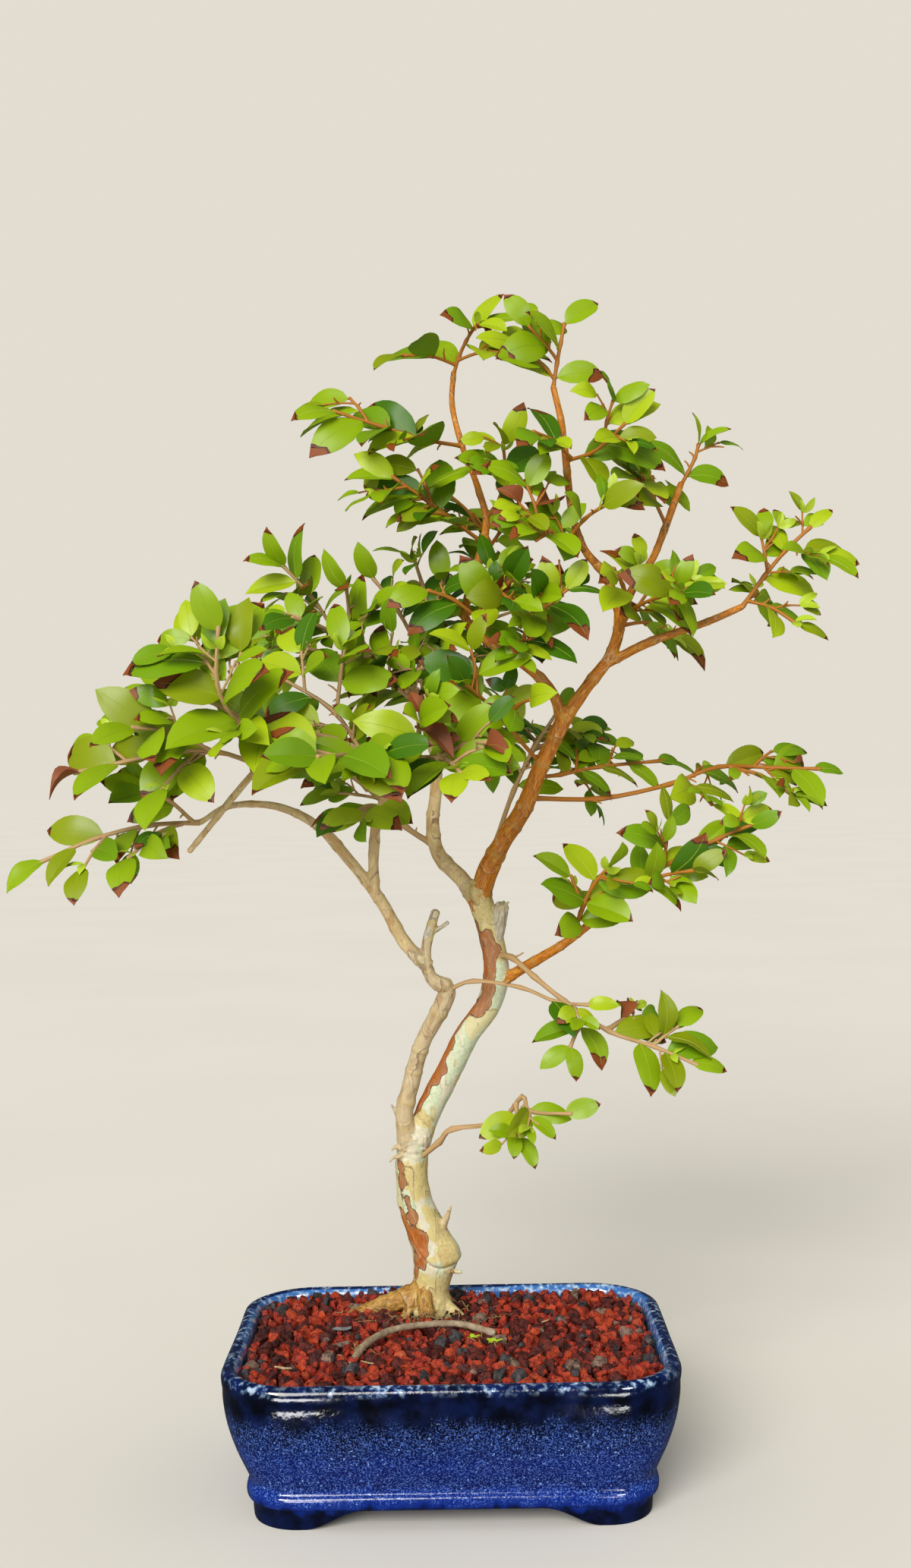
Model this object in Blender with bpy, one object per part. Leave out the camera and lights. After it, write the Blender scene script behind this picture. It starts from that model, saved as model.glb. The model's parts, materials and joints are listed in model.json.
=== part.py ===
"""A potted jaboticaba bonsai: glazed pot, soil, trunk, boughs and masses of leafy twigs.

Everything is in metres, +Z up, and is laid out round the middle of the pot with its feet at Z = 0. The front
of the tree faces -Y. At the end the whole plant is moved so that the bottom centre of its box is the origin.
"""

import math
import random
from typing import NamedTuple

import bmesh
import bpy
from mathutils import Matrix, Vector
from mathutils.bvhtree import BVHTree
from mathutils.geometry import intersect_point_line

GAP = 0.0003  # every piece stays this clear of its neighbour
UP = Vector((0, 0, 1))
FRONT = Vector((0, -1, 0))

# Pot
POT_WIDTH = 0.220
POT_DEPTH = 0.165
POT_HEIGHT = 0.071
POT_CORNER = 0.037
CORNER_STEPS = 4
FOOT_HEIGHT = 0.009
FLOOR_TOP = 0.016
# Each pair is how far the wall stands in from the widest line, and its height.
OUTER_WALL = (
    (0.0150, 0.0),
    (0.0140, 0.009),
    (0.0118, 0.0105),
    (0.0115, 0.0155),
    (0.0132, 0.0178),
    (0.0105, 0.024),
    (0.0060, 0.034),
    (0.0025, 0.045),
    (0.0006, 0.055),
    (0.0004, 0.0622),
    (0.0, 0.0655),
    (0.0008, 0.0692),
    (0.0040, POT_HEIGHT),
)
INNER_WALL = (
    (0.0072, 0.0690),
    (0.0084, 0.0650),
    (0.0090, 0.0550),
    (0.0120, 0.0400),
    (0.0175, 0.0250),
    (0.0230, FLOOR_TOP),
)
# A foot is flat from the corner to the first, then curves up to the second.
FOOT_FLAT_X, FOOT_RISE_X = 0.071, 0.042
FOOT_FLAT_Y, FOOT_RISE_Y = 0.046, 0.022
DRAIN_RADIUS = 0.007
DRAIN_SPACING = 0.090

# Soil
GROUND = 0.0690  # top of the soil round the trunk
SOIL_EDGE = 0.0665
SOIL_INSET = 0.0005  # clear of the inner wall on every side
SOIL_SHELVES = (0.96, 0.80)  # rings of the top surface, as shares of the way from the middle

# The largest stones of the grit stand out of the soil's top.
STONE_SPACING = 0.023
STONE_JITTER = 0.006
STONE_RADII = (0.0038, 0.0068)
STONE_RISES = (0.0020, 0.0034)  # how far a stone stands over the soil
STONE_SUNK = 0.0025
STONE_TOP = (0.50, 0.75)  # radius of its flat top, as a share of its own
STONE_SIDES = 5
STONE_WALL_CLEARANCE = 0.0175  # inside the pot's widest line
STONE_ROOT_CLEARANCE = 0.0110
STONE_SEED = 5

# Limbs. A path runs from inside the parent to the tip, and the radii are spread evenly along it.


class Limb(NamedTuple):
    name: str
    parent: str
    path: tuple
    radii: tuple
    sides: int = 5
    neighbours: tuple = ()


TRUNK_PATH = (
    (-0.011, 0.040, GROUND - 0.004),
    (-0.011, 0.040, 0.080),
    (-0.009, 0.041, 0.096),
    (-0.012, 0.042, 0.109),
    (-0.018, 0.042, 0.125),
    (-0.020, 0.041, 0.144),
    (-0.018, 0.040, 0.162),
)
TRUNK_RADII = (0.0116, 0.0095, 0.0116, 0.0106, 0.0090, 0.0084, 0.0088)
TRUNK_SIDES = 10
# Buttress roots at the trunk's foot: where each one runs out on the soil, and its radius at the trunk.
BUTTRESSES = (
    ((-0.059, 0.036), 0.0068),
    ((-0.011, 0.018), 0.0052),
    ((0.009, 0.030), 0.0046),
    ((0.004, 0.056), 0.0050),
    ((-0.026, 0.058), 0.0050),
)
SPUR_ROOT, SPUR_TIP, SPUR_RADIUS = (-0.010, 0.040, 0.111), (0.0005, 0.037, 0.124), 0.0032
STUB_ROOT, STUB_TIP, STUB_RADIUS = (0.024, 0.030, 0.262), (0.0300, 0.025, 0.283), 0.0030

LIMBS = (
    Limb(
        "stem_right",
        "trunk",
        (
            (-0.018, 0.040, 0.155),
            (-0.010, 0.038, 0.176),
            (0.001, 0.035, 0.197),
            (0.010, 0.032, 0.215),
            (0.021, 0.031, 0.230),
            (0.026, 0.030, 0.246),
            (0.024, 0.030, 0.266),
            (0.017, 0.030, 0.291),
        ),
        (0.0072, 0.0068, 0.0064, 0.0067, 0.0062),
        10,
    ),
    Limb(
        "stem_left",
        "trunk",
        (
            (-0.017, 0.038, 0.156),
            (-0.023, 0.034, 0.172),
            (-0.020, 0.032, 0.188),
            (-0.013, 0.026, 0.212),
            (-0.003, 0.021, 0.231),
            (0.000, 0.019, 0.241),
            (-0.008, 0.018, 0.248),
            (-0.010, 0.017, 0.262),
            (-0.005, 0.018, 0.281),
        ),
        (0.0048, 0.0044, 0.0042, 0.0046, 0.0030, 0.0024),
        6,
        ("stem_right",),
    ),
    Limb(
        "bough_left",
        "stem_left",
        (
            (-0.009, 0.018, 0.253),
            (-0.021, 0.016, 0.266),
            (-0.033, 0.013, 0.288),
            (-0.049, 0.008, 0.310),
            (-0.064, 0.002, 0.327),
            (-0.083, -0.006, 0.337),
            (-0.105, -0.014, 0.338),
            (-0.120, -0.020, 0.330),
        ),
        (0.0037, 0.0032, 0.0027, 0.0019, 0.0014),
    ),
    Limb(
        "bough_left_up",
        "bough_left",
        (
            (-0.036, 0.012, 0.292),
            (-0.036, 0.010, 0.310),
            (-0.034, 0.006, 0.328),
            (-0.029, 0.002, 0.341),
            (-0.020, -0.004, 0.353),
        ),
        (0.0030, 0.0026, 0.0024),
    ),
    Limb(
        "bough_front",
        "bough_left_up",
        ((-0.021, -0.003, 0.351), (-0.030, -0.018, 0.361), (-0.041, -0.033, 0.365), (-0.051, -0.048, 0.369)),
        (0.0022, 0.0018, 0.0015),
    ),
    Limb(
        "bough_left_cross",
        "bough_front",
        ((-0.044, -0.037, 0.366), (-0.066, -0.047, 0.364), (-0.085, -0.051, 0.358), (-0.121, -0.048, 0.317)),
        (0.0019, 0.0018, 0.0015),
    ),
    Limb(
        "bough_centre",
        "stem_right",
        (
            (0.017, 0.031, 0.286),
            (0.009, 0.034, 0.297),
            (-0.003, 0.041, 0.310),
            (-0.006, 0.048, 0.326),
            (-0.004, 0.055, 0.344),
            (-0.004, 0.062, 0.362),
        ),
        (0.0046, 0.0040, 0.0034, 0.0031),
    ),
    Limb(
        "bough_centre_left",
        "bough_centre",
        (
            (-0.004, 0.062, 0.360), (-0.010, 0.068, 0.380), (-0.014, 0.074, 0.393), (-0.024, 0.081, 0.403),
            (-0.043, 0.090, 0.416),
        ),
        (0.0022, 0.0018, 0.0014),
    ),
    Limb(
        "bough_centre_right",
        "bough_centre",
        (
            (-0.004, 0.062, 0.359), (0.006, 0.065, 0.371), (0.015, 0.068, 0.381), (0.019, 0.071, 0.396),
            (0.021, 0.074, 0.409),
        ),
        (0.0026, 0.0021, 0.0017),
        6,
        ("bough_centre_left",),
    ),
    Limb(
        "bough_right",
        "stem_right",
        (
            (0.017, 0.030, 0.285), (0.023, 0.030, 0.302), (0.031, 0.030, 0.317), (0.042, 0.029, 0.334),
            (0.051, 0.028, 0.355), (0.064, 0.026, 0.381),
        ),
        (0.0054, 0.0049, 0.0044, 0.0041),
        10,
        ("bough_centre",),
    ),
    Limb(
        "bough_top_right",
        "bough_right",
        (
            (0.063, 0.026, 0.379), (0.076, 0.024, 0.397), (0.087, 0.022, 0.411), (0.092, 0.022, 0.424),
            (0.093, 0.022, 0.436),
        ),
        (0.0036, 0.0032, 0.0028),
    ),
    Limb(
        "bough_top_left",
        "bough_right",
        (
            (0.063, 0.026, 0.378), (0.057, 0.026, 0.395), (0.044, 0.028, 0.408), (0.028, 0.032, 0.419),
            (0.016, 0.036, 0.428),
        ),
        (0.0031, 0.0026, 0.0021),
        6,
        ("bough_top_right",),
    ),
    Limb(
        "bough_far_right",
        "bough_top_right",
        (
            (0.086, 0.022, 0.408), (0.104, 0.018, 0.417), (0.121, 0.014, 0.423), (0.137, 0.010, 0.428),
            (0.154, 0.006, 0.435),
        ),
        (0.0025, 0.0021, 0.0017),
    ),
    Limb(
        "leader_left",
        "bough_top_left",
        (
            (0.017, 0.036, 0.427),
            (0.013, 0.039, 0.437),
            (0.017, 0.042, 0.455),
            (0.025, 0.047, 0.484),
            (0.021, 0.050, 0.505),
            (0.013, 0.052, 0.528),
            (0.008, 0.054, 0.550),
            (0.009, 0.054, 0.568),
        ),
        (0.0024, 0.0021, 0.0017, 0.0014),
    ),
    Limb(
        "leader_mid",
        "bough_top_right",
        (
            (0.093, 0.022, 0.434),
            (0.086, 0.020, 0.453),
            (0.075, 0.018, 0.467),
            (0.069, 0.016, 0.484),
            (0.066, 0.014, 0.511),
            (0.064, 0.014, 0.531),
            (0.060, 0.014, 0.550),
        ),
        (0.0026, 0.0022, 0.0019, 0.0016),
    ),
    Limb(
        "leader_right",
        "bough_top_right",
        (
            (0.093, 0.022, 0.433), (0.102, 0.028, 0.450), (0.112, 0.034, 0.464), (0.120, 0.040, 0.482),
            (0.126, 0.044, 0.497), (0.129, 0.046, 0.505),
        ),
        (0.0024, 0.0020, 0.0016),
        6,
        ("leader_mid",),
    ),
    Limb(
        "bough_low_right",
        "stem_right",
        (
            (0.026, 0.030, 0.242), (0.034, 0.026, 0.247), (0.046, 0.018, 0.255), (0.061, 0.008, 0.265),
            (0.078, -0.002, 0.279), (0.086, -0.006, 0.286),
        ),
        (0.0032, 0.0027, 0.0022, 0.0018),
    ),
)
SURFACE_ROOT_PATH = (
    (-0.050, -0.045, 0.066),
    (-0.043, -0.028, 0.0725),
    (-0.030, -0.010, 0.0745),
    (-0.012, 0.000, 0.0740),
    (0.005, 0.001, 0.0735),
    (0.021, -0.006, 0.0712),
)
SURFACE_ROOT_RADII = (0.0019, 0.0018, 0.0016, 0.0019)

# Foliage. Each mass grows from one stem. Its path starts on the limb, and a fork is the share of the stem
# where it leaves and the tip that it reaches. Side shoots and leaves are dealt along them by a seeded rule.


class Mass(NamedTuple):
    name: str
    limb: str
    path: tuple
    forks: tuple = ()
    bare: float = 0.25
    shoots: int = 2
    reach: float = 0.034
    leaf: float = 0.032
    radius: float = 0.0012
    seed: int = 1


MASSES = (
    Mass(
        "foliage_left_end",
        "bough_left",
        ((-0.120, -0.020, 0.330), (-0.145, -0.026, 0.329), (-0.170, -0.031, 0.323), (-0.196, -0.034, 0.312)),
        ((0.10, (-0.150, -0.050, 0.314)), (0.02, (-0.142, -0.046, 0.346))),
        0.40, 1, 0.026, 0.033, 0.0012, 3,
    ),
    Mass(
        "foliage_left_outer",
        "bough_left_cross",
        ((-0.086, -0.051, 0.357), (-0.106, -0.060, 0.364), (-0.132, -0.064, 0.363), (-0.171, -0.068, 0.355)),
        ((0.35, (-0.140, -0.088, 0.375)),),
        0.25, 2, 0.032, 0.037, 0.0012, 5,
    ),
    Mass(
        "foliage_left_front",
        "bough_front",
        (
            (-0.050, -0.047, 0.369), (-0.072, -0.062, 0.375), (-0.093, -0.076, 0.378),
            (-0.101, -0.088, 0.394), (-0.099, -0.096, 0.420),
        ),
        ((0.45, (-0.134, -0.058, 0.392)),),
        0.35, 3, 0.030, 0.041, 0.0013, 7,
    ),
    Mass(
        "foliage_left_rear",
        "bough_centre_left",
        ((-0.043, 0.090, 0.416), (-0.068, 0.090, 0.422), (-0.090, 0.088, 0.428), (-0.116, 0.086, 0.438)),
        ((0.10, (-0.086, 0.070, 0.468)), (0.25, (-0.086, 0.128, 0.412))),
        0.35, 2, 0.032, 0.031, 0.0012, 11,
    ),
    Mass(
        "foliage_left_crown",
        "bough_centre_left",
        ((-0.034, 0.086, 0.410), (-0.046, 0.070, 0.421), (-0.060, 0.052, 0.430), (-0.078, 0.036, 0.436)),
        ((0.40, (-0.050, 0.048, 0.452)),),
        0.25, 2, 0.034, 0.032, 0.0012, 13,
    ),
    Mass(
        "foliage_left_shelf",
        "bough_left_up",
        ((-0.029, 0.002, 0.341), (-0.040, 0.006, 0.362), (-0.056, 0.008, 0.386), (-0.084, 0.008, 0.404)),
        ((0.50, (-0.098, 0.020, 0.380)), (0.62, (-0.048, 0.000, 0.418))),
        0.42, 2, 0.034, 0.033, 0.0013, 17,
    ),
    Mass(
        "foliage_front_fan",
        "bough_front",
        ((-0.038, -0.030, 0.364), (-0.038, -0.053, 0.362), (-0.045, -0.084, 0.361), (-0.054, -0.112, 0.360)),
        (),
        0.35, 2, 0.030, 0.040, 0.0012, 19,
    ),
    Mass(
        "foliage_front_right",
        "bough_left_up",
        ((-0.020, -0.004, 0.353), (-0.010, -0.034, 0.360), (0.003, -0.066, 0.358), (0.009, -0.092, 0.352)),
        ((0.30, (-0.010, -0.080, 0.376)), (0.55, (0.022, -0.078, 0.366))),
        0.40, 1, 0.030, 0.036, 0.0013, 23,
    ),
    Mass(
        "foliage_left_under",
        "bough_left_up",
        ((-0.034, 0.006, 0.328), (-0.032, -0.012, 0.334), (-0.036, -0.026, 0.337), (-0.046, -0.032, 0.333)),
        (),
        0.45, 1, 0.022, 0.030, 0.0010, 29,
    ),
    Mass(
        "foliage_centre_low",
        "bough_centre",
        ((-0.006, 0.044, 0.315), (-0.021, 0.050, 0.325), (-0.036, 0.058, 0.341), (-0.054, 0.068, 0.355)),
        ((0.75, (-0.066, 0.050, 0.364)),),
        0.55, 1, 0.030, 0.031, 0.0017, 31,
    ),
    Mass(
        "foliage_centre_mid",
        "bough_centre_left",
        ((-0.013, 0.073, 0.391), (-0.024, 0.050, 0.399), (-0.032, 0.034, 0.409), (-0.040, 0.020, 0.421)),
        ((0.45, (-0.010, 0.030, 0.412)),),
        0.30, 2, 0.030, 0.031, 0.0012, 37,
    ),
    Mass(
        "foliage_centre_upper",
        "bough_centre_left",
        ((-0.016, 0.075, 0.396), (-0.011, 0.062, 0.416), (-0.003, 0.050, 0.436), (0.002, 0.040, 0.456)),
        ((0.35, (-0.036, 0.052, 0.458)), (0.60, (-0.014, 0.046, 0.468))),
        0.30, 2, 0.030, 0.031, 0.0013, 41,
    ),
    Mass(
        "foliage_centre_right",
        "bough_centre_right",
        ((0.021, 0.074, 0.408), (0.025, 0.078, 0.424), (0.031, 0.082, 0.442), (0.037, 0.084, 0.460)),
        ((0.10, (0.027, 0.122, 0.440)),),
        0.25, 3, 0.032, 0.030, 0.0012, 43,
    ),
    Mass(
        "foliage_centre_inner",
        "bough_centre_right",
        ((0.018, 0.070, 0.392), (0.007, 0.050, 0.402), (0.004, 0.034, 0.409), (-0.001, 0.014, 0.414)),
        (),
        0.30, 2, 0.028, 0.029, 0.0012, 47,
    ),
    Mass(
        "foliage_centre_front",
        "bough_right",
        ((0.051, 0.028, 0.357), (0.036, 0.008, 0.373), (0.024, -0.010, 0.386), (0.012, -0.028, 0.396)),
        ((0.45, (0.044, -0.026, 0.388)),),
        0.35, 2, 0.030, 0.030, 0.0011, 53,
    ),
    Mass(
        "foliage_centre_back",
        "stem_right",
        (
            (0.019, 0.034, 0.272), (0.022, 0.043, 0.292), (0.028, 0.051, 0.316), (0.038, 0.062, 0.343),
            (0.050, 0.072, 0.366), (0.066, 0.082, 0.390),
        ),
        ((0.72, (0.062, 0.124, 0.378)), (0.80, (0.084, 0.096, 0.366))),
        0.62, 2, 0.032, 0.031, 0.0017, 59,
    ),
    Mass(
        "foliage_right_inner",
        "bough_top_left",
        ((0.044, 0.028, 0.408), (0.042, 0.008, 0.418), (0.045, -0.008, 0.430), (0.050, -0.026, 0.440)),
        (),
        0.25, 2, 0.030, 0.031, 0.0012, 61,
    ),
    Mass(
        "foliage_top_inner",
        "bough_top_left",
        ((0.017, 0.036, 0.427), (0.020, 0.018, 0.433), (0.026, 0.002, 0.440), (0.036, -0.014, 0.448)),
        ((0.30, (-0.006, 0.008, 0.446)),),
        0.25, 2, 0.030, 0.032, 0.0012, 67,
    ),
    Mass(
        "foliage_apex",
        "leader_left",
        ((0.009, 0.054, 0.567), (0.012, 0.053, 0.576), (0.016, 0.051, 0.584), (0.020, 0.049, 0.590)),
        ((0.25, (0.036, 0.038, 0.574)), (0.12, (-0.018, 0.040, 0.574))),
        0.10, 0, 0.020, 0.036, 0.0010, 204,
    ),
    Mass(
        "foliage_upper_left",
        "leader_left",
        ((0.013, 0.052, 0.528), (-0.006, 0.044, 0.530), (-0.030, 0.036, 0.536), (-0.054, 0.030, 0.543)),
        (),
        0.20, 2, 0.026, 0.037, 0.0011, 73,
    ),
    Mass(
        "foliage_upper_left_low",
        "leader_left",
        ((0.022, 0.046, 0.476), (0.008, 0.040, 0.486), (-0.006, 0.034, 0.496), (-0.024, 0.028, 0.508)),
        (),
        0.25, 3, 0.028, 0.033, 0.0011, 79,
    ),
    Mass(
        "foliage_upper_middle",
        "leader_left",
        ((0.025, 0.048, 0.488), (0.033, 0.038, 0.499), (0.035, 0.030, 0.511), (0.034, 0.024, 0.524)),
        (),
        0.30, 1, 0.024, 0.032, 0.0010, 83,
    ),
    Mass(
        "foliage_back_top",
        "leader_left",
        ((0.017, 0.042, 0.455), (0.026, 0.070, 0.474), (0.034, 0.092, 0.488), (0.040, 0.112, 0.500)),
        ((0.40, (0.004, 0.104, 0.512)),),
        0.35, 2, 0.030, 0.033, 0.0012, 89,
    ),
    Mass(
        "foliage_leader_top",
        "leader_mid",
        ((0.060, 0.014, 0.550), (0.062, 0.013, 0.562), (0.064, 0.012, 0.572), (0.066, 0.012, 0.582)),
        ((0.08, (0.041, 0.004, 0.570)),),
        0.10, 1, 0.024, 0.033, 0.0010, 97,
    ),
    Mass(
        "foliage_leader_fan",
        "leader_mid",
        ((0.066, 0.014, 0.512), (0.078, 0.004, 0.514), (0.086, -0.002, 0.519), (0.094, -0.008, 0.526)),
        ((0.05, (0.048, -0.012, 0.522)),),
        0.20, 1, 0.024, 0.033, 0.0010, 101,
    ),
    Mass(
        "foliage_right_inner_top",
        "leader_mid",
        ((0.076, 0.018, 0.466), (0.064, 0.004, 0.470), (0.052, -0.006, 0.476), (0.040, -0.014, 0.486)),
        ((0.30, (0.082, -0.014, 0.484)),),
        0.30, 2, 0.028, 0.032, 0.0011, 103,
    ),
    Mass(
        "foliage_right_top",
        "leader_right",
        ((0.129, 0.046, 0.504), (0.133, 0.047, 0.511), (0.137, 0.048, 0.519), (0.139, 0.048, 0.526)),
        (),
        0.20, 0, 0.020, 0.030, 0.0010, 107,
    ),
    Mass(
        "foliage_right_side",
        "leader_right",
        ((0.120, 0.040, 0.482), (0.113, 0.034, 0.495), (0.107, 0.030, 0.505), (0.100, 0.026, 0.518)),
        ((0.30, (0.116, 0.064, 0.512)),),
        0.30, 1, 0.024, 0.033, 0.0010, 109,
    ),
    Mass(
        "foliage_right_cluster",
        "bough_top_right",
        ((0.092, 0.022, 0.424), (0.098, 0.004, 0.434), (0.110, -0.010, 0.439), (0.124, -0.022, 0.442)),
        ((0.06, (0.126, 0.068, 0.424)), (0.30, (0.086, -0.022, 0.452))),
        0.30, 2, 0.028, 0.032, 0.0012, 113,
    ),
    Mass(
        "foliage_far_right",
        "bough_far_right",
        ((0.154, 0.006, 0.435), (0.165, 0.004, 0.450), (0.176, 0.002, 0.463), (0.188, 0.000, 0.474)),
        ((0.04, (0.180, -0.006, 0.424)), (0.06, (0.170, 0.036, 0.440))),
        0.30, 2, 0.024, 0.030, 0.0011, 127,
    ),
    Mass(
        "foliage_mid_right",
        "bough_right",
        ((0.049, 0.028, 0.350), (0.062, 0.042, 0.351), (0.084, 0.056, 0.355), (0.120, 0.074, 0.358)),
        ((0.02, (0.060, 0.000, 0.330)), (0.30, (0.080, 0.098, 0.346))),
        0.35, 2, 0.026, 0.028, 0.0011, 131,
    ),
    Mass(
        "foliage_mid_right_far",
        "bough_right",
        (
            (0.044, 0.029, 0.339), (0.084, 0.050, 0.338), (0.122, 0.060, 0.345), (0.149, 0.062, 0.354),
            (0.178, 0.058, 0.353), (0.202, 0.054, 0.352),
        ),
        ((0.64, (0.186, 0.046, 0.338)), (0.44, (0.142, 0.040, 0.334)), (0.50, (0.146, 0.092, 0.352))),
        0.62, 1, 0.022, 0.031, 0.0013, 138,
    ),
    Mass(
        "foliage_low_right",
        "bough_low_right",
        (
            (0.086, -0.006, 0.286), (0.098, -0.009, 0.296), (0.116, -0.015, 0.308), (0.136, -0.021, 0.318),
            (0.152, -0.026, 0.325),
        ),
        ((0.03, (0.122, -0.030, 0.303)),),
        0.25, 1, 0.024, 0.028, 0.0011, 139,
    ),
    Mass(
        "foliage_low_right_inner",
        "bough_low_right",
        ((0.066, 0.005, 0.268), (0.068, -0.010, 0.282), (0.074, -0.018, 0.296), (0.082, -0.024, 0.306)),
        ((0.20, (0.078, 0.034, 0.286)),),
        0.20, 1, 0.024, 0.031, 0.0010, 149,
    ),
    Mass(
        "branch_right",
        "stem_right",
        (
            (0.025, 0.030, 0.257), (0.034, 0.018, 0.257), (0.045, 0.009, 0.248), (0.060, 0.003, 0.236),
            (0.082, -0.002, 0.221), (0.104, -0.010, 0.214), (0.124, -0.018, 0.206),
        ),
        ((0.58, (0.062, -0.006, 0.214)), (0.66, (0.100, 0.014, 0.226))),
        0.68, 1, 0.022, 0.029, 0.0017, 151,
    ),
    Mass(
        "branch_front",
        "stem_left",
        (
            (0.000, 0.019, 0.240), (0.014, 0.011, 0.246), (0.038, 0.005, 0.243), (0.056, 0.000, 0.236),
            (0.072, -0.006, 0.235),
        ),
        (),
        0.72, 0, 0.020, 0.025, 0.0011, 157,
    ),
    Mass(
        "branch_low",
        "trunk",
        (
            (-0.016, 0.037, 0.150), (-0.005, 0.029, 0.160), (0.002, 0.023, 0.168), (0.026, 0.014, 0.173),
            (0.038, 0.008, 0.187), (0.042, 0.004, 0.180), (0.062, -0.003, 0.180),
        ),
        ((0.62, (0.036, 0.000, 0.168)),),
        0.80, 0, 0.020, 0.026, 0.0016, 163,
    ),
    Mass(
        "foliage_back_middle",
        "bough_centre_left",
        ((-0.010, 0.069, 0.381), (-0.012, 0.096, 0.394), (-0.012, 0.120, 0.406), (-0.018, 0.146, 0.414)),
        ((0.40, (0.012, 0.140, 0.404)), (0.45, (-0.046, 0.132, 0.396))),
        0.35, 2, 0.030, 0.032, 0.0012, 167,
    ),
)

# How shoots and leaves are dealt
LIGHT_FROM_ABOVE, LIGHT_FROM_OUTSIDE, LIGHT_FROM_FRONT = 0.60, 0.50, 0.70
CROWN_MIDDLE = Vector((0.010, 0.035, 0.400))
SHOOT_ANGLES = (35, 60)
LEAF_SPACING = 0.0145
LEAF_ANGLES = (42, 66)
TIP_ANGLES = (14, 36)
LEAF_DROOP = (0.0, 0.34)
LEAF_LEVEL = 0.60  # how much of its rise or fall a leaf keeps, so that most lie nearly level
LEAF_WIDTH = (0.47, 0.57)  # share of the length
LEAF_THICKNESS = 0.020  # depth of the keel, as a share of the length
LEAF_KEEL = 0.14  # how far along the leaf the keel is deepest
LEAF_WIDEST = 0.42  # share of the length
TIP_FALL = 0.10  # how far the tip bends down, as a share of the length
SHOOT_RADIUS = 0.0009
MISSING_LEAVES = 0.30
STEM_STEP = 0.00005  # a stem's end is moved out along its path by such steps
CLEARANCE = 0.0006  # how much a leaf or shoot grows when it is tested against its neighbours

COLOURS = {
    "glaze": ((0.02, 0.06, 0.42), 0.12),
    "soil": ((0.36, 0.09, 0.04), 0.95),
    "bark": ((0.62, 0.50, 0.30), 0.75),
    "root": ((0.55, 0.44, 0.32), 0.85),
    "bough": ((0.58, 0.36, 0.16), 0.75),
    "leaf": ((0.33, 0.52, 0.04), 0.45),
}


def clear_scene():
    for obj in list(bpy.data.objects):
        bpy.data.objects.remove(obj, do_unlink=True)


def material(name, kind):
    colour, roughness = COLOURS[kind]
    made = bpy.data.materials.new(name)
    made.use_nodes = True
    shader = made.node_tree.nodes["Principled BSDF"]
    shader.inputs["Base Color"].default_value = (*colour, 1)
    shader.inputs["Roughness"].default_value = roughness
    shader.inputs["Metallic"].default_value = 0.0
    return made


def add_object(name, bm, kind):
    """Turn a bmesh into a named object of the scene, facing outwards, with its own material."""
    bmesh.ops.recalc_face_normals(bm, faces=bm.faces)
    mesh = bpy.data.meshes.new(name)
    bm.to_mesh(mesh)
    bm.free()
    mesh.materials.append(material(name, kind))
    obj = bpy.data.objects.new(name, mesh)
    bpy.context.scene.collection.objects.link(obj)
    return obj


def loft(bm, rings):
    """Close a body through rings of equal numbers of vertices, with a flat cap at each end."""
    rows = [[bm.verts.new(point) for point in ring] for ring in rings]
    count = len(rows[0])
    for low, high in zip(rows, rows[1:]):
        for i in range(count):
            j = (i + 1) % count
            bm.faces.new((low[i], low[j], high[j], high[i]))
    bm.faces.new(rows[0][::-1])
    bm.faces.new(rows[-1])
    return rows


def largest_body(mesh):
    """Drop the scraps that a Boolean can leave, keep the largest body and say whether it is closed."""
    bm = bmesh.new()
    bm.from_mesh(mesh)
    seen, bodies = set(), []
    for start in bm.verts:
        if start in seen:
            continue
        body, queue = [], [start]
        seen.add(start)
        while queue:
            vert = queue.pop()
            body.append(vert)
            for edge in vert.link_edges:
                other = edge.other_vert(vert)
                if other not in seen:
                    seen.add(other)
                    queue.append(other)
        bodies.append(body)
    bodies.sort(key=len)
    for body in bodies[:-1]:
        bmesh.ops.delete(bm, geom=body, context="VERTS")
    closed = bool(bm.faces) and all(len(edge.link_faces) == 2 for edge in bm.edges)
    bm.to_mesh(mesh)
    bm.free()
    return closed


def combine(obj, others, operation):
    """Union or difference with a collection of helpers, applied, with the helpers then removed."""
    helpers = bpy.data.collections.new(obj.name + "_helpers")
    bpy.context.scene.collection.children.link(helpers)
    for other in others:
        bpy.context.scene.collection.objects.unlink(other)
        helpers.objects.link(other)
    kept = obj.data
    for solver in ("EXACT", "MANIFOLD"):
        modifier = obj.modifiers.new("combine", "BOOLEAN")
        modifier.operation = operation
        modifier.operand_type = "COLLECTION"
        modifier.collection = helpers
        modifier.solver = solver
        graph = bpy.context.evaluated_depsgraph_get()
        mesh = bpy.data.meshes.new_from_object(obj.evaluated_get(graph))
        obj.modifiers.remove(modifier)
        if largest_body(mesh):
            break
    mesh.name = obj.name
    mesh.materials.clear()
    mesh.materials.append(kept.materials[0])
    obj.data = mesh
    for other in others:
        bpy.data.objects.remove(other, do_unlink=True)
    bpy.data.collections.remove(helpers)
    return obj


def smooth_path(points, steps):
    """Points along a Catmull-Rom curve through the given ones, with so many steps in each span."""
    points = [Vector(point) for point in points]
    ends = [2 * points[0] - points[1], *points, 2 * points[-1] - points[-2]]
    path = []
    for a, b, c, d in zip(ends, ends[1:], ends[2:], ends[3:]):
        for step in range(steps):
            t = step / steps
            path.append(
                b
                + (c - a) * (t / 2)
                + (2 * a - 5 * b + 4 * c - d) * (t**2 / 2)
                + (3 * b - 3 * c + d - a) * (t**3 / 2)
            )
    path.append(points[-1])
    return path


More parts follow.
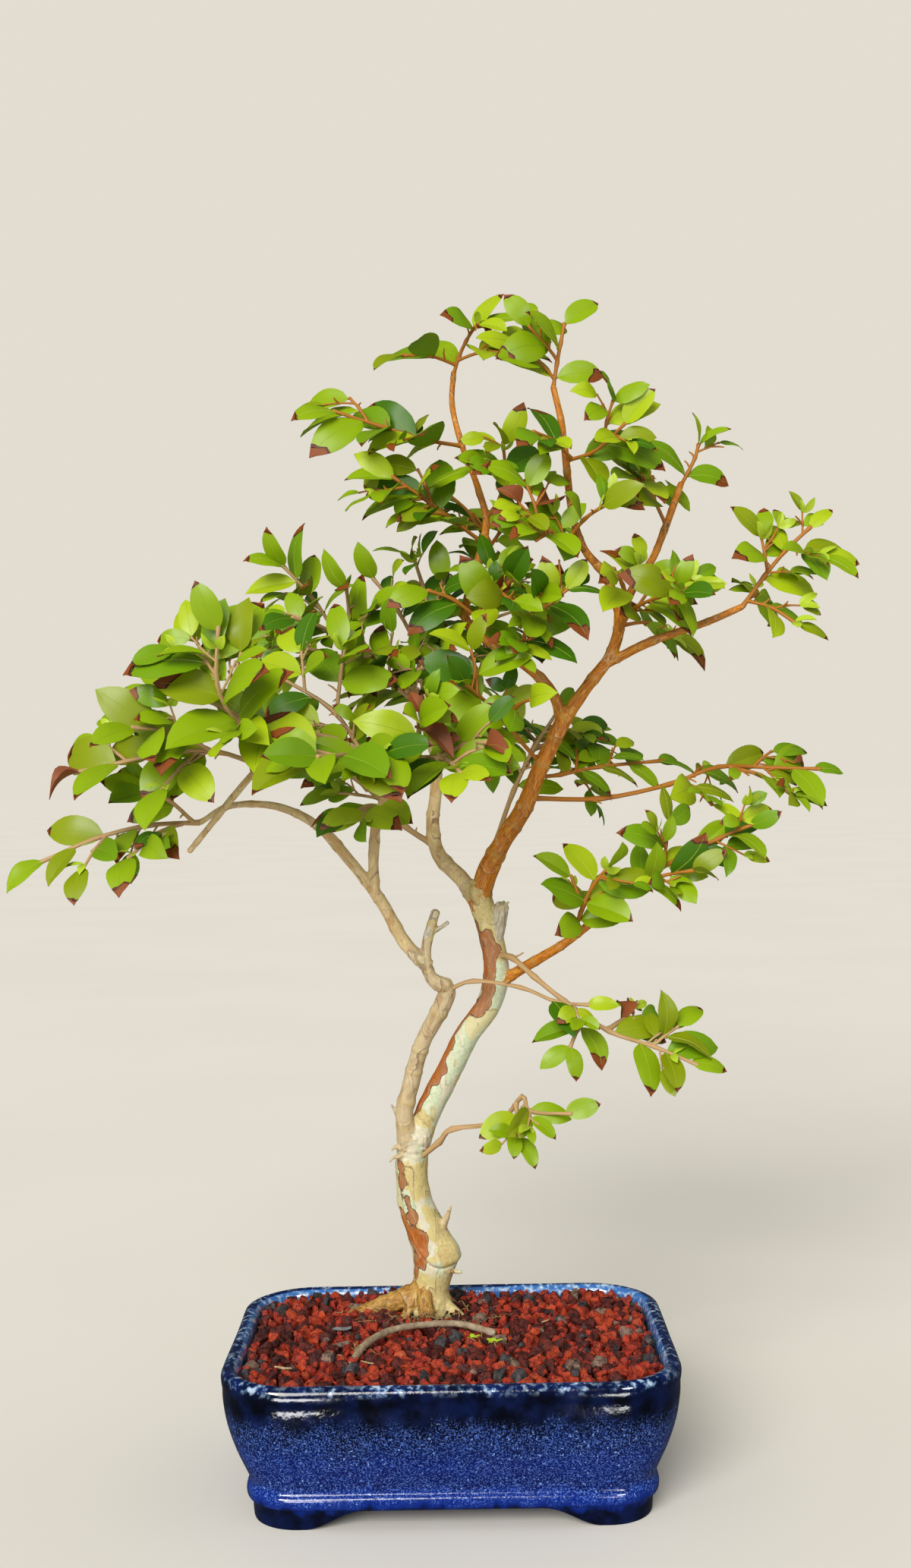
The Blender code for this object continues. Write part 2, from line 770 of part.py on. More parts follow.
def spread(values, count):
    """The values read at so many even places."""
    read = []
    for i in range(count):
        place = i / max(count - 1, 1) * (len(values) - 1)
        low = min(int(place), len(values) - 2)
        read.append(values[low] + (values[low + 1] - values[low]) * (place - low))
    return read


def tangents(path):
    return [(path[min(i + 1, len(path) - 1)] - path[max(i - 1, 0)]).normalized() for i in range(len(path))]


def tube_rings(path, radii, sides):
    """Rings round a path that don't twist along it."""
    rings = []
    side = None
    for point, along, radius in zip(path, tangents(path), radii):
        if side is None:
            side = along.cross(FRONT if abs(along.y) < 0.9 else UP).normalized()
        side = (side - along * side.dot(along)).normalized()
        other = along.cross(side)
        turns = [math.tau * i / sides for i in range(sides)]
        rings.append([point + radius * (math.cos(a) * side + math.sin(a) * other) for a in turns])
    return rings


def tube(path, radii, sides, round_tip=False):
    """A tapering limb as a bmesh. A round tip adds two shrinking rings past its end."""
    if round_tip:
        along, radius = tangents(path)[-1], radii[-1]
        path = [*path, path[-1] + along * radius * 0.45, path[-1] + along * radius * 0.7]
        radii = [*radii, radius * 0.8, radius * 0.4]
    bm = bmesh.new()
    loft(bm, tube_rings(path, radii, sides))
    return bm


def tree_of(objects, grow=0.0):
    """A search tree over objects, optionally pushed out along their normals."""
    bm = bmesh.new()
    for obj in objects:
        bm.from_mesh(obj.data)
    if grow:
        bm.normal_update()
        for vert in bm.verts:
            vert.co += vert.normal * grow
    tree = BVHTree.FromBMesh(bm)
    bm.free()
    return tree


# Pot and soil


def rounded_ring(inset, height):
    """A rounded rectangle that lies so far inside the pot's widest line."""
    half = Vector((POT_WIDTH / 2 - inset, POT_DEPTH / 2 - inset))
    radius = max(POT_CORNER - inset, 0.004)
    ring = []
    for corner in range(4):
        centre = Vector((half.x - radius, half.y - radius))
        signs = ((1, 1), (-1, 1), (-1, -1), (1, -1))[corner]
        for step in range(CORNER_STEPS + 1):
            turn = math.pi / 2 * (corner + step / CORNER_STEPS)
            ring.append(
                Vector(
                    (
                        signs[0] * centre.x + radius * math.cos(turn),
                        signs[1] * centre.y + radius * math.sin(turn),
                        height,
                    )
                )
            )
    return ring


def arch_cutter(name, flat, rise, length, along_x):
    """A bar whose section is the opening between two bracket feet, with a curved shoulder on each side."""
    below = -0.004
    shoulder = []
    for step in range(6):
        t = step / 5
        shoulder.append((flat + (rise - flat) * t, FOOT_HEIGHT * (1 - math.cos(math.pi * t)) / 2))
    outline = [(flat, below), *shoulder]
    outline += [(-x, z) for x, z in reversed(outline)]
    ends = (-length, length)
    rings = [[Vector((end, x, z)) if along_x else Vector((x, end, z)) for x, z in outline] for end in ends]
    bm = bmesh.new()
    loft(bm, rings)
    return add_object(name, bm, "glaze")


def make_pot():
    """Body with a rolled lip and a base band, on four bracket feet, with two drain holes."""
    bm = bmesh.new()
    loft(bm, [rounded_ring(inset, height) for inset, height in OUTER_WALL + INNER_WALL])
    pot = add_object("pot", bm, "glaze")
    cutters = [
        arch_cutter("arch_front_back", FOOT_FLAT_X, FOOT_RISE_X, POT_DEPTH, False),
        arch_cutter("arch_sides", FOOT_FLAT_Y, FOOT_RISE_Y, POT_WIDTH, True),
    ]
    for side in (-1, 1):
        ends = [Vector((side * DRAIN_SPACING / 2, 0, height)) for height in (0, 2 * FLOOR_TOP)]
        cutters.append(add_object("drain_cutter", tube(ends, [DRAIN_RADIUS] * 2, 12), "glaze"))
    return combine(pot, cutters, "DIFFERENCE")


def soil_ring(share, height):
    rim_inset = INNER_WALL[1][0] + SOIL_INSET
    ring = rounded_ring(rim_inset, height)
    return [Vector((point.x * share, point.y * share, height)) for point in ring]


def make_soil():
    """Fills the pot clear of its wall, rises to a level top, and bears the largest stones of the grit."""
    bm = bmesh.new()
    rings = [rounded_ring(inset + SOIL_INSET, height) for inset, height in reversed(INNER_WALL[1:])]
    rings[0] = [point + Vector((0, 0, SOIL_INSET)) for point in rings[0]]
    rings.append(rounded_ring(INNER_WALL[1][0] + SOIL_INSET, SOIL_EDGE))
    heights = (SOIL_EDGE + 0.001, GROUND)
    rings += [soil_ring(share, height) for share, height in zip(SOIL_SHELVES, heights)]
    loft(bm, rings)
    soil = add_object("soil", bm, "soil")
    rng = random.Random(STONE_SEED + 1)
    stones = [add_object("stone", stone_body(*stone, rng), "soil") for stone in main_stones()]
    return combine(soil, stones, "UNION")


def inset_of(point):
    """How far a place lies inside the pot's widest line."""
    away = Vector((abs(point.x) - POT_WIDTH / 2 + POT_CORNER, abs(point.y) - POT_DEPTH / 2 + POT_CORNER))
    outside = Vector((max(away.x, 0), max(away.y, 0))).length
    return POT_CORNER - outside - min(max(away.x, away.y), 0)


def near_roots(point):
    """True where a stone would lie against the trunk's foot, a buttress or the loose root."""
    foot = Vector(TRUNK_PATH[0]).xy
    lines = [(foot, Vector(end)) for end, _ in BUTTRESSES]
    lines += [(Vector(a).xy, Vector(b).xy) for a, b in zip(SURFACE_ROOT_PATH, SURFACE_ROOT_PATH[1:])]
    for start, end in lines:
        _, share = intersect_point_line(point, start, end)
        if (start.lerp(end, min(1, max(0, share))) - point).length < STONE_ROOT_CLEARANCE:
            return True
    return False


def main_stones():
    """The largest stones on a jittered lattice: where each lies, its radius, its rise and its turn."""
    rng = random.Random(STONE_SEED)
    rows, columns = (int(size / 2 / STONE_SPACING) + 1 for size in (POT_DEPTH, POT_WIDTH))
    stones = []
    for row in range(-rows, rows + 1):
        for column in range(-columns, columns + 1):
            place = Vector((column + row % 2 / 2, row * math.sqrt(0.75))) * STONE_SPACING
            place += Vector([rng.uniform(-STONE_JITTER, STONE_JITTER) for _ in range(2)])
            shape = (rng.uniform(*STONE_RADII), rng.uniform(*STONE_RISES), rng.uniform(0, math.tau))
            if inset_of(place) > STONE_WALL_CLEARANCE and not near_roots(place):
                stones.append((place, *shape))
    return stones


def stone_body(place, radius, rise, turn, rng):
    """A blunt stone with uneven sides, sunk in the soil."""
    reaches = [radius * rng.uniform(0.82, 1.15) for _ in range(STONE_SIDES)]
    angles = [turn + math.tau * (side + rng.uniform(-0.2, 0.2)) / STONE_SIDES for side in range(STONE_SIDES)]
    rings = []
    for height, share in ((GROUND - STONE_SUNK, 1), (GROUND + rise, rng.uniform(*STONE_TOP))):
        ring = []
        for angle, reach in zip(angles, reaches):
            across = Vector((math.cos(angle), math.sin(angle))) * reach * share
            ring.append(Vector((*(place + across), height)))
        rings.append(ring)
    bm = bmesh.new()
    loft(bm, rings)
    return bm


def ground_cutter():
    """Everything below the soil's top, so that a root is cut flat where it meets the soil."""
    level = GROUND + GAP
    half = POT_WIDTH / 2
    corners = ((-half, -half), (half, -half), (half, half), (-half, half))
    bm = bmesh.new()
    loft(bm, [[Vector((x, y, z)) for x, y in corners] for z in (0.0, level)])
    return add_object("ground_cutter", bm, "soil")


# Trunk and boughs


def limb_body(limb, grow=0.0):
    path = smooth_path(limb.path, 2)
    radii = [radius + grow for radius in spread(limb.radii, len(path))]
    return tube(path, radii, limb.sides, round_tip=True)


def make_trunk():
    """The trunk with its knob, its spur and the buttress roots of its flare, cut flat at the soil."""
    limb = Limb("trunk", "", TRUNK_PATH, TRUNK_RADII, TRUNK_SIDES)
    trunk = add_object("trunk", limb_body(limb), "bark")
    foot = Vector(TRUNK_PATH[0])
    extras = []
    for (x, y), radius in BUTTRESSES:
        end = Vector((x, y, GROUND - 0.001))
        crest = foot.lerp(end, 0.45)
        crest.z = GROUND + radius * 0.35
        path = smooth_path((foot + Vector((0, 0, 0.010)), crest, end), 2)
        radii = spread((radius, radius * 0.8, 0.0016), len(path))
        extras.append(add_object("buttress", tube(path, radii, 7), "bark"))
    spur = [Vector(SPUR_ROOT), Vector(SPUR_TIP)]
    extras.append(add_object("spur", tube(spur, (SPUR_RADIUS, SPUR_RADIUS * 0.3), 6), "bark"))
    combine(trunk, extras, "UNION")
    return combine(trunk, [ground_cutter()], "DIFFERENCE")


def make_limbs(trunk):
    """Each bough, coped to sit on the skin of its parent and clear of the limbs beside it."""
    made = {"trunk": trunk}
    plans = {limb.name: limb for limb in LIMBS}
    plans["trunk"] = Limb("trunk", "", TRUNK_PATH, TRUNK_RADII, TRUNK_SIDES)
    for limb in LIMBS:
        body = add_object(limb.name, limb_body(limb), "bough")
        if limb.name == "stem_right":
            stub = [Vector(STUB_ROOT), Vector(STUB_ROOT).lerp(Vector(STUB_TIP), 0.6), Vector(STUB_TIP)]
            stub_body = tube(stub, (STUB_RADIUS, 0.0026, 0.0024), 7)
            combine(body, [add_object("stub", stub_body, "bough")], "UNION")
        nearby = (limb.parent, *limb.neighbours)
        cutters = [add_object("cope", limb_body(plans[other], GAP * 1.2), "bough") for other in nearby]
        made[limb.name] = combine(body, cutters, "DIFFERENCE")
    return made


def make_surface_root():
    path = smooth_path(SURFACE_ROOT_PATH, 2)
    root = add_object("surface_root", tube(path, spread(SURFACE_ROOT_RADII, len(path)), 6), "root")
    return combine(root, [ground_cutter()], "DIFFERENCE")


# Foliage


class Twig(NamedTuple):
    path: list
    radii: tuple
    leafy_from: float


class Leaf(NamedTuple):
    root: Vector
    along: Vector
    up: Vector
    length: float
    width: float


def light_at(point):
    """The way that a leaf's upper side turns: upwards, out of the crown, and to the front."""
    outward = point - CROWN_MIDDLE
    outward.z = 0
    if outward.length > 1e-6:
        outward.normalize()
    return (UP * LIGHT_FROM_ABOVE + outward * LIGHT_FROM_OUTSIDE + FRONT * LIGHT_FROM_FRONT).normalized()


def square_to(vector, along):
    """The part of a vector that is square to another, at unit length."""
    rest = vector - along * vector.dot(along)
    return rest.normalized() if rest.length > 1e-6 else along.orthogonal().normalized()


def read_path(path, share):
    """The point and the direction at a share of a path's points."""
    place = share * (len(path) - 1)
    low = min(int(place), len(path) - 2)
    return path[low].lerp(path[low + 1], place - low), (path[low + 1] - path[low]).normalized()


def path_length(path):
    return sum((b - a).length for a, b in zip(path, path[1:]))


def bent_path(root, tip, lift):
    """A twig's path that arches a little towards the light on its way."""
    middle = root.lerp(tip, 0.5) + lift * (tip - root).length
    return [root, middle, tip]


def side_shoots(mass, stem, rng):
    """Shoots that leave the stem on alternate sides, shorter towards its tip."""
    shoots = []
    for i in range(mass.shoots):
        share = mass.bare + (0.92 - mass.bare) * (i + rng.uniform(0.25, 0.75)) / mass.shoots
        root, along = read_path(stem.path, share)
        light = square_to(light_at(root), along)
        angle = math.radians(rng.uniform(*SHOOT_ANGLES))
        side = along.cross(light) * (1 if i % 2 else -1)
        heading = along * math.cos(angle) + side * math.sin(angle) + light * rng.uniform(-0.25, 0.35)
        reach = mass.reach * (1 - 0.35 * share) * rng.uniform(0.85, 1.15)
        tip = root + heading.normalized() * reach
        shoots.append(Twig(bent_path(root, tip, light * 0.06), (SHOOT_RADIUS, SHOOT_RADIUS * 0.75), 0.42))
    return shoots


def leaves_on(twig, size, rng):
    """Opposite pairs of leaves along a twig, and a last pair that points on past its tip."""
    length = path_length(twig.path) * (1 - twig.leafy_from)
    pairs = max(1, round(length / LEAF_SPACING))
    leaves = []
    for pair in range(pairs + 1):
        share = twig.leafy_from + (0.97 - twig.leafy_from) * pair / pairs
        last = pair == pairs
        root, along = read_path(twig.path, share)
        for hand in (-1, 1):
            angle = math.radians(rng.uniform(*(TIP_ANGLES if last else LEAF_ANGLES)))
            light = light_at(root) + Vector([rng.uniform(-0.35, 0.35) for _ in range(3)])
            up = square_to(light, along)
            heading = along * math.cos(angle) + along.cross(up) * hand * math.sin(angle)
            heading.z = (heading.z - rng.uniform(*LEAF_DROOP)) * LEAF_LEVEL
            heading.normalize()
            length = size * rng.uniform(0.80, 1.12) * (0.80 if last else 1.0)
            width = length * rng.uniform(*LEAF_WIDTH)
            if rng.random() > MISSING_LEAVES:
                leaves.append(Leaf(root, heading, square_to(light, heading), length, width))
    return leaves


def leaf_body(leaf, grow=0.0, from_share=0.0):
    """A leaf: its root on the twig's centre line, a widest line, a keel under its base and a drooping tip."""
    side = leaf.along.cross(leaf.up) * (leaf.width / 2 + grow)

    def at(share, lift=0.0):
        return leaf.root + leaf.along * leaf.length * share + leaf.up * lift

    left, right = at(LEAF_WIDEST, grow) + side, at(LEAF_WIDEST, grow) - side
    keel = at(LEAF_KEEL, -leaf.length * LEAF_THICKNESS - grow)
    tip = at(1, -leaf.length * TIP_FALL)
    bm = bmesh.new()
    corners = (at(from_share, grow), left, right, keel, tip)
    root, left, right, keel, tip = (bm.verts.new(point) for point in corners)
    for face in ((root, left, right), (left, tip, right), (root, keel, left), (root, right, keel)):
        bm.faces.new(face)
    bm.faces.new((keel, tip, left))
    bm.faces.new((keel, right, tip))
    return bm


def twig_body(twig, grow=0.0):
    radii = [radius + grow for radius in spread(twig.radii, len(twig.path))]
    return tube(twig.path, radii, 3)


def to_tree(bm):
    bmesh.ops.triangulate(bm, faces=bm.faces)
    tree = BVHTree.FromBMesh(bm)
    bm.free()
    return tree


def stands_clear(point, tree):
    """True where a point is outside a body and at least the gap away from it."""
    place, normal, _, distance = tree.find_nearest(point)
    return distance >= GAP and (point - place).dot(normal) > 0


def trimmed_stem(mass, limb_tree):
    """The stem's path from the first place where its end stands clear of its limb's skin."""
    path = [Vector(point) for point in mass.path]
    for i, (here, there) in enumerate(zip(path, path[1:])):
        along = (there - here).normalized()
        for step in range(int((there - here).length / STEM_STEP)):
            start = here + along * STEM_STEP * step
            ring = tube_rings([start, start + along], (mass.radius, mass.radius), 3)[0]
            if all(stands_clear(point, limb_tree) for point in (start, *ring)):
                return [start, *path[i + 1 :]]
    raise ValueError(mass.name + " never leaves its limb")


class Neighbours:
    """Search trees of all that is placed, with the mass that each belongs to."""

    def __init__(self):
        self.placed = []

    def add(self, owner, tree, middle, reach):
        self.placed.append((owner, tree, middle, reach))

    def clear(self, tree, middle, reach, skip):
        """True where a body touches nothing placed, apart from the entries to skip."""
        for owner, other, other_middle, other_reach in self.placed:
            if owner in skip or (middle - other_middle).length > reach + other_reach:
                continue
            if tree.overlap(other):
                return False
        return True


def extent(path):
    middle = sum(path, Vector()) / len(path)
    return middle, max((point - middle).length for point in path) + 0.004


def grow_foliage(limbs):
    """Stems of all masses, then forks and side shoots, then leaves: each only where it touches nothing."""
    around = Neighbours()
    for name, obj in limbs.items():
        points = [vert.co for vert in obj.data.vertices]
        around.add(name, tree_of([obj]), *extent(points))
    plants = {}
    for mass in MASSES:
        limb_tree = tree_of([limbs[mass.limb]])
        stem = Twig(trimmed_stem(mass, limb_tree), (mass.radius, 0.0009), mass.bare)
        plants[mass.name] = [(mass, stem, [], [])]
        around.add((mass.name, 0), to_tree(twig_body(stem)), *extent(stem.path))
    for mass, stem, twigs, leaves in (plant[0] for plant in plants.values()):
        rng = random.Random(mass.seed)
        forks = []
        for share, tip in mass.forks:
            root, _ = read_path(stem.path, share)
            radii = (mass.radius * 0.85, SHOOT_RADIUS)
            forks.append(Twig(bent_path(root, Vector(tip), UP * 0.08), radii, 0.40))
        twigs.append(stem)
        for shoot in forks + side_shoots(mass, stem, rng):
            key = (mass.name, len(twigs))
            own = {(mass.name, n) for n in range(len(twigs))}
            if around.clear(to_tree(twig_body(shoot, CLEARANCE)), *extent(shoot.path), own):
                twigs.append(shoot)
                around.add(key, to_tree(twig_body(shoot)), *extent(shoot.path))
    for mass, stem, twigs, leaves in (plant[0] for plant in plants.values()):
        rng = random.Random(mass.seed + 1000)
        for n, twig in enumerate(twigs):
            for leaf in leaves_on(twig, mass.leaf, rng):
                middle, reach = leaf.root + leaf.along * leaf.length / 2, leaf.length / 2 + 0.002
                if around.clear(to_tree(leaf_body(leaf, CLEARANCE, 0.12)), middle, reach, {(mass.name, n)}):
                    leaves.append(leaf)
                    around.add((mass.name, "leaf"), to_tree(leaf_body(leaf, 0.0, 0.12)), middle, reach)
    return [plant[0] for plant in plants.values()]


def make_foliage(limbs):
    """One fused body for each mass."""
    for mass, stem, twigs, leaves in grow_foliage(limbs):
        body = add_object(mass.name, twig_body(stem), "leaf")
        parts = [add_object("twig", twig_body(twig), "leaf") for twig in twigs[1:]]
        parts += [add_object("leaf", leaf_body(leaf), "leaf") for leaf in leaves]
        combine(body, parts, "UNION")


def centre_on_origin():
    """Move the whole plant so that the bottom centre of its box is the origin, to the millimetre."""
    corners = [obj.matrix_world @ Vector(corner) for obj in bpy.data.objects for corner in obj.bound_box]
    low = Vector([min(corner[axis] for corner in corners) for axis in range(3)])
    high = Vector([max(corner[axis] for corner in corners) for axis in range(3)])
    middle = (low + high) / 2
    shift = Matrix.Translation((-round(middle.x, 3), -round(middle.y, 3), 0))
    for obj in bpy.data.objects:
        obj.data.transform(shift)


def main():
    clear_scene()
    make_pot()
    make_soil()
    trunk = make_trunk()
    limbs = make_limbs(trunk)
    make_surface_root()
    bpy.context.view_layer.update()
    make_foliage(limbs)
    bpy.context.view_layer.update()
    centre_on_origin()


main()
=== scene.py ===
"""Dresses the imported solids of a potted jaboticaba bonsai: glazed pot, lava grit, peeling bark, twigs and leaves.

Sizes are metres round the middle of the pot, as in the source of the solids, and a finished piece is moved to the
pot's place in the frame. The front of the tree faces -Y.
"""

import json
import logging
import math
import random
from collections.abc import Callable, Iterable, Sequence
from dataclasses import dataclass, field
from enum import Enum
from typing import Any, NamedTuple

import bmesh
import bpy
import numpy as np
from mathutils import Color, Matrix, Vector, noise
from mathutils.bvhtree import BVHTree
from mathutils.geometry import intersect_point_line

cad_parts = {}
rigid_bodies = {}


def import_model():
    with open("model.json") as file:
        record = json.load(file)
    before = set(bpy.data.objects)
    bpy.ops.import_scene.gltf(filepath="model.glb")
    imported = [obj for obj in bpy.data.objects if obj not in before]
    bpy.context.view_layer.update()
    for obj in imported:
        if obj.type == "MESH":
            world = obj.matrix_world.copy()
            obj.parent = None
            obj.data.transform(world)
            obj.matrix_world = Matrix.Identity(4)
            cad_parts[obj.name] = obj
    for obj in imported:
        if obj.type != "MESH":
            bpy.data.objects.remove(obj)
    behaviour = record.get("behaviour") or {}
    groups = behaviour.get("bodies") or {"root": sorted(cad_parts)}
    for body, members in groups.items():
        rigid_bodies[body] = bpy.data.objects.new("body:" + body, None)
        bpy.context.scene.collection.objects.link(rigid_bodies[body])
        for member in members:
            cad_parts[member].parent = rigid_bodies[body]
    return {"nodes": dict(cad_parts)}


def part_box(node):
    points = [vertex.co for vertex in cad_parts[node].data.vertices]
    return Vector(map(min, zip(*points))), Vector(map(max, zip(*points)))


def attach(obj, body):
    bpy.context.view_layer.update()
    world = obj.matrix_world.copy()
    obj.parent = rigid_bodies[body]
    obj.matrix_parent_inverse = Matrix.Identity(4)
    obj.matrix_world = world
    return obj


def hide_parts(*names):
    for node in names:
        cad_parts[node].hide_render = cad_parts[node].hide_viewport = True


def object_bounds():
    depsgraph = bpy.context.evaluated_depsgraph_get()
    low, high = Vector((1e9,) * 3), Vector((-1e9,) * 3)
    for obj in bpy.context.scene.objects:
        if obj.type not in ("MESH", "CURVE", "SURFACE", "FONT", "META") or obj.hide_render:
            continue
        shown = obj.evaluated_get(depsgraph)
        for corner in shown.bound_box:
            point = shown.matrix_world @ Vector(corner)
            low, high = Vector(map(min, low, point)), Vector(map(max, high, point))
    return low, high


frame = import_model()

log = logging.getLogger("bonsai")

CAD_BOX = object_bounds()
POT_LOW, POT_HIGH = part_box("pot")
POT_MIDDLE = Vector(((POT_LOW[0] + POT_HIGH[0]) / 2, (POT_LOW[1] + POT_HIGH[1]) / 2, 0.0))
UP = Vector((0, 0, 1))
FRONT = Vector((0, -1, 0))
GROUND = 0.0690  # top of the soil round the trunk


class Slot(Enum):
    """The record's material slots."""

    GLAZE = "glaze"
    SOIL = "soil"
    BARK = "bark"
    BOUGH = "bough_bark"
    ROOT = "root"
    FOLIAGE = "foliage"


# Node wiring


def paint(code: str) -> tuple[float, float, float, float]:
    """Reads a colour.

    Args:
        code: six hex digits, as a screen shows them.

    Returns:
        The colour in scene linear light, with full alpha.
    """
    shown = Color([int(code[i : i + 2], 16) / 255 for i in (0, 2, 4)])
    return (*shown.from_srgb_to_scene_linear(), 1.0)


class Wiring:
    """Adds and links the nodes of one material, node group or Geometry Nodes tree."""

    def __init__(self, tree: bpy.types.NodeTree) -> None:
        """Keeps the tree that is wired.

        Args:
            tree: the node tree that nodes are added to.
        """
        self.tree = tree

    def add(self, kind: str, wires: dict[str | int, Any] | None = None, **settings: Any) -> bpy.types.Node:
        """Adds a node.

        Args:
            kind: the node's type, as Blender names it.
            wires: for an input's name or number, the socket that feeds it or its own value.
            settings: properties of the node.

        Returns:
            The new node.
        """
        node = self.tree.nodes.new(kind)
        for name, value in settings.items():
            setattr(node, name, value)
        for key, value in (wires or {}).items():
            if isinstance(value, bpy.types.NodeSocket):
                self.tree.links.new(value, node.inputs[key])
            else:
                node.inputs[key].default_value = value
        return node

    def math(self, operation: str, *values: Any, clamp: bool = False) -> bpy.types.NodeSocket:
        """Adds a Math node.

        Args:
            operation: what it works out.
            values: its inputs in order, each a socket or a number.
            clamp: whether the result is held between 0 and 1.

        Returns:
            Its result.
        """
        wires = dict(enumerate(values))
        return self.add("ShaderNodeMath", wires, operation=operation, use_clamp=clamp).outputs[0]

    def span(self, value: Any, low: float, high: float, start: float = 0.0, end: float = 1.0) -> bpy.types.NodeSocket:
        """Maps a value from one range to another, held at its ends.

        Args:
            value: the socket that is read.
            low: the value that becomes start.
            high: the value that becomes end.
            start: the lowest result.
            end: the highest result.

        Returns:
            The mapped value.
        """
        wires = {"Value": value, "From Min": low, "From Max": high, "To Min": start, "To Max": end}
        return self.add("ShaderNodeMapRange", wires, interpolation_type="SMOOTHSTEP").outputs[0]

    def blend(self, factor: Any, first: Any, second: Any) -> bpy.types.NodeSocket:
        """Mixes two colours.

        Args:
            factor: how much of the second shows.
            first: a colour or a socket.
            second: a colour or a socket.

        Returns:
            The mixed colour.
        """
        return self.add("ShaderNodeMix", {0: factor, 6: first, 7: second}, data_type="RGBA").outputs[2]

    def ramp(self, factor: Any, stops: Sequence[tuple[float, str]], kind: str = "LINEAR") -> bpy.types.NodeSocket:
        """Reads a colour from a row of colours.

        Args:
            factor: where it is read, from 0 to 1.
            stops: the place and the colour code of each stop.
            kind: how the colours run into each other.

        Returns:
            The colour.
        """
        node = self.add("ShaderNodeValToRGB", {0: factor})
        node.color_ramp.interpolation = kind
        elements = node.color_ramp.elements
        while len(elements) < len(stops):
            elements.new(0.5)
        for element, (place, code) in zip(elements, stops):
            element.position = place
            element.color = paint(code)
        return node.outputs[0]

    def group(self, tree: bpy.types.NodeTree, wires: dict[str, Any]) -> bpy.types.Node:
        """Places a shared node group.

        Args:
            tree: the group.
            wires: the values or sockets of its named inputs.

        Returns:
            The group's node.
        """
        node = self.tree.nodes.new(self.tree.bl_idname.replace("Tree", "Group"))
        node.node_tree = tree
        for name, value in wires.items():
            if isinstance(value, bpy.types.NodeSocket):
                self.tree.links.new(value, node.inputs[name])
            else:
                node.inputs[name].default_value = value
        return node


def open_group(name: str, kind: str, inputs: dict[str, tuple[str, Any]], outputs: dict[str, str]) -> Wiring:
    """Starts a node group with named inputs and outputs.

    Args:
        name: the group's name.
        kind: its tree type.
        inputs: for each input's name, its socket type after NodeSocket and its default value.
        outputs: for each output's name, its socket type after NodeSocket.

    Returns:
        The wiring of the new group.
    """
    tree = bpy.data.node_groups.new(name, kind)
    for label, (socket, value) in inputs.items():
        made = tree.interface.new_socket(name=label, in_out="INPUT", socket_type="NodeSocket" + socket)
        if value is not None:
            made.default_value = value
    for label, socket in outputs.items():
        tree.interface.new_socket(name=label, in_out="OUTPUT", socket_type="NodeSocket" + socket)
    return Wiring(tree)


def mottle_group() -> bpy.types.NodeTree:
    """Soft blotches that several finishes share.

    Returns:
        A group that turns a position, a scale and two limits into a mask.
    """
    name = "mottle"
    if name in bpy.data.node_groups:
        return bpy.data.node_groups[name]
    inputs = {
        "Vector": ("Vector", None),
        "Scale": ("Float", 100.0),
        "Detail": ("Float", 3.0),
        "Low": ("Float", 0.4),
        "High": ("Float", 0.6),
    }
    wiring = open_group(name, "ShaderNodeTree", inputs, {"Mask": "Float"})
    given = wiring.add("NodeGroupInput").outputs
    cloud = wiring.add(
        "ShaderNodeTexNoise", {"Vector": given["Vector"], "Scale": given["Scale"], "Detail": given["Detail"]}
    )
    wires = {"Value": cloud.outputs[0], "From Min": given["Low"], "From Max": given["High"]}
    mask = wiring.add("ShaderNodeMapRange", wires, interpolation_type="SMOOTHSTEP")
    wiring.add("NodeGroupOutput", {"Mask": mask.outputs[0]})
    return wiring.tree


def pitted_group() -> bpy.types.NodeTree:
    """Fine pits and grains, for bark, roots, stones and soil.

    Returns:
        A group that turns a position and a scale into a height.
    """
    name = "pitted"
    if name in bpy.data.node_groups:
        return bpy.data.node_groups[name]
    inputs = {"Vector": ("Vector", None), "Scale": ("Float", 900.0), "Pits": ("Float", 0.5)}
    wiring = open_group(name, "ShaderNodeTree", inputs, {"Height": "Float"})
    given = wiring.add("NodeGroupInput").outputs
    grain = wiring.add("ShaderNodeTexNoise", {"Vector": given["Vector"], "Scale": given["Scale"], "Detail": 4.0})
    cells = wiring.add("ShaderNodeTexVoronoi", {"Vector": given["Vector"], "Scale": given["Scale"]})
    pits = wiring.math("MULTIPLY", wiring.span(cells.outputs["Distance"], 0.0, 0.5), given["Pits"])
    wiring.add("NodeGroupOutput", {"Height": wiring.math("ADD", grain.outputs[0], pits)})
    return wiring.tree


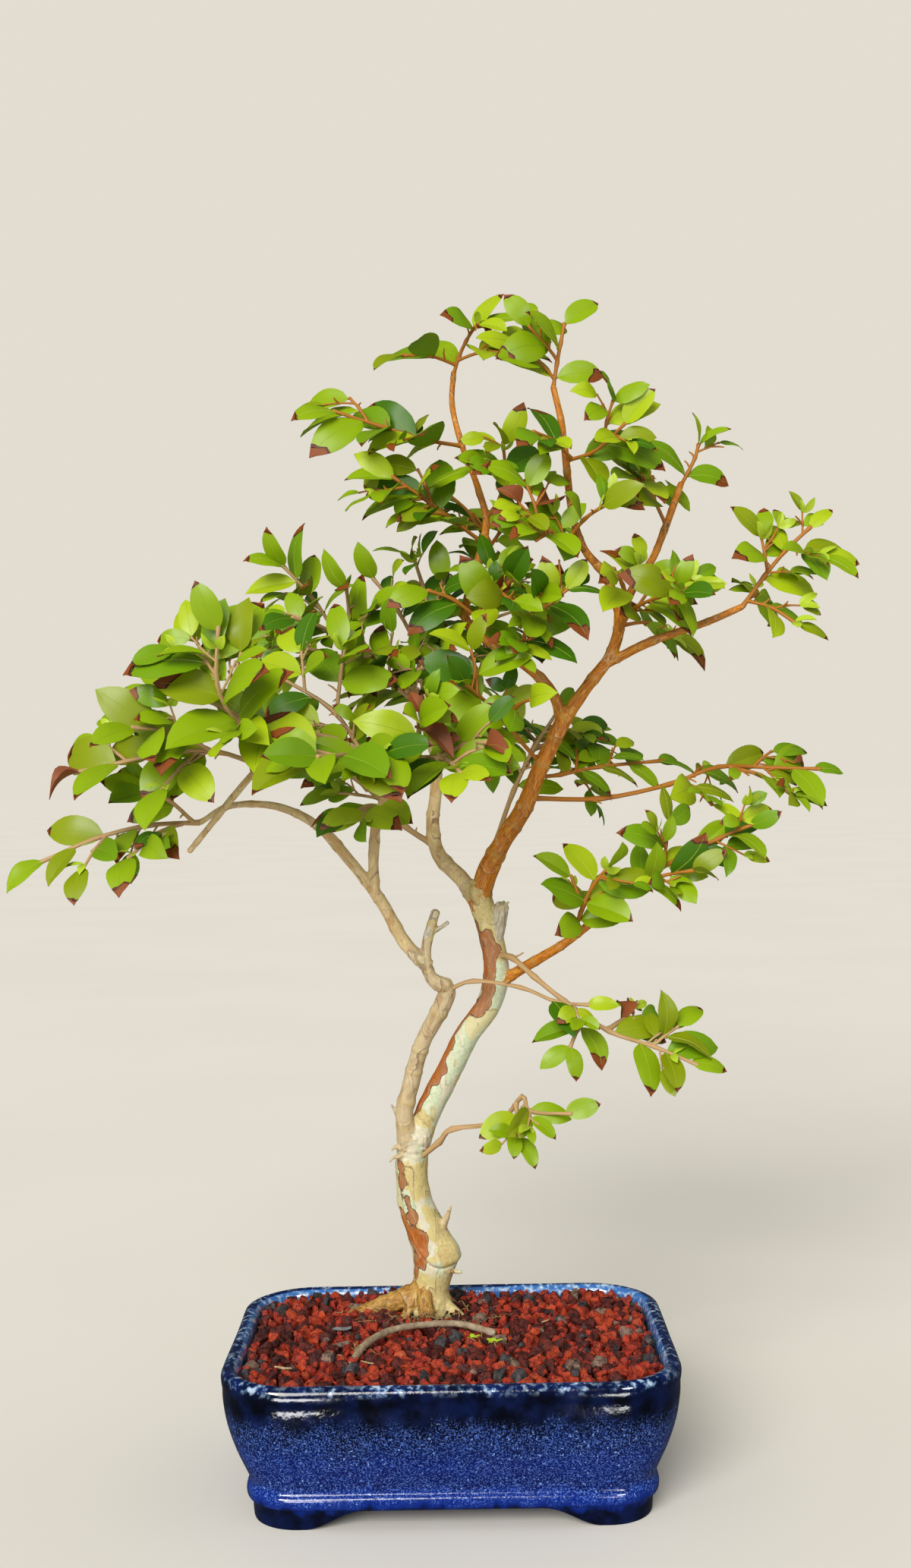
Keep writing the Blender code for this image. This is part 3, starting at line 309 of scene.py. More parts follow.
def flake_group() -> bpy.types.NodeTree:
    """Bark that lies in layers, each with a wavy edge that shades the one below.

    Returns:
        A group that turns a position, a scale and a number of levels into tones, a painted shadow under each flake's
        edge, a painted highlight where each level begins and a height.
    """
    name = "flakes"
    if name in bpy.data.node_groups:
        return bpy.data.node_groups[name]
    inputs = {"Vector": ("Vector", None), "Scale": ("Float", 55.0), "Levels": ("Float", 7.0)}
    outputs = {"Tone": "Float", "Line": "Float", "Rim": "Float", "Height": "Float"}
    wiring = open_group(name, "ShaderNodeTree", inputs, outputs)
    given = wiring.add("NodeGroupInput").outputs
    tall = wiring.add("ShaderNodeMapping", {"Vector": given["Vector"], "Scale": (1.0, 1.0, 0.45)}).outputs[0]
    wires = {"Vector": tall, "Scale": given["Scale"], "Detail": 1.6, "Roughness": 0.45, "Distortion": 0.8}
    broad = wiring.add("ShaderNodeTexNoise", wires).outputs[0]
    wires = {"Vector": given["Vector"], "Scale": wiring.math("MULTIPLY", given["Scale"], 11.0), "Detail": 3.0}
    ragged = wiring.math("MULTIPLY_ADD", wiring.add("ShaderNodeTexNoise", wires).outputs[0], 0.30, -0.15)
    value = wiring.math("MULTIPLY_ADD", broad, given["Levels"], ragged)
    part, level = wiring.math("FRACT", value), wiring.math("FLOOR", value)
    made = {
        "Tone": wiring.math("FRACT", wiring.math("MULTIPLY_ADD", level, 0.381, 0.13)),
        # Painted shadow: each level darkens up to the edge of the flake above it. Painted highlight: each level starts
        # light just past that edge.
        "Line": wiring.span(part, 0.80, 0.97),
        "Rim": wiring.span(part, 0.0, 0.12, 1.0, 0.0),
        "Height": wiring.math("ADD", level, wiring.span(part, 0.92, 1.0)),
    }
    wiring.add("NodeGroupOutput", made)
    return wiring.tree


# Finishes


@dataclass(frozen=True)
class Finish:
    """What every finish shares: a name, a roughness and a Principled BSDF to wire."""

    name: str

    def material(self) -> bpy.types.Material:
        """Makes the material once.

        Returns:
            The material of this finish.
        """
        if self.name in bpy.data.materials:
            return bpy.data.materials[self.name]
        made = bpy.data.materials.new(self.name)
        made.use_nodes = True
        wiring = Wiring(made.node_tree)
        shader = made.node_tree.nodes["Principled BSDF"]
        where = wiring.add("ShaderNodeTexCoord").outputs["Object"]
        self.wire(wiring, shader, where)
        return made

    def wire(self, wiring: Wiring, shader: bpy.types.Node, where: bpy.types.NodeSocket) -> None:
        """Wires the shader. Each kind of finish has its own way.

        Args:
            wiring: the material's wiring.
            shader: its Principled BSDF.
            where: the position on the piece.
        """
        raise NotImplementedError

    @staticmethod
    def bump(wiring: Wiring, shader: bpy.types.Node, height: bpy.types.NodeSocket, depth: float) -> None:
        """Feeds a height to the shader's normal.

        Args:
            wiring: the material's wiring.
            shader: its Principled BSDF.
            height: the height that is read.
            depth: how far the relief stands, in metres.
        """
        node = wiring.add("ShaderNodeBump", {"Height": height, "Distance": depth, "Strength": 1.0})
        wiring.tree.links.new(node.outputs[0], shader.inputs["Normal"])


@dataclass(frozen=True)
class Glaze(Finish):
    """Cobalt glaze: a painted dark reflection under the lip, speckled on the wall, pale where it breaks over the rim.
    """

    full_height: float = 0.072

    def wire(self, wiring: Wiring, shader: bpy.types.Node, where: bpy.types.NodeSocket) -> None:
        """Wires height bands with the painted dark reflection under the lip, speckles and the pale rim.

        Args:
            wiring: the material's wiring.
            shader: its Principled BSDF.
            where: the position on the piece.
        """
        mottle = mottle_group()
        split = wiring.add("ShaderNodeSeparateXYZ", {0: where})
        runs = wiring.add("ShaderNodeMapping", {"Vector": where, "Scale": (1.0, 1.0, 0.22)}).outputs[0]
        drip = wiring.add("ShaderNodeTexNoise", {"Vector": runs, "Scale": 130.0, "Detail": 4.0}).outputs[0]
        sway = wiring.math("MULTIPLY_ADD", drip, 0.016, -0.008)
        height = wiring.math("ADD", split.outputs["Z"], sway)
        band = wiring.span(height, 0.0, self.full_height)
        band.node.interpolation_type = "LINEAR"
        # The stops from 0.70 to 0.95 paint the upper wall near black: a painted dark reflection under the lip.
        body = wiring.ramp(
            band,
            (
                (0.00, "050718"),
                (0.11, "05081c"),
                (0.15, "0a2478"),
                (0.22, "0a2478"),
                (0.28, "081450"),
                (0.44, "08155c"),
                (0.58, "051038"),
                (0.70, "020414"),
                (0.88, "01020a"),
                (0.95, "03061e"),
                (1.00, "0a1a50"),
            ),
        )
        clouds = wiring.group(mottle, {"Vector": where, "Scale": 120.0, "Detail": 4.0, "Low": 0.35, "High": 0.7})
        lit = wiring.blend(wiring.math("MULTIPLY", clouds.outputs[0], 0.14), body, paint("143a98"))
        mid = wiring.math(
            "MULTIPLY", wiring.span(height, 0.010, 0.016), wiring.span(height, 0.046, 0.058, 1.0, 0.0)
        )
        dots = wiring.group(mottle, {"Vector": where, "Scale": 1300.0, "Detail": 8.0, "Low": 0.50, "High": 0.60})
        low_band = wiring.span(height, 0.018, 0.024, 1.0, 0.0)
        amount = wiring.math("MULTIPLY", mid, wiring.math("MULTIPLY_ADD", low_band, 0.15, 0.62))
        speckled = wiring.blend(wiring.math("MULTIPLY", dots.outputs[0], amount), lit, paint("5072ce"))
        specks = wiring.group(mottle, {"Vector": where, "Scale": 720.0, "Detail": 6.0, "Low": 0.62, "High": 0.70})
        speckled = wiring.blend(wiring.math("MULTIPLY", specks.outputs[0], mid), speckled, paint("7ea0e2"))
        upper = wiring.span(split.outputs["Z"], 0.0655, 0.0695)
        inside = wiring.add("ShaderNodeAttribute", attribute_name="inside").outputs["Fac"]
        breaks = wiring.group(mottle, {"Vector": where, "Scale": 330.0, "Detail": 8.0, "Low": 0.44, "High": 0.66})
        runs = wiring.group(mottle, {"Vector": where, "Scale": 45.0, "Detail": 3.0, "Low": 0.36, "High": 0.60})
        broken = wiring.math("MULTIPLY", breaks.outputs[0], wiring.span(runs.outputs[0], 0.0, 1.0, 0.25, 1.0))
        edge = wiring.math("MAXIMUM", wiring.math("MULTIPLY", upper, broken), wiring.math("MULTIPLY", inside, 0.9))
        pale = wiring.ramp(breaks.outputs[0], ((0.0, "2050a0"), (0.5, "6690c4"), (1.0, "b8cce4")))
        wash = wiring.ramp(breaks.outputs[0], ((0.0, "3c74c4"), (0.5, "7aa6e0"), (1.0, "c2d8f2")))
        pale = wiring.blend(inside, pale, wash)
        wiring.tree.links.new(wiring.blend(edge, speckled, pale), shader.inputs["Base Color"])
        smear = wiring.group(mottle, {"Vector": where, "Scale": 60.0, "Detail": 3.0, "Low": 0.3, "High": 0.8})
        gloss = wiring.span(smear.outputs[0], 0.0, 1.0, 0.10, 0.22)
        wiring.tree.links.new(gloss, shader.inputs["Roughness"])
        shader.inputs["Specular IOR Level"].default_value = 0.5
        shader.inputs["Coat Weight"].default_value = 0.3
        shader.inputs["Coat Roughness"].default_value = 0.04
        peel = wiring.add("ShaderNodeTexNoise", {"Vector": where, "Scale": 260.0, "Detail": 2.0}).outputs[0]
        self.bump(wiring, shader, peel, 0.0002)


@dataclass(frozen=True)
class Mineral(Finish):
    """Crushed lava and other loose stones: a porous skin in two tones."""

    light: str
    dark: str
    dust: str
    scale: float = 420.0
    rough: tuple[float, float] = (0.50, 0.85)
    relief: float = 0.0006

    def wire(self, wiring: Wiring, shader: bpy.types.Node, where: bpy.types.NodeSocket) -> None:
        """Wires blotches, dust and pores.

        Args:
            wiring: the material's wiring.
            shader: its Principled BSDF.
            where: the position on the piece.
        """
        mottle = mottle_group()
        patch = wiring.group(mottle, {"Vector": where, "Scale": self.scale, "Detail": 5.0, "Low": 0.3, "High": 0.7})
        dusty = wiring.group(
            mottle, {"Vector": where, "Scale": self.scale * 0.45, "Detail": 3.0, "Low": 0.55, "High": 0.8}
        )
        base = wiring.blend(patch.outputs[0], paint(self.dark), paint(self.light))
        top = wiring.blend(wiring.math("MULTIPLY", dusty.outputs[0], 0.7), base, paint(self.dust))
        wiring.tree.links.new(top, shader.inputs["Base Color"])
        wiring.tree.links.new(wiring.span(patch.outputs[0], 0.0, 1.0, *self.rough), shader.inputs["Roughness"])
        pores = wiring.group(pitted_group(), {"Vector": where, "Scale": self.scale * 3.0, "Pits": 0.8})
        self.bump(wiring, shader, pores.outputs[0], self.relief)
        shader.inputs["Specular IOR Level"].default_value = 0.35


@dataclass(frozen=True)
class BarkFinish(Finish):
    """Smooth bark that flakes in layers. The mesh says which bark lies where, where it has peeled and how it runs."""

    cream: tuple[str, ...] = ("c4b06a", "d6c994", "b89f54", "d0be7e", "cac284", "bc965e")
    mint: tuple[str, ...] = ("b9cba4", "d6dcc4", "a9bf92", "d9d2c6", "c4c684", "dccdb0")
    tan: tuple[str, ...] = ("9a7f5e", "b59e79", "c5b38e", "ac906b", "cebe9a", "ba9467")
    orange: tuple[str, ...] = ("8c4a08", "b8680c", "d08516", "a65a0a", "dc9a2c", "be7212")
    foot: tuple[str, ...] = ("573612", "9d6f2a", "bf9243", "7b5021", "caa555", "a87e34")
    grey: tuple[str, ...] = ("8f8573", "b8b09a", "cec7b5", "a49985", "c3bca8", "9c917c")
    # dark brown of the painted shadow under flake edges, of the specks and of the outline of peeled strips
    line: str = "5a3518"
    # pale cream of the painted highlight along the flake edges
    rim: str = "e6dcbc"
    peeled: tuple[str, ...] = ("bb9268", "9c643a", "b4875c", "883c0e", "b4681e", "98500f")

    @staticmethod
    def evenly(codes: Sequence[str]) -> tuple[tuple[float, str], ...]:
        """Args: codes: colours. Returns: them as even stops of a ramp."""
        return tuple((i / (len(codes) - 1), code) for i, code in enumerate(codes))

    def wire(self, wiring: Wiring, shader: bpy.types.Node, where: bpy.types.NodeSocket) -> None:
        """Wires the barks of each zone, their flakes with a painted shadow and a painted highlight at each flake's
        edge, the peeled strips and the relief.

        Args:
            wiring: the material's wiring.
            shader: its Principled BSDF.
            where: the position on the piece.
        """
        names = ("peel", "tan", "orange", "foot", "grey", "node", "flow")
        read = {name: wiring.add("ShaderNodeAttribute", attribute_name=name).outputs for name in names}
        flow = read["flow"]["Vector"]
        fine = wiring.add("ShaderNodeTexNoise", {"Vector": where, "Scale": 700.0, "Detail": 4.0}).outputs[0]
        jitter = wiring.math("SUBTRACT", fine, 0.5)
        flakes = wiring.group(flake_group(), {"Vector": where, "Scale": 46.0, "Levels": 8.0}).outputs
        scales = wiring.group(flake_group(), {"Vector": flow, "Scale": 150.0, "Levels": 7.0}).outputs
        lengthwise = wiring.add("ShaderNodeMapping", {"Vector": flow, "Scale": (1.0, 1.0, 0.16)}).outputs[0]
        fibre = wiring.add("ShaderNodeTexNoise", {"Vector": lengthwise, "Scale": 640.0, "Detail": 4.0}).outputs[0]
        height = wiring.add("ShaderNodeSeparateXYZ", {0: where}).outputs["Z"]
        cloud = wiring.add("ShaderNodeTexNoise", {"Vector": where, "Scale": 24.0, "Detail": 2.0}).outputs[0]
        stem = wiring.math("MULTIPLY", wiring.span(height, 0.14, 0.18), wiring.span(height, 0.23, 0.25, 1.0, 0.0))
        drift = wiring.add("ShaderNodeTexNoise", {"Vector": where, "Scale": 44.0, "Detail": 2.0}).outputs[0]
        minty = wiring.span(wiring.math("MULTIPLY_ADD", stem, 0.10, drift), 0.50, 0.53)
        trunk = wiring.math("MULTIPLY", wiring.span(height, 0.086, 0.094), wiring.span(height, 0.252, 0.258, 1.0, 0.0))
        minty = wiring.math("MULTIPLY", minty, trunk)
        tone = wiring.math("MULTIPLY_ADD", jitter, 0.35, flakes["Tone"])
        bark = wiring.blend(minty, *(wiring.ramp(tone, self.evenly(codes)) for codes in (self.cream, self.mint)))
        streaked = wiring.math("MULTIPLY_ADD", scales["Tone"], 0.50, wiring.span(fibre, 0.3, 0.7, 0.0, 0.50))
        smooth = wiring.math("MULTIPLY_ADD", scales["Tone"], 0.60, wiring.span(fibre, 0.2, 0.8, 0.10, 0.34))
        lobes = wiring.add("ShaderNodeTexNoise", {"Vector": where, "Scale": 190.0, "Detail": 2.0}).outputs[0]
        uneven = wiring.math("MULTIPLY_ADD", jitter, 0.4, wiring.math("MULTIPLY_ADD", lobes, 1.1, -0.55))
        barks = {
            "tan": (smooth, self.tan),
            "orange": (streaked, self.orange),
            "grey": (streaked, self.grey),
            "foot": (streaked, self.foot),
        }
        for zone, (run, codes) in barks.items():
            share = wiring.span(wiring.math("ADD", uneven, read[zone]["Fac"]), 0.42, 0.58)
            bark = wiring.blend(share, bark, wiring.ramp(run, self.evenly(codes)))
        # Painted highlight where each flake level begins.
        bark = wiring.blend(wiring.math("MULTIPLY", flakes["Rim"], 0.30), bark, paint(self.rim))
        faint = wiring.span(cloud, 0.40, 0.60, 0.10, 0.60)
        # Painted shadow under the edge of each flake and scale, faded in clouds.
        lines = wiring.math("MAXIMUM", flakes["Line"], wiring.math("MULTIPLY", scales["Line"], 0.4))
        bark = wiring.blend(wiring.math("MULTIPLY", lines, faint), bark, paint(self.line))
        specks = wiring.group(mottle_group(), {"Vector": where, "Scale": 520.0, "Low": 0.66, "High": 0.74})
        bark = wiring.blend(wiring.math("MULTIPLY", specks.outputs[0], 0.45), bark, paint(self.line))
        bark = wiring.blend(wiring.math("MULTIPLY", read["node"]["Fac"], 0.30), bark, paint(self.cream[2]))
        peel = wiring.math("MULTIPLY_ADD", jitter, 0.24, read["peel"]["Fac"])
        bare = wiring.span(peel, 0.49, 0.51)
        deep = wiring.span(wiring.math("MULTIPLY_ADD", scales["Tone"], 0.22, peel), 0.80, 0.86)
        light, brown = (
            wiring.ramp(streaked, self.evenly(codes)) for codes in (self.peeled[:3], self.peeled[3:])
        )
        bark = wiring.blend(bare, bark, wiring.blend(deep, light, brown))
        off = wiring.math("ABSOLUTE", wiring.math("SUBTRACT", peel, 0.5))
        bark = wiring.blend(wiring.span(off, 0.01, 0.07, 0.75, 0.0), bark, paint(self.line))
        wiring.tree.links.new(bark, shader.inputs["Base Color"])
        wiring.tree.links.new(wiring.span(fine, 0.3, 0.7, 0.48, 0.72), shader.inputs["Roughness"])
        pits = wiring.group(pitted_group(), {"Vector": where, "Scale": 1100.0, "Pits": 0.35}).outputs[0]
        steps = wiring.math("MULTIPLY_ADD", flakes["Height"], 0.10, wiring.math("MULTIPLY", pits, 0.12))
        woody = wiring.math("MULTIPLY_ADD", read["tan"]["Fac"], -0.07, 0.14)
        strands = wiring.math("MULTIPLY_ADD", fibre, woody, steps)
        self.bump(wiring, shader, wiring.math("MULTIPLY_ADD", bare, -0.25, strands), 0.001)
        shader.inputs["Specular IOR Level"].default_value = 0.3


@dataclass(frozen=True)
class LeafFinish(Finish):
    """One plain tone of the joined foliage."""

    colour: str
    roughness: float = 0.40

    def wire(self, wiring: Wiring, shader: bpy.types.Node, where: bpy.types.NodeSocket) -> None:
        """Sets the plain values on the shader's own sockets.

        Args:
            wiring: the material's wiring.
            shader: its Principled BSDF.
            where: the position on the piece.
        """
        shader.inputs["Base Color"].default_value = paint(self.colour)
        shader.inputs["Roughness"].default_value = self.roughness
        shader.inputs["Specular IOR Level"].default_value = 0.28


# Shapes


def loft(bm: bmesh.types.BMesh, rings: Sequence[Sequence[Vector]]) -> list[list[bmesh.types.BMVert]]:
    """Closes a body through rings of equal numbers of points, with a cap at each end.

    Args:
        bm: the mesh that gets the body.
        rings: the rings in order.

    Returns:
        The new vertices, ring by ring.
    """
    rows = [[bm.verts.new(point) for point in ring] for ring in rings]
    count = len(rows[0])
    for low, high in zip(rows, rows[1:]):
        for i in range(count):
            j = (i + 1) % count
            bm.faces.new((low[i], low[j], high[j], high[i]))
    bm.faces.new(rows[0][::-1])
    bm.faces.new(rows[-1])
    return rows


def smooth_path(points: Iterable[Sequence[float]], steps: int) -> list[Vector]:
    """Runs a Catmull-Rom curve through points.

    Args:
        points: the points that it passes.
        steps: how many steps each span gets.

    Returns:
        The curve's points.
    """
    points = [Vector(point) for point in points]
    ends = [2 * points[0] - points[1], *points, 2 * points[-1] - points[-2]]
    path = []
    for a, b, c, d in zip(ends, ends[1:], ends[2:], ends[3:]):
        for step in range(steps):
            t = step / steps
            path.append(
                0.5 * (2 * b + (c - a) * t + (2 * a - 5 * b + 4 * c - d) * t**2 + (3 * b - 3 * c + d - a) * t**3)
            )
    path.append(points[-1])
    return path


def spread(values: Sequence[float], count: int) -> list[float]:
    """Reads a row of values at so many even places.

    Args:
        values: the row.
        count: how many places are read.

    Returns:
        The values there.
    """
    read = []
    for i in range(count):
        place = i / max(count - 1, 1) * (len(values) - 1)
        low = min(int(place), len(values) - 2)
        read.append(values[low] + (values[low + 1] - values[low]) * (place - low))
    return read


def tangents(path: Sequence[Vector]) -> list[Vector]:
    """Args: path: a row of points. Returns: the direction of the path at each."""
    return [(path[min(i + 1, len(path) - 1)] - path[max(i - 1, 0)]).normalized() for i in range(len(path))]


def tube_rings(path: Sequence[Vector], radii: Sequence[float], sides: int) -> list[list[Vector]]:
    """Rings round a path that don't twist along it.

    Args:
        path: the middle of each ring.
        radii: the radius of each ring.
        sides: how many points a ring has.

    Returns:
        The rings.
    """
    rings = []
    side = None
    for point, along, radius in zip(path, tangents(path), radii):
        if side is None:
            side = along.cross(FRONT if abs(along.y) < 0.9 else UP).normalized()
        side = (side - along * side.dot(along)).normalized()
        other = along.cross(side)
        turns = [math.tau * i / sides for i in range(sides)]
        rings.append([point + radius * (math.cos(a) * side + math.sin(a) * other) for a in turns])
    return rings


def add_tube(
    bm: bmesh.types.BMesh, path: Sequence[Vector], radii: Sequence[float], sides: int, round_tip: bool = True
) -> None:
    """Adds a closed tapering tube.

    Args:
        bm: the mesh that gets it.
        path: its middle line.
        radii: its radius at each point of the path.
        sides: how many sides it has.
        round_tip: whether two shrinking rings close its end.
    """
    path, radii = list(path), list(radii)
    if round_tip:
        along, radius = tangents(path)[-1], radii[-1]
        path += [path[-1] + along * radius * 0.45, path[-1] + along * radius * 0.7]
        radii += [radius * 0.8, radius * 0.4]
    loft(bm, tube_rings(path, radii, sides))


def solid(name: str, bm: bmesh.types.BMesh) -> bpy.types.Mesh:
    """Turns a bmesh into a mesh that faces outwards.

    Args:
        name: the mesh's name.
        bm: the bmesh, which is freed.

    Returns:
        The mesh.
    """
    bmesh.ops.recalc_face_normals(bm, faces=bm.faces)
    mesh = bpy.data.meshes.new(name)
    bm.to_mesh(mesh)
    bm.free()
    return mesh


def carrier(name: str, mesh: bpy.types.Mesh) -> bpy.types.Object:
    """Makes an object of the scene that holds a mesh.

    Args:
        name: its name.
        mesh: what it holds.

    Returns:
        The object.
    """
    made = bpy.data.objects.new(name, mesh)
    bpy.context.scene.collection.objects.link(made)
    return made


def evaluated_mesh(obj: bpy.types.Object) -> bpy.types.Mesh:
    """Works out an object's modifiers and drops them.

    Args:
        obj: the object, whose modifiers are removed.

    Returns:
        The plain mesh that they made.
    """
    graph = bpy.context.evaluated_depsgraph_get()
    mesh = bpy.data.meshes.new_from_object(obj.evaluated_get(graph))
    obj.modifiers.clear()
    return mesh


def finished(
    name: str, mesh: bpy.types.Mesh, finish: Finish, slot: Slot, nodes: Iterable[str] = (), crease: float = 38.0
) -> bpy.types.Object:
    """Moves a mesh to the pot's place and makes it a piece of the model.

    Args:
        name: the piece's name.
        mesh: its mesh, laid out round the middle of the pot.
        finish: its finish.
        slot: the record's slot that the finish stands for. It is not used.
        nodes: the solids that it stands for.
        crease: the angle in degrees past which an edge stays sharp.

    Returns:
        The piece.
    """
    mesh.name = name
    mesh.transform(Matrix.Translation(POT_MIDDLE))
    mesh.materials.clear()
    mesh.materials.append(finish.material())
    mesh.shade_smooth()
    mesh.set_sharp_from_angle(angle=math.radians(crease))
    piece = carrier(name, mesh)
    if nodes:
        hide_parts(*nodes)
    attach(piece, "root")
    return piece


def run_tree(obj: bpy.types.Object, tree: bpy.types.NodeTree, values: dict[str, Any]) -> bpy.types.Mesh:
    """Runs a Geometry Nodes tree on an object.

    Args:
        obj: the object that the tree starts from.
        tree: the tree.
        values: its inputs by name.

    Returns:
        The plain mesh that it made.
    """
    modifier = obj.modifiers.new("tree", "NODES")
    modifier.node_group = tree
    for item in tree.interface.items_tree:
        if item.item_type == "SOCKET" and item.in_out == "INPUT" and item.name in values:
            modifier[item.identifier] = values[item.name]
    return evaluated_mesh(obj)


def drop(*objects: bpy.types.Object) -> None:
    """Removes helpers from the file.

    Args:
        objects: the helpers.
    """
    for obj in objects:
        bpy.data.objects.remove(obj, do_unlink=True)


def kit_of(name: str, meshes: Sequence[bpy.types.Mesh]) -> bpy.types.Collection:
    """Puts prototypes in a collection, in their order.

    Args:
        name: the collection's name.
        meshes: the prototypes.

    Returns:
        The collection.
    """
    kit = bpy.data.collections.new(name)
    bpy.context.scene.collection.children.link(kit)
    for number, mesh in enumerate(meshes):
        kit.objects.link(bpy.data.objects.new(f"{name}_{number:02d}", mesh))
    return kit


def drop_kit(kit: bpy.types.Collection) -> None:
    """Removes a collection and its prototypes.

    Args:
        kit: the collection.
    """
    drop(*kit.objects)
    bpy.data.collections.remove(kit)


def scatter_tree() -> bpy.types.NodeTree:
    """Loose things dealt over a surface, no two closer than the spacing.

    Returns:
        The Geometry Nodes tree.
    """
    name = "scatter"
    if name in bpy.data.node_groups:
        return bpy.data.node_groups[name]
    inputs = {
        "Geometry": ("Geometry", None),
        "Kit": ("Collection", None),
        "Spacing": ("Float", 0.005),
        "Smallest": ("Float", 0.004),
        "Largest": ("Float", 0.006),
        "Tone From": ("Float", 0.0),
        "Tone To": ("Float", 1.0),
        "Seed": ("Int", 1),
        "Finish": ("Material", None),
    }
    wiring = open_group(name, "GeometryNodeTree", inputs, {"Geometry": "Geometry"})
    given = wiring.add("NodeGroupInput").outputs
    dealt = wiring.add(
        "GeometryNodeDistributePointsOnFaces",
        {"Mesh": given["Geometry"], "Distance Min": given["Spacing"], "Density Max": 1.0e6, "Seed": given["Seed"]},
        distribute_method="POISSON",
    )
    tone = wiring.add("FunctionNodeRandomValue", {"Seed": given["Seed"]}, data_type="FLOAT")
    below = wiring.math("LESS_THAN", tone.outputs[1], given["Tone From"])
    above = wiring.math("GREATER_THAN", tone.outputs[1], given["Tone To"])
    away = wiring.math("ADD", below, above)
    kept = wiring.add("GeometryNodeDeleteGeometry", {"Geometry": dealt.outputs["Points"], "Selection": away})
    turn = wiring.add("FunctionNodeRandomValue", {1: (math.tau,) * 3, "Seed": given["Seed"]}, data_type="FLOAT_VECTOR")
    wires = {2: given["Smallest"], 3: given["Largest"], "Seed": given["Seed"]}
    size = wiring.add("FunctionNodeRandomValue", wires, data_type="FLOAT")
    kit = wiring.add("GeometryNodeCollectionInfo", {0: given["Kit"], "Separate Children": True})
    wires = {
        "Points": kept.outputs[0],
        "Instance": kit.outputs[0],
        "Pick Instance": True,
        "Rotation": turn.outputs[0],
        "Scale": size.outputs[1],
    }
    placed = wiring.add("GeometryNodeInstanceOnPoints", wires)
    real = wiring.add("GeometryNodeRealizeInstances", {0: placed.outputs[0]})
    dressed = wiring.add("GeometryNodeSetMaterial", {0: real.outputs[0], "Material": given["Finish"]})
    wiring.add("NodeGroupOutput", {0: dressed.outputs[0]})
    return wiring.tree


def deal_tree() -> bpy.types.NodeTree:
    """Things set on given points, each with the turn, size and form that its point names.

    Returns:
        The Geometry Nodes tree.
    """
    name = "deal"
    if name in bpy.data.node_groups:
        return bpy.data.node_groups[name]
    inputs = {
        "Geometry": ("Geometry", None),
        "Kit": ("Collection", None),
        "Scale": ("Float", 1.0),
        "Finish": ("Material", None),
    }
    wiring = open_group(name, "GeometryNodeTree", inputs, {"Geometry": "Geometry"})
    given = wiring.add("NodeGroupInput").outputs
    kit = wiring.add("GeometryNodeCollectionInfo", {0: given["Kit"], "Separate Children": True})
    kinds = {"turn": "FLOAT_VECTOR", "size": "FLOAT_VECTOR", "form": "INT"}
    read = {
        label: wiring.add("GeometryNodeInputNamedAttribute", {"Name": label}, data_type=kind).outputs[0]
        for label, kind in kinds.items()
    }
    scaled = wiring.add("ShaderNodeVectorMath", {0: read["size"], "Scale": given["Scale"]}, operation="SCALE")
    wires = {
        "Points": given["Geometry"],
        "Instance": kit.outputs[0],
        "Pick Instance": True,
        "Instance Index": read["form"],
        "Rotation": read["turn"],
        "Scale": scaled.outputs[0],
    }
    placed = wiring.add("GeometryNodeInstanceOnPoints", wires)
    real = wiring.add("GeometryNodeRealizeInstances", {0: placed.outputs[0]})
    dressed = wiring.add("GeometryNodeSetMaterial", {0: real.outputs[0], "Material": given["Finish"]})
    wiring.add("NodeGroupOutput", {0: dressed.outputs[0]})
    return wiring.tree


class Dealt(NamedTuple):
    """One thing to be set on a point: where, its three axes, its size along them, and its form's number."""

    place: Vector
    axes: tuple[Vector, Vector, Vector]
    size: tuple[float, float, float]
    form: int


def deal(things: Sequence[Dealt], kit: bpy.types.Collection, finish: Finish) -> bpy.types.Mesh:
    """Sets prototypes on points by the dealing tree.

    Args:
        things: what is set, and where.
        kit: the prototypes.
        finish: the finish that they get.

    Returns:
        One joined mesh.
    """
    cloud = bpy.data.meshes.new("points")
    cloud.from_pydata([thing.place for thing in things], [], [])
    turns = [Matrix(thing.axes).transposed().to_euler("XYZ") for thing in things]
    rows = {
        "turn": ("FLOAT_VECTOR", "vector", [value for turn in turns for value in turn]),
        "size": ("FLOAT_VECTOR", "vector", [value for thing in things for value in thing.size]),
        "form": ("INT", "value", [thing.form for thing in things]),
    }
    for label, (kind, part, values) in rows.items():
        cloud.attributes.new(label, kind, "POINT").data.foreach_set(part, values)
    points = carrier("points", cloud)
    mesh = run_tree(points, deal_tree(), {"Kit": kit, "Finish": finish.material()})
    drop(points)
    return mesh


# Pot


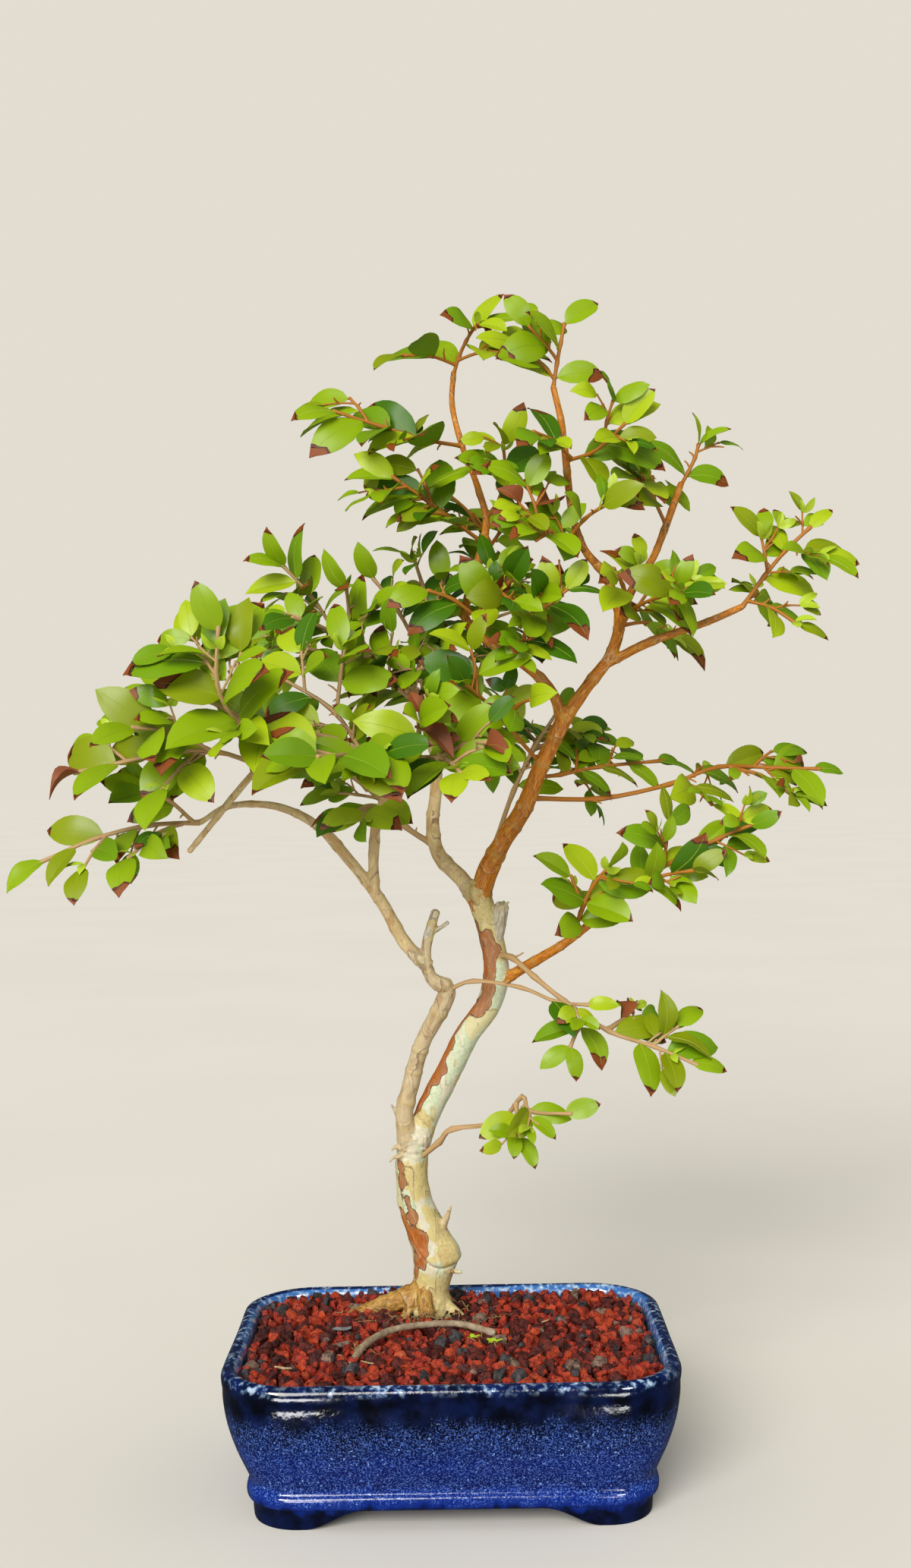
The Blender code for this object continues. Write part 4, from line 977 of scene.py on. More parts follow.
@dataclass
class GlazedPot:
    """A footed rectangular pot with a rolled lip, a bowed wall, a base band and two drain holes."""

    width: float = 0.220
    depth: float = 0.165
    height: float = 0.071
    corner: float = 0.037
    corner_steps: int = 14
    side_steps: int = 9
    foot_height: float = 0.009
    floor_top: float = 0.016
    foot_x: tuple[float, float] = (0.071, 0.042)  # a foot is flat to the first, then curves up to the second
    foot_y: tuple[float, float] = (0.046, 0.022)
    drain_radius: float = 0.007
    drain_spacing: float = 0.090
    unevenness: float = 0.00035
    seed: int = 7
    # Each pair is how far the wall stands in from the widest line, and its height.
    outer: tuple[tuple[float, float], ...] = (
        (0.0158, 0.0),
        (0.0148, 0.0010),
        (0.0140, 0.009),
        (0.0120, 0.0103),
        (0.0113, 0.0125),
        (0.0116, 0.0155),
        (0.0132, 0.0178),
        (0.0105, 0.024),
        (0.0060, 0.034),
        (0.0025, 0.045),
        (0.0008, 0.055),
        (0.0006, 0.0615),
        (0.0001, 0.0645),
        (0.0001, 0.0675),
        (0.0012, 0.0698),
        (0.0036, 0.0709),
    )
    inner: tuple[tuple[float, float], ...] = (
        (0.0060, 0.0704),
        (0.0074, 0.0688),
        (0.0084, 0.0650),
        (0.0090, 0.0550),
        (0.0120, 0.0400),
        (0.0175, 0.0250),
        (0.0230, 0.0160),
    )
    finish: Finish = field(default_factory=lambda: Glaze("cobalt_glaze"))

    def ring(self, inset: float, height: float) -> list[Vector]:
        """A rounded rectangle inside the pot's widest line.

        Args:
            inset: how far inside it lies.
            height: its height.

        Returns:
            Its points, anticlockwise.
        """
        half = Vector((self.width / 2 - inset, self.depth / 2 - inset))
        radius = max(self.corner - inset, 0.004)
        arcs = []
        for corner, signs in enumerate(((1, 1), (-1, 1), (-1, -1), (1, -1))):
            centre = Vector((signs[0] * (half.x - radius), signs[1] * (half.y - radius)))
            for step in range(self.corner_steps + 1):
                turn = math.pi / 2 * (corner + step / self.corner_steps)
                arcs.append(Vector((centre.x + radius * math.cos(turn), centre.y + radius * math.sin(turn), height)))
        points = []
        for place, point in enumerate(arcs):
            points.append(point)
            if place % (self.corner_steps + 1) == self.corner_steps:
                following = arcs[(place + 1) % len(arcs)]
                points += [point.lerp(following, step / self.side_steps) for step in range(1, self.side_steps)]
        return points

    def inset_of(self, point: Vector) -> float:
        """Args: point: a place in the pot. Returns: how far it lies inside the widest line."""
        away = Vector((abs(point.x) - self.width / 2 + self.corner, abs(point.y) - self.depth / 2 + self.corner))
        outside = Vector((max(away.x, 0), max(away.y, 0))).length
        return self.corner - outside - min(max(away.x, away.y), 0)

    def arch(self, foot: tuple[float, float], length: float, along_x: bool) -> bpy.types.Object:
        """A bar whose section is the opening between two bracket feet.

        Args:
            foot: where the foot's flat ends and where its curve ends.
            length: how far the bar reaches to each side.
            along_x: whether it lies along X.

        Returns:
            The cutting bar.
        """
        flat, rise = foot
        steps = 12
        outline = [(flat, -0.004)]
        for step in range(steps):
            share = step / (steps - 1)
            lift = self.foot_height * (1 - math.cos(math.pi * share)) / 2
            outline.append((flat + (rise - flat) * share, lift))
        outline += [(-x, z) for x, z in reversed(outline)]
        rings = [
            [Vector((end, x, z)) if along_x else Vector((x, end, z)) for x, z in outline] for end in (-length, length)
        ]
        bm = bmesh.new()
        loft(bm, rings)
        return carrier("arch", solid("arch", bm))

    def body(self) -> bpy.types.Object:
        """Lofts the pot's body.

        Returns:
            The body before its feet are cut.
        """
        outer = smooth_path([(inset, 0, height) for inset, height in self.outer], 3)
        inner = smooth_path([(inset, 0, height) for inset, height in self.inner], 3)
        bm = bmesh.new()
        loft(bm, [self.ring(point.x, point.z) for point in outer + inner])
        noise.seed_set(self.seed)
        for vert in bm.verts:
            sway = noise.noise_vector(vert.co * 26) * self.unevenness * min(1, vert.co.z / 0.012)
            vert.co += Vector((sway.x, sway.y, sway.z * 0.6 if vert.co.z > 0.05 else 0))
        return carrier("body", solid("body", bm))

    def build(self) -> list[bpy.types.Object]:
        """Cuts feet and drain holes, marks the inside and dresses the pot.

        Returns:
            The finished pot.
        """
        body = self.body()
        cutters = [self.arch(self.foot_x, self.depth, False), self.arch(self.foot_y, self.width, True)]
        for side in (-1, 1):
            bm = bmesh.new()
            middle = side * self.drain_spacing / 2
            path = [Vector((middle, 0, -0.002)), Vector((middle, 0, 2 * self.floor_top))]
            loft(bm, tube_rings(path, (self.drain_radius,) * 2, 24))
            cutters.append(carrier("drain", solid("drain", bm)))
        tools = bpy.data.collections.new("tools")
        for cutter in cutters:
            bpy.context.scene.collection.objects.unlink(cutter)
            tools.objects.link(cutter)
        bpy.context.scene.collection.children.link(tools)
        cut = body.modifiers.new("cut", "BOOLEAN")
        cut.operation = "DIFFERENCE"
        cut.operand_type = "COLLECTION"
        cut.collection = tools
        cut.solver = "EXACT"
        mesh = evaluated_mesh(body)
        drop_kit(tools)
        drop(body)
        walls = ([height for _, height in self.outer], [inset for inset, _ in self.outer])
        inside = [
            float(vert.co.z > 0.020 and self.inset_of(vert.co) > np.interp(vert.co.z, *walls) + 0.0035)
            for vert in mesh.vertices
        ]
        mesh.attributes.new("inside", "FLOAT", "POINT").data.foreach_set("value", inside)
        return [finished("glazed_pot", mesh, self.finish, Slot.GLAZE, ("pot",), 50)]


# Soil


@dataclass
class GritBed:
    """The soil: an uneven bed with crushed lava dealt over it, the largest stones where the solids have them. The bed
    is near black, partly the earth's own tone and partly painted shade in the gaps between stones.
    """

    pot: GlazedPot
    inset: float = 0.0005  # clear of the pot's inner wall
    edge_height: float = 0.0640
    top_height: float = 0.0650
    stone_margin: float = 0.0108
    trunk_foot: tuple[float, float] = (-0.011, 0.040)
    seed: int = 11
    # Each layer is how high it lies over the bed, its hole round the trunk, its spacing and its stones' sizes.
    layers: tuple[tuple[float, float, float, float, float], ...] = (
        (0.0006, 0.015, 0.0058, 0.0060, 0.0108),
        (0.0034, 0.022, 0.0066, 0.0056, 0.0106),
        (0.0050, 0.024, 0.0100, 0.0022, 0.0044),
    )
    main_spacing: float = 0.023
    main_jitter: float = 0.006
    main_radii: tuple[float, float] = (0.0038, 0.0068)
    main_rises: tuple[float, float] = (0.0020, 0.0034)
    main_seed: int = 5
    wall_clearance: float = 0.0175
    root_clearance: float = 0.0110
    tones: tuple[tuple[str, float, float, Finish], ...] = (
        ("lava_red", 0.0, 0.42, Mineral("lava_red", "bc3414", "681005", "cb5630")),
        ("lava_orange", 0.42, 0.66, Mineral("lava_orange", "c64214", "80200a", "d2683a")),
        ("lava_dark", 0.66, 0.95, Mineral("lava_dark", "6c1d10", "290703", "863422")),
        ("pumice", 0.95, 0.97, Mineral("pumice", "927868", "4f3a32", "ab9584")),
        ("basalt", 0.97, 1.0, Mineral("basalt", "4c454a", "1e1b1e", "6f676e")),
    )
    # Near black: the earth's own tone and painted shade in the gaps between the stones. The crumbs round the trunk
    # share it.
    earth: Finish = field(default_factory=lambda: Mineral("dark_earth", "28110a", "0a0403", "3a1e12"))

    def bed(self) -> bpy.types.Mesh:
        """Fills the pot clear of its wall, with an uneven top.

        Returns:
            The closed bed.
        """
        rings = [
            self.pot.ring(inset + self.inset, height)
            for inset, height in reversed(self.pot.inner)
            if height < self.edge_height
        ]
        rings[0] = [point + Vector((0, 0, self.inset)) for point in rings[0]]
        rim = self.pot.ring(self.pot.inner[2][0] + self.inset, self.edge_height)
        rings.append(rim)
        shares = (0.985, 0.96, 0.92, 0.86, 0.79, 0.72, 0.64, 0.56, 0.48, 0.40, 0.32, 0.24, 0.16, 0.09, 0.03)
        for share in shares:
            rings.append([Vector((point.x * share, point.y * share, self.top(point * share))) for point in rim])
        bm = bmesh.new()
        loft(bm, rings)
        return solid("bed", bm)

    def top(self, point: Vector) -> float:
        """Args: point: a place on the soil. Returns: the height of the bed there."""
        rough = noise.noise(Vector((point.x * 160, point.y * 160, 3.1))) * 0.0007
        broad = noise.noise(Vector((point.x * 30, point.y * 30, 7.7))) * 0.0008
        near = math.hypot(point.x - self.trunk_foot[0], point.y - self.trunk_foot[1])
        mound = 0.0028 * max(0.0, 1 - near / 0.05)
        rim = 0.0012 * max(0.0, 1 - (self.pot.inset_of(point) - 0.009) / 0.02)
        return self.top_height + rough + broad + mound - rim

    def surface(self, lift: float, hole: float, reach: float = 1.0) -> bpy.types.Object:
        """A sheet over the bed that stones are dealt on.

        Args:
            lift: how far it lies over the bed.
            hole: how far it stays off the trunk's foot.
            reach: how far it reaches from there.

        Returns:
            The sheet, which is a helper.
        """
        bm = bmesh.new()
        bmesh.ops.create_grid(bm, x_segments=74, y_segments=56, size=1)
        for vert in bm.verts:
            vert.co = Vector((vert.co.x * self.pot.width / 2, vert.co.y * self.pot.depth / 2, 0))
        foot = Vector((*self.trunk_foot, 0))
        gone = [
            vert
            for vert in bm.verts
            if self.pot.inset_of(vert.co) < self.stone_margin or not hole < (vert.co - foot).length < reach
        ]
        bmesh.ops.delete(bm, geom=gone, context="VERTS")
        for vert in bm.verts:
            vert.co.z = self.top(vert.co) + lift
        return carrier("sheet", solid("sheet", bm))

    def near_roots(self, place: Vector) -> bool:
        """Args: place: a place on the soil. Returns: whether it lies near the trunk's foot or a root."""
        foot = Vector(self.trunk_foot)
        lines = [(foot, metres([limb.path[-1]])[0].xy) for limb in SPURS if limb.name.startswith("root")]
        path = [point.xy for point in metres(SurfaceRoot.path)]
        for start, end in lines + list(zip(path, path[1:])):
            share = held(intersect_point_line(place, start, end)[1])
            if (start.lerp(end, share) - place).length < self.root_clearance:
                return True
        return False

    def main_stones(self) -> list[tuple[int, Dealt]]:
        """Returns: the largest stones on the same jittered lattice as in the solids, each with its tone's number."""
        rng, shaper = random.Random(self.main_seed), random.Random(self.main_seed + 2)
        rows, columns = (int(size / 2 / self.main_spacing) + 1 for size in (self.pot.depth, self.pot.width))
        shares = [end - start for _, start, end, _ in self.tones]
        stones = []
        for row in range(-rows, rows + 1):
            for column in range(-columns, columns + 1):
                place = Vector((column + row % 2 / 2, row * math.sqrt(0.75))) * self.main_spacing
                place += Vector([rng.uniform(-self.main_jitter, self.main_jitter) for _ in range(2)])
                radius, rise = rng.uniform(*self.main_radii), rng.uniform(*self.main_rises)
                turn = Matrix.Rotation(rng.uniform(0, math.tau), 3, "Z")
                if self.pot.inset_of(place) < self.wall_clearance or self.near_roots(place):
                    continue
                size = radius * shaper.uniform(1.6, 2.0)
                tilt = turn @ Matrix.Rotation(shaper.uniform(-0.4, 0.4), 3, "X")
                spot = Vector((*place, GROUND + rise - size * 0.36))
                tone = shaper.choices(range(len(shares)), shares)[0]
                axes = tuple(tilt.col[i] for i in range(3))
                stones.append((tone, Dealt(spot, axes, (size,) * 3, shaper.randrange(9))))
        return stones

    def stones(self, count: int, points: int, flat: float, seed: int) -> bpy.types.Collection:
        """Makes angular stones as convex hulls.

        Args:
            count: how many forms there are.
            points: how many points each hull is made of.
            flat: the height of a stone as a share of its length.
            seed: the seed of their shapes.
        """
        rng = random.Random(seed)
        meshes = []
        for number in range(count):
            bm = bmesh.new()
            shape = Vector((1.0, rng.uniform(0.7, 0.95), flat * rng.uniform(0.8, 1.2)))
            for _ in range(points):
                way = Vector([rng.gauss(0, 1) for _ in range(3)]).normalized() * rng.uniform(0.40, 0.56)
                bm.verts.new(way * shape)
            hull = bmesh.ops.convex_hull(bm, input=bm.verts)
            loose = [item for item in hull["geom_interior"] if isinstance(item, bmesh.types.BMVert)]
            bmesh.ops.delete(bm, geom=loose, context="VERTS")
            meshes.append(solid(f"stone_{number}", bm))
        return kit_of("stone", meshes)

    def scattered(self, kit: bpy.types.Collection, layer: int, start: float, end: float, finish: Finish) -> bpy.types.Mesh:
        """Args: kit, layer, start, end, finish: what is dealt where. Returns: that layer's stones of one tone."""
        lift, hole, spacing, smallest, largest = self.layers[layer]
        sheet = self.surface(lift, hole)
        values = {
            "Kit": kit,
            "Spacing": spacing,
            "Smallest": smallest,
            "Largest": largest,
            "Tone From": start,
            "Tone To": end,
            "Seed": self.seed + 40 * layer,
            "Finish": finish.material(),
        }
        mesh = run_tree(sheet, scatter_tree(), values)
        drop(sheet)
        return mesh

    def build(self) -> list[bpy.types.Object]:
        """Returns: the bed, the stones in five tones and the crumbs of earth round the trunk."""
        pieces = [finished("soil_bed", self.bed(), self.earth, Slot.SOIL, ("soil",))]
        kit = self.stones(9, 19, 0.76, self.seed)
        main = self.main_stones()
        for number, (name, start, end, finish) in enumerate(self.tones):
            meshes = [self.scattered(kit, layer, start, end, finish) for layer in range(len(self.layers))]
            meshes.append(deal([thing for tone, thing in main if tone == number], kit, finish))
            pieces.append(finished(name, joined(meshes), finish, Slot.SOIL, crease=42))
        sheet = self.surface(0.0036, 0.009, 0.036)
        values = {"Kit": kit, "Spacing": 0.0025, "Smallest": 0.0014, "Largest": 0.0040, "Seed": self.seed}
        crumbs = run_tree(sheet, scatter_tree(), {**values, "Tone From": 0.0, "Tone To": 0.55, "Finish": self.earth.material()})
        pieces.append(finished("earth_crumbs", crumbs, self.earth, Slot.SOIL, crease=60))
        drop(sheet)
        drop_kit(kit)
        return pieces


def joined(meshes: Sequence[bpy.types.Mesh]) -> bpy.types.Mesh:
    """Joins meshes in one.

    Args:
        meshes: the meshes.

    Returns:
        The joined mesh.
    """
    bm = bmesh.new()
    for mesh in meshes:
        bm.from_mesh(mesh)
    made = bpy.data.meshes.new(meshes[0].name)
    bm.to_mesh(made)
    bm.free()
    return made
# Trunk and limbs


class Zone(Enum):
    """The bark that each part of the plant has."""

    PALE = "pale"
    TAN = "tan"
    ORANGE = "orange"
    FOOT = "foot"
    GREY = "grey"


class Limb(NamedTuple):
    """A tapering limb: its path from inside its parent to its tip and the radii spread along it, in millimetres."""

    name: str
    path: tuple[tuple[float, float, float], ...]
    radii: tuple[float, ...]
    zone: Zone = Zone.TAN


TRUNK = Limb(
    "trunk",
    (
        (-11, 40, 62), (-11, 40, 71), (-11, 40, 80), (-9, 41, 96), (-12, 42, 109), (-18, 42, 125),
        (-20, 41, 144), (-18, 40, 162),
    ),
    (12.2, 11.2, 9.8, 11.6, 10.6, 9.0, 8.4, 8.6),
    Zone.PALE,
)

LIMBS = (
    Limb(
        "stem_right",
        (
            (-18, 40, 155), (-10, 38, 176), (1, 35, 197), (10, 32, 215), (21, 31, 230), (26, 30, 246),
            (24, 30, 266), (17, 30, 291),
        ),
        (7.2, 6.8, 6.4, 6.7, 6.2),
        Zone.PALE,
    ),
    Limb(
        "stem_left",
        (
            (-17, 38, 156), (-23, 34, 172), (-20, 32, 188), (-13, 26, 212), (-3, 21, 231), (0, 19, 241),
            (-8, 18, 248), (-10, 17, 262), (-5, 18, 281),
        ),
        (4.8, 4.4, 4.2, 4.6, 3, 2.4),
        Zone.TAN,
    ),
    Limb(
        "bough_left",
        (
            (-9, 18, 253), (-21, 16, 266), (-33, 13, 288), (-49, 8, 310), (-64, 2, 327), (-83, -6, 337),
            (-105, -14, 338), (-120, -20, 330),
        ),
        (3.7, 3.2, 2.7, 1.9, 1.4),
        Zone.TAN,
    ),
    Limb(
        "bough_left_up",
        ((-36, 12, 292), (-36, 10, 310), (-34, 6, 328), (-29, 2, 341), (-20, -4, 353)),
        (3, 2.6, 2.4),
        Zone.TAN,
    ),
    Limb(
        "bough_front",
        ((-21, -3, 351), (-30, -18, 361), (-41, -33, 365), (-51, -48, 369)),
        (2.2, 1.8, 1.5),
        Zone.TAN,
    ),
    Limb(
        "bough_left_cross",
        ((-44, -37, 366), (-66, -47, 364), (-85, -51, 358), (-121, -48, 317)),
        (1.9, 1.8, 1.5),
        Zone.TAN,
    ),
    Limb(
        "bough_centre",
        ((17, 31, 286), (9, 34, 297), (-3, 41, 310), (-6, 48, 326), (-4, 55, 344), (-4, 62, 362)),
        (4.6, 4, 3.4, 3.1),
        Zone.TAN,
    ),
    Limb(
        "bough_centre_left",
        ((-4, 62, 360), (-10, 68, 380), (-14, 74, 393), (-24, 81, 403), (-43, 90, 416)),
        (2.2, 1.8, 1.4),
        Zone.TAN,
    ),
    Limb(
        "bough_centre_right",
        ((-4, 62, 359), (6, 65, 371), (15, 68, 381), (19, 71, 396), (21, 74, 409)),
        (2.6, 2.1, 1.7),
        Zone.TAN,
    ),
    Limb(
        "bough_right",
        ((17, 30, 285), (23, 30, 302), (31, 30, 317), (42, 29, 334), (51, 28, 355), (64, 26, 381)),
        (5.4, 4.9, 4.4, 4.1),
        Zone.ORANGE,
    ),
    Limb(
        "bough_top_right",
        ((63, 26, 379), (76, 24, 397), (87, 22, 411), (92, 22, 424), (93, 22, 436)),
        (3.6, 3.2, 2.8),
        Zone.ORANGE,
    ),
    Limb(
        "bough_top_left",
        ((63, 26, 378), (57, 26, 395), (44, 28, 408), (28, 32, 419), (16, 36, 428)),
        (3.1, 2.6, 2.1),
        Zone.ORANGE,
    ),
    Limb(
        "bough_far_right",
        ((86, 22, 408), (104, 18, 417), (121, 14, 423), (137, 10, 428), (154, 6, 435)),
        (2.5, 2.1, 1.7),
        Zone.ORANGE,
    ),
    Limb(
        "leader_left",
        (
            (17, 36, 427), (13, 39, 437), (17, 42, 455), (25, 47, 484), (21, 50, 505), (13, 52, 528),
            (8, 54, 550), (9, 54, 568),
        ),
        (2.4, 2.1, 1.7, 1.4),
        Zone.ORANGE,
    ),
    Limb(
        "leader_mid",
        (
            (93, 22, 434), (86, 20, 453), (75, 18, 467), (69, 16, 484), (66, 14, 511), (64, 14, 531),
            (60, 14, 550),
        ),
        (2.6, 2.2, 1.9, 1.6),
        Zone.ORANGE,
    ),
    Limb(
        "leader_right",
        ((93, 22, 433), (102, 28, 450), (112, 34, 464), (120, 40, 482), (126, 44, 497), (129, 46, 505)),
        (2.4, 2, 1.6),
        Zone.ORANGE,
    ),
    Limb(
        "bough_low_right",
        ((26, 30, 242), (34, 26, 247), (46, 18, 255), (61, 8, 265), (78, -2, 279), (86, -6, 286)),
        (3.2, 2.7, 2.2, 1.8),
        Zone.ORANGE,
    ),
)

PLANS = {limb.name: limb for limb in (TRUNK, *LIMBS)}
SPURS = (
    Limb("root_left", ((-11, 40, 80), (-36, 38, 72.5), (-59, 36, 66)), (6.8, 5.0, 1.8), Zone.FOOT),
    Limb("root_front", ((-14, 35, 82), (-13, 27, 72), (-11, 18, 65.5)), (4.4, 4.4, 1.6), Zone.FOOT),
    Limb("side_root", ((-17, 38, 84), (-21, 34, 74), (-27, 27, 66)), (3.8, 3.4, 1.6), Zone.FOOT),
    Limb("root_right", ((-11, 40, 80), (-1, 35, 71), (9, 30, 65.5)), (4.8, 3.6, 1.6), Zone.PALE),
    Limb("root_back_right", ((-11, 40, 80), (-3, 49, 71), (4, 56, 65.5)), (5.0, 4.0, 1.6), Zone.FOOT),
    Limb("root_back_left", ((-11, 40, 80), (-19, 50, 71), (-26, 58, 65.5)), (5.0, 4.0, 1.6), Zone.FOOT),
    Limb("thorn", ((-6, 40, 110), (-2.5, 38, 117), (0.5, 37, 124.5)), (3.4, 1.9, 0.6), Zone.TAN),
    Limb("stub_right", ((24, 30, 258), (27.6, 27, 273), (29.4, 25.5, 282.5)), (4.6, 3.9, 4.0), Zone.GREY),
    Limb("fray_a", ((28, 24, 280), (27.4, 23, 284.5), (26.6, 22.6, 285.5)), (1.2, 0.7, 0.4), Zone.GREY),
    Limb("fray_b", ((31, 24.6, 280), (32, 23.8, 284.6), (33.4, 23.4, 285)), (1.2, 0.6, 0.4), Zone.GREY),
    Limb("fray_c", ((30, 28, 281), (30.6, 29, 285), (31.4, 29.6, 285.6)), (1.4, 0.8, 0.4), Zone.GREY),
    Limb("stub_left", ((-9, 17.4, 268), (-6.6, 17.8, 276), (-5, 18, 281)), (2.6, 2.3, 2.5), Zone.GREY),
    Limb("nub_left", ((-6, 17.8, 271), (-2.4, 17.6, 273), (1.4, 17.2, 275.6)), (1.4, 1.1, 1.2), Zone.GREY),
    Limb("peg_low", ((-6, 36, 91.5), (1.5, 34, 90.8), (5.4, 33.5, 90.7)), (1.2, 0.9, 0.8), Zone.PALE),
    Limb("spur_left", ((-23, 36, 152), (-28, 33.5, 151.5), (-31.5, 32.5, 149.4)), (2.6, 1.0, 0.4), Zone.TAN),
    Limb("curl_left", ((-24, 36, 157), (-28.6, 34, 156.6), (-30, 33.4, 154.8)), (1.5, 0.8, 0.4), Zone.TAN),
    Limb("spur_high", ((-24, 36, 168), (-28.5, 34, 176.5), (-30, 33, 179.5)), (1.4, 0.8, 0.5), Zone.GREY),
    Limb("knot_front", ((-13.5, 34, 155), (-12.8, 33, 159), (-12.6, 33, 162.5)), (1.6, 2.2, 1.3), Zone.GREY),
    Limb("heel_left", ((-19.5, 40, 142), (-21.5, 37.5, 156), (-23, 34, 170)), (4.6, 5.2, 4.6), Zone.TAN),
)


class Peel(NamedTuple):
    """A peeled strip: its heights, its turn round the limb at each, its half width in degrees, and how fresh it is."""

    low: float
    high: float
    turn_low: float
    turn_high: float
    half: float
    fresh: float = 1.0


class Knob(NamedTuple):
    """A swelling or hollow: its middle, its reach, its height, and how rough its skin is."""

    place: tuple[float, float, float]
    reach: float
    height: float
    rough: float = 0.0


class Crease(NamedTuple):
    """A fold round the trunk: its lowest height, where along X that is, how it bows up, its depth and its lip."""

    height: float
    middle: float
    bow: float
    depth: float
    lip: float


def metres(points: Sequence[Sequence[float]]) -> list[Vector]:
    """Args: points: places in millimetres. Returns: the same places in metres."""
    return [Vector([value / 1000 for value in point]) for point in points]


def held(value: float) -> float:
    """Args: value: a number. Returns: it, held between 0 and 1."""
    return min(1.0, max(0.0, value))


@dataclass
class Bark:
    """One skin over several limbs, with its folds and peeled strips in the mesh."""

    name: str
    limbs: tuple[Limb, ...]
    finish: Finish
    slot: Slot
    voxel: float
    collars: tuple[tuple[str, float], ...] = ()  # limbs of another skin, and how much of each this one wraps
    spurs: tuple[Limb, ...] = ()
    knobs: tuple[Knob, ...] = ()
    creases: tuple[Crease, ...] = ()
    peels: tuple[Peel, ...] = ()
    relief: float = 0.00030
    peel_depth: float = 0.00030
    peel_reach: float = 0.003
    steps: int = 22
    sides: int = 24
    node_spacing: float = 0.017
    node_swell: float = 0.13
    blend: float = 0.0011

    def node(self, arc: float) -> float:
        """Args: arc: how far along a limb. Returns: how near it is to one of the limb's nodes, at most 1."""
        off = (arc / self.node_spacing + 0.22 * math.sin(arc * 130)) % 1 - 0.5
        return math.exp(-((off * self.node_spacing / 0.0011) ** 2))

    def tube(self, limb: Limb, reach: float = 1.0, wrap: float = 0.0) -> tuple[list[Vector], list[float]]:
        """Reads a limb's middle line and radii.

        Args:
            limb: the limb.
            reach: how much of its length is read, in metres.
            wrap: how far it is swollen.

        Returns:
            Its path and the radius at each point.
        """
        path = smooth_path(metres(limb.path), self.steps if len(limb.path) > 3 else 12)
        radii, arc = [], 0.0
        for point, last, radius in zip(path, [path[0], *path], spread(limb.radii, len(path))):
            arc += (point - last).length
            swell = 1 + 0.06 * noise.noise(point * 110) + wrap
            if limb.zone in (Zone.TAN, Zone.ORANGE) and limb.name in PLANS:
                swell += self.node_swell * self.node(arc)
            radii.append(radius / 1000 * swell)
            if arc > reach:
                break
        return path[: len(radii)], radii

    def tubes(self) -> list[tuple[Zone, list[Vector], list[float]]]:
        """Returns: the zone, path and radii of every tube that the skin is made of."""
        whole = [(limb.zone, *self.tube(limb)) for limb in (*self.limbs, *self.spurs)]
        return whole + [(PLANS[name].zone, *self.tube(PLANS[name], reach, 0.07)) for name, reach in self.collars]

    def skin(self) -> bpy.types.Mesh:
        """Returns: the plain skin, fused from the tubes by a voxel remesh."""
        bm = bmesh.new()
        for _, path, radii in self.tubes():
            add_tube(bm, path, radii, self.sides)
        body = carrier(self.name, solid(self.name, bm))
        remesh = body.modifiers.new("fuse", "REMESH")
        remesh.mode = "VOXEL"
        remesh.voxel_size = self.voxel
        soften = body.modifiers.new("soften", "SMOOTH")
        soften.factor = 0.6
        soften.iterations = 4
        mesh = evaluated_mesh(body)
        drop(body)
        return mesh

    def read(self, points: np.ndarray) -> dict[str, np.ndarray]:
        """Finds where points of the skin lie on the limbs.

        Args:
            points: the points.

        Returns:
            For each its offset from the middle line, its place in the straightened limb, and each zone's share.
        """
        rows = []
        for zone, path, radii in self.tubes():
            arc = 0.0
            sides = [(ring[0] - point).normalized() for ring, point in zip(tube_rings(path, radii, 4), path)]
            for point, last, way, side, radius in zip(path, [path[0], *path], tangents(path), sides, radii):
                arc += (point - last).length
                rows.append((*point, *way, *side, *way.cross(side), radius, arc, list(Zone).index(zone)))
        table = np.array(rows)
        line, ways, sides, others = (table[:, i : i + 3] for i in (0, 3, 6, 9))
        offsets, flows, shares = np.empty_like(points), np.empty_like(points), np.zeros((len(points), len(Zone)))
        for start in range(0, len(points), 4000):
            block = points[start : start + 4000]
            square = (block**2).sum(axis=1)[:, None] + (line**2).sum(axis=1)[None, :] - 2 * block @ line.T
            away = np.sqrt(np.maximum(square, 0)) - table[:, 12][None, :]
            best = away.argmin(axis=1)
            offset = block - line[best]
            along = (offset * ways[best]).sum(axis=1)
            offset -= ways[best] * along[:, None]
            end = start + len(block)
            offsets[start:end] = offset
            across = [(offset * axis[best]).sum(axis=1) for axis in (sides, others)]
            flows[start:end] = np.stack([*across, table[best, 13] + along], axis=1)
            for number in range(len(Zone)):
                own = away[:, table[:, 14] == number]
                if own.size:
                    shares[start:end, number] = np.exp((away.min(axis=1) - own.min(axis=1)) / self.blend)
        shares /= shares.sum(axis=1)[:, None]
        return {"offset": offsets, "flow": flows, "shares": shares}

    def peeled(self, point: Vector, turn: float, radius: float) -> float:
        """How deep a place lies inside a peeled strip.

        Args:
            point: the place.
            turn: its turn round the limb in degrees, with 0 to the right and -90 to the front.
            radius: the limb's radius there.

        Returns:
            0.5 on the strip's edge, more inside it and less outside.
        """
        ragged = noise.noise(point * 170) * 0.0024 + noise.noise(point * 75 + Vector((3, 3, 3))) * 0.0044
        deepest = 0.0
        for peel in self.peels:
            half = (peel.high - peel.low) / 2
            rise = (point.z - peel.low) / half - 1
            if abs(rise) < 1.5:
                middle = peel.turn_low + (peel.turn_high - peel.turn_low) * (rise + 1) / 2
                off = abs((turn - middle + 180) % 360 - 180) / peel.half
                inside = 1 - (off**3 + abs(rise) ** 3) ** (1 / 3)
                deep = held(0.5 + (inside * min(half, math.radians(peel.half) * radius) + ragged) / self.peel_reach / 2)
                deepest = max(deepest, min(deep, 0.5 + peel.fresh / 2))
        return deepest

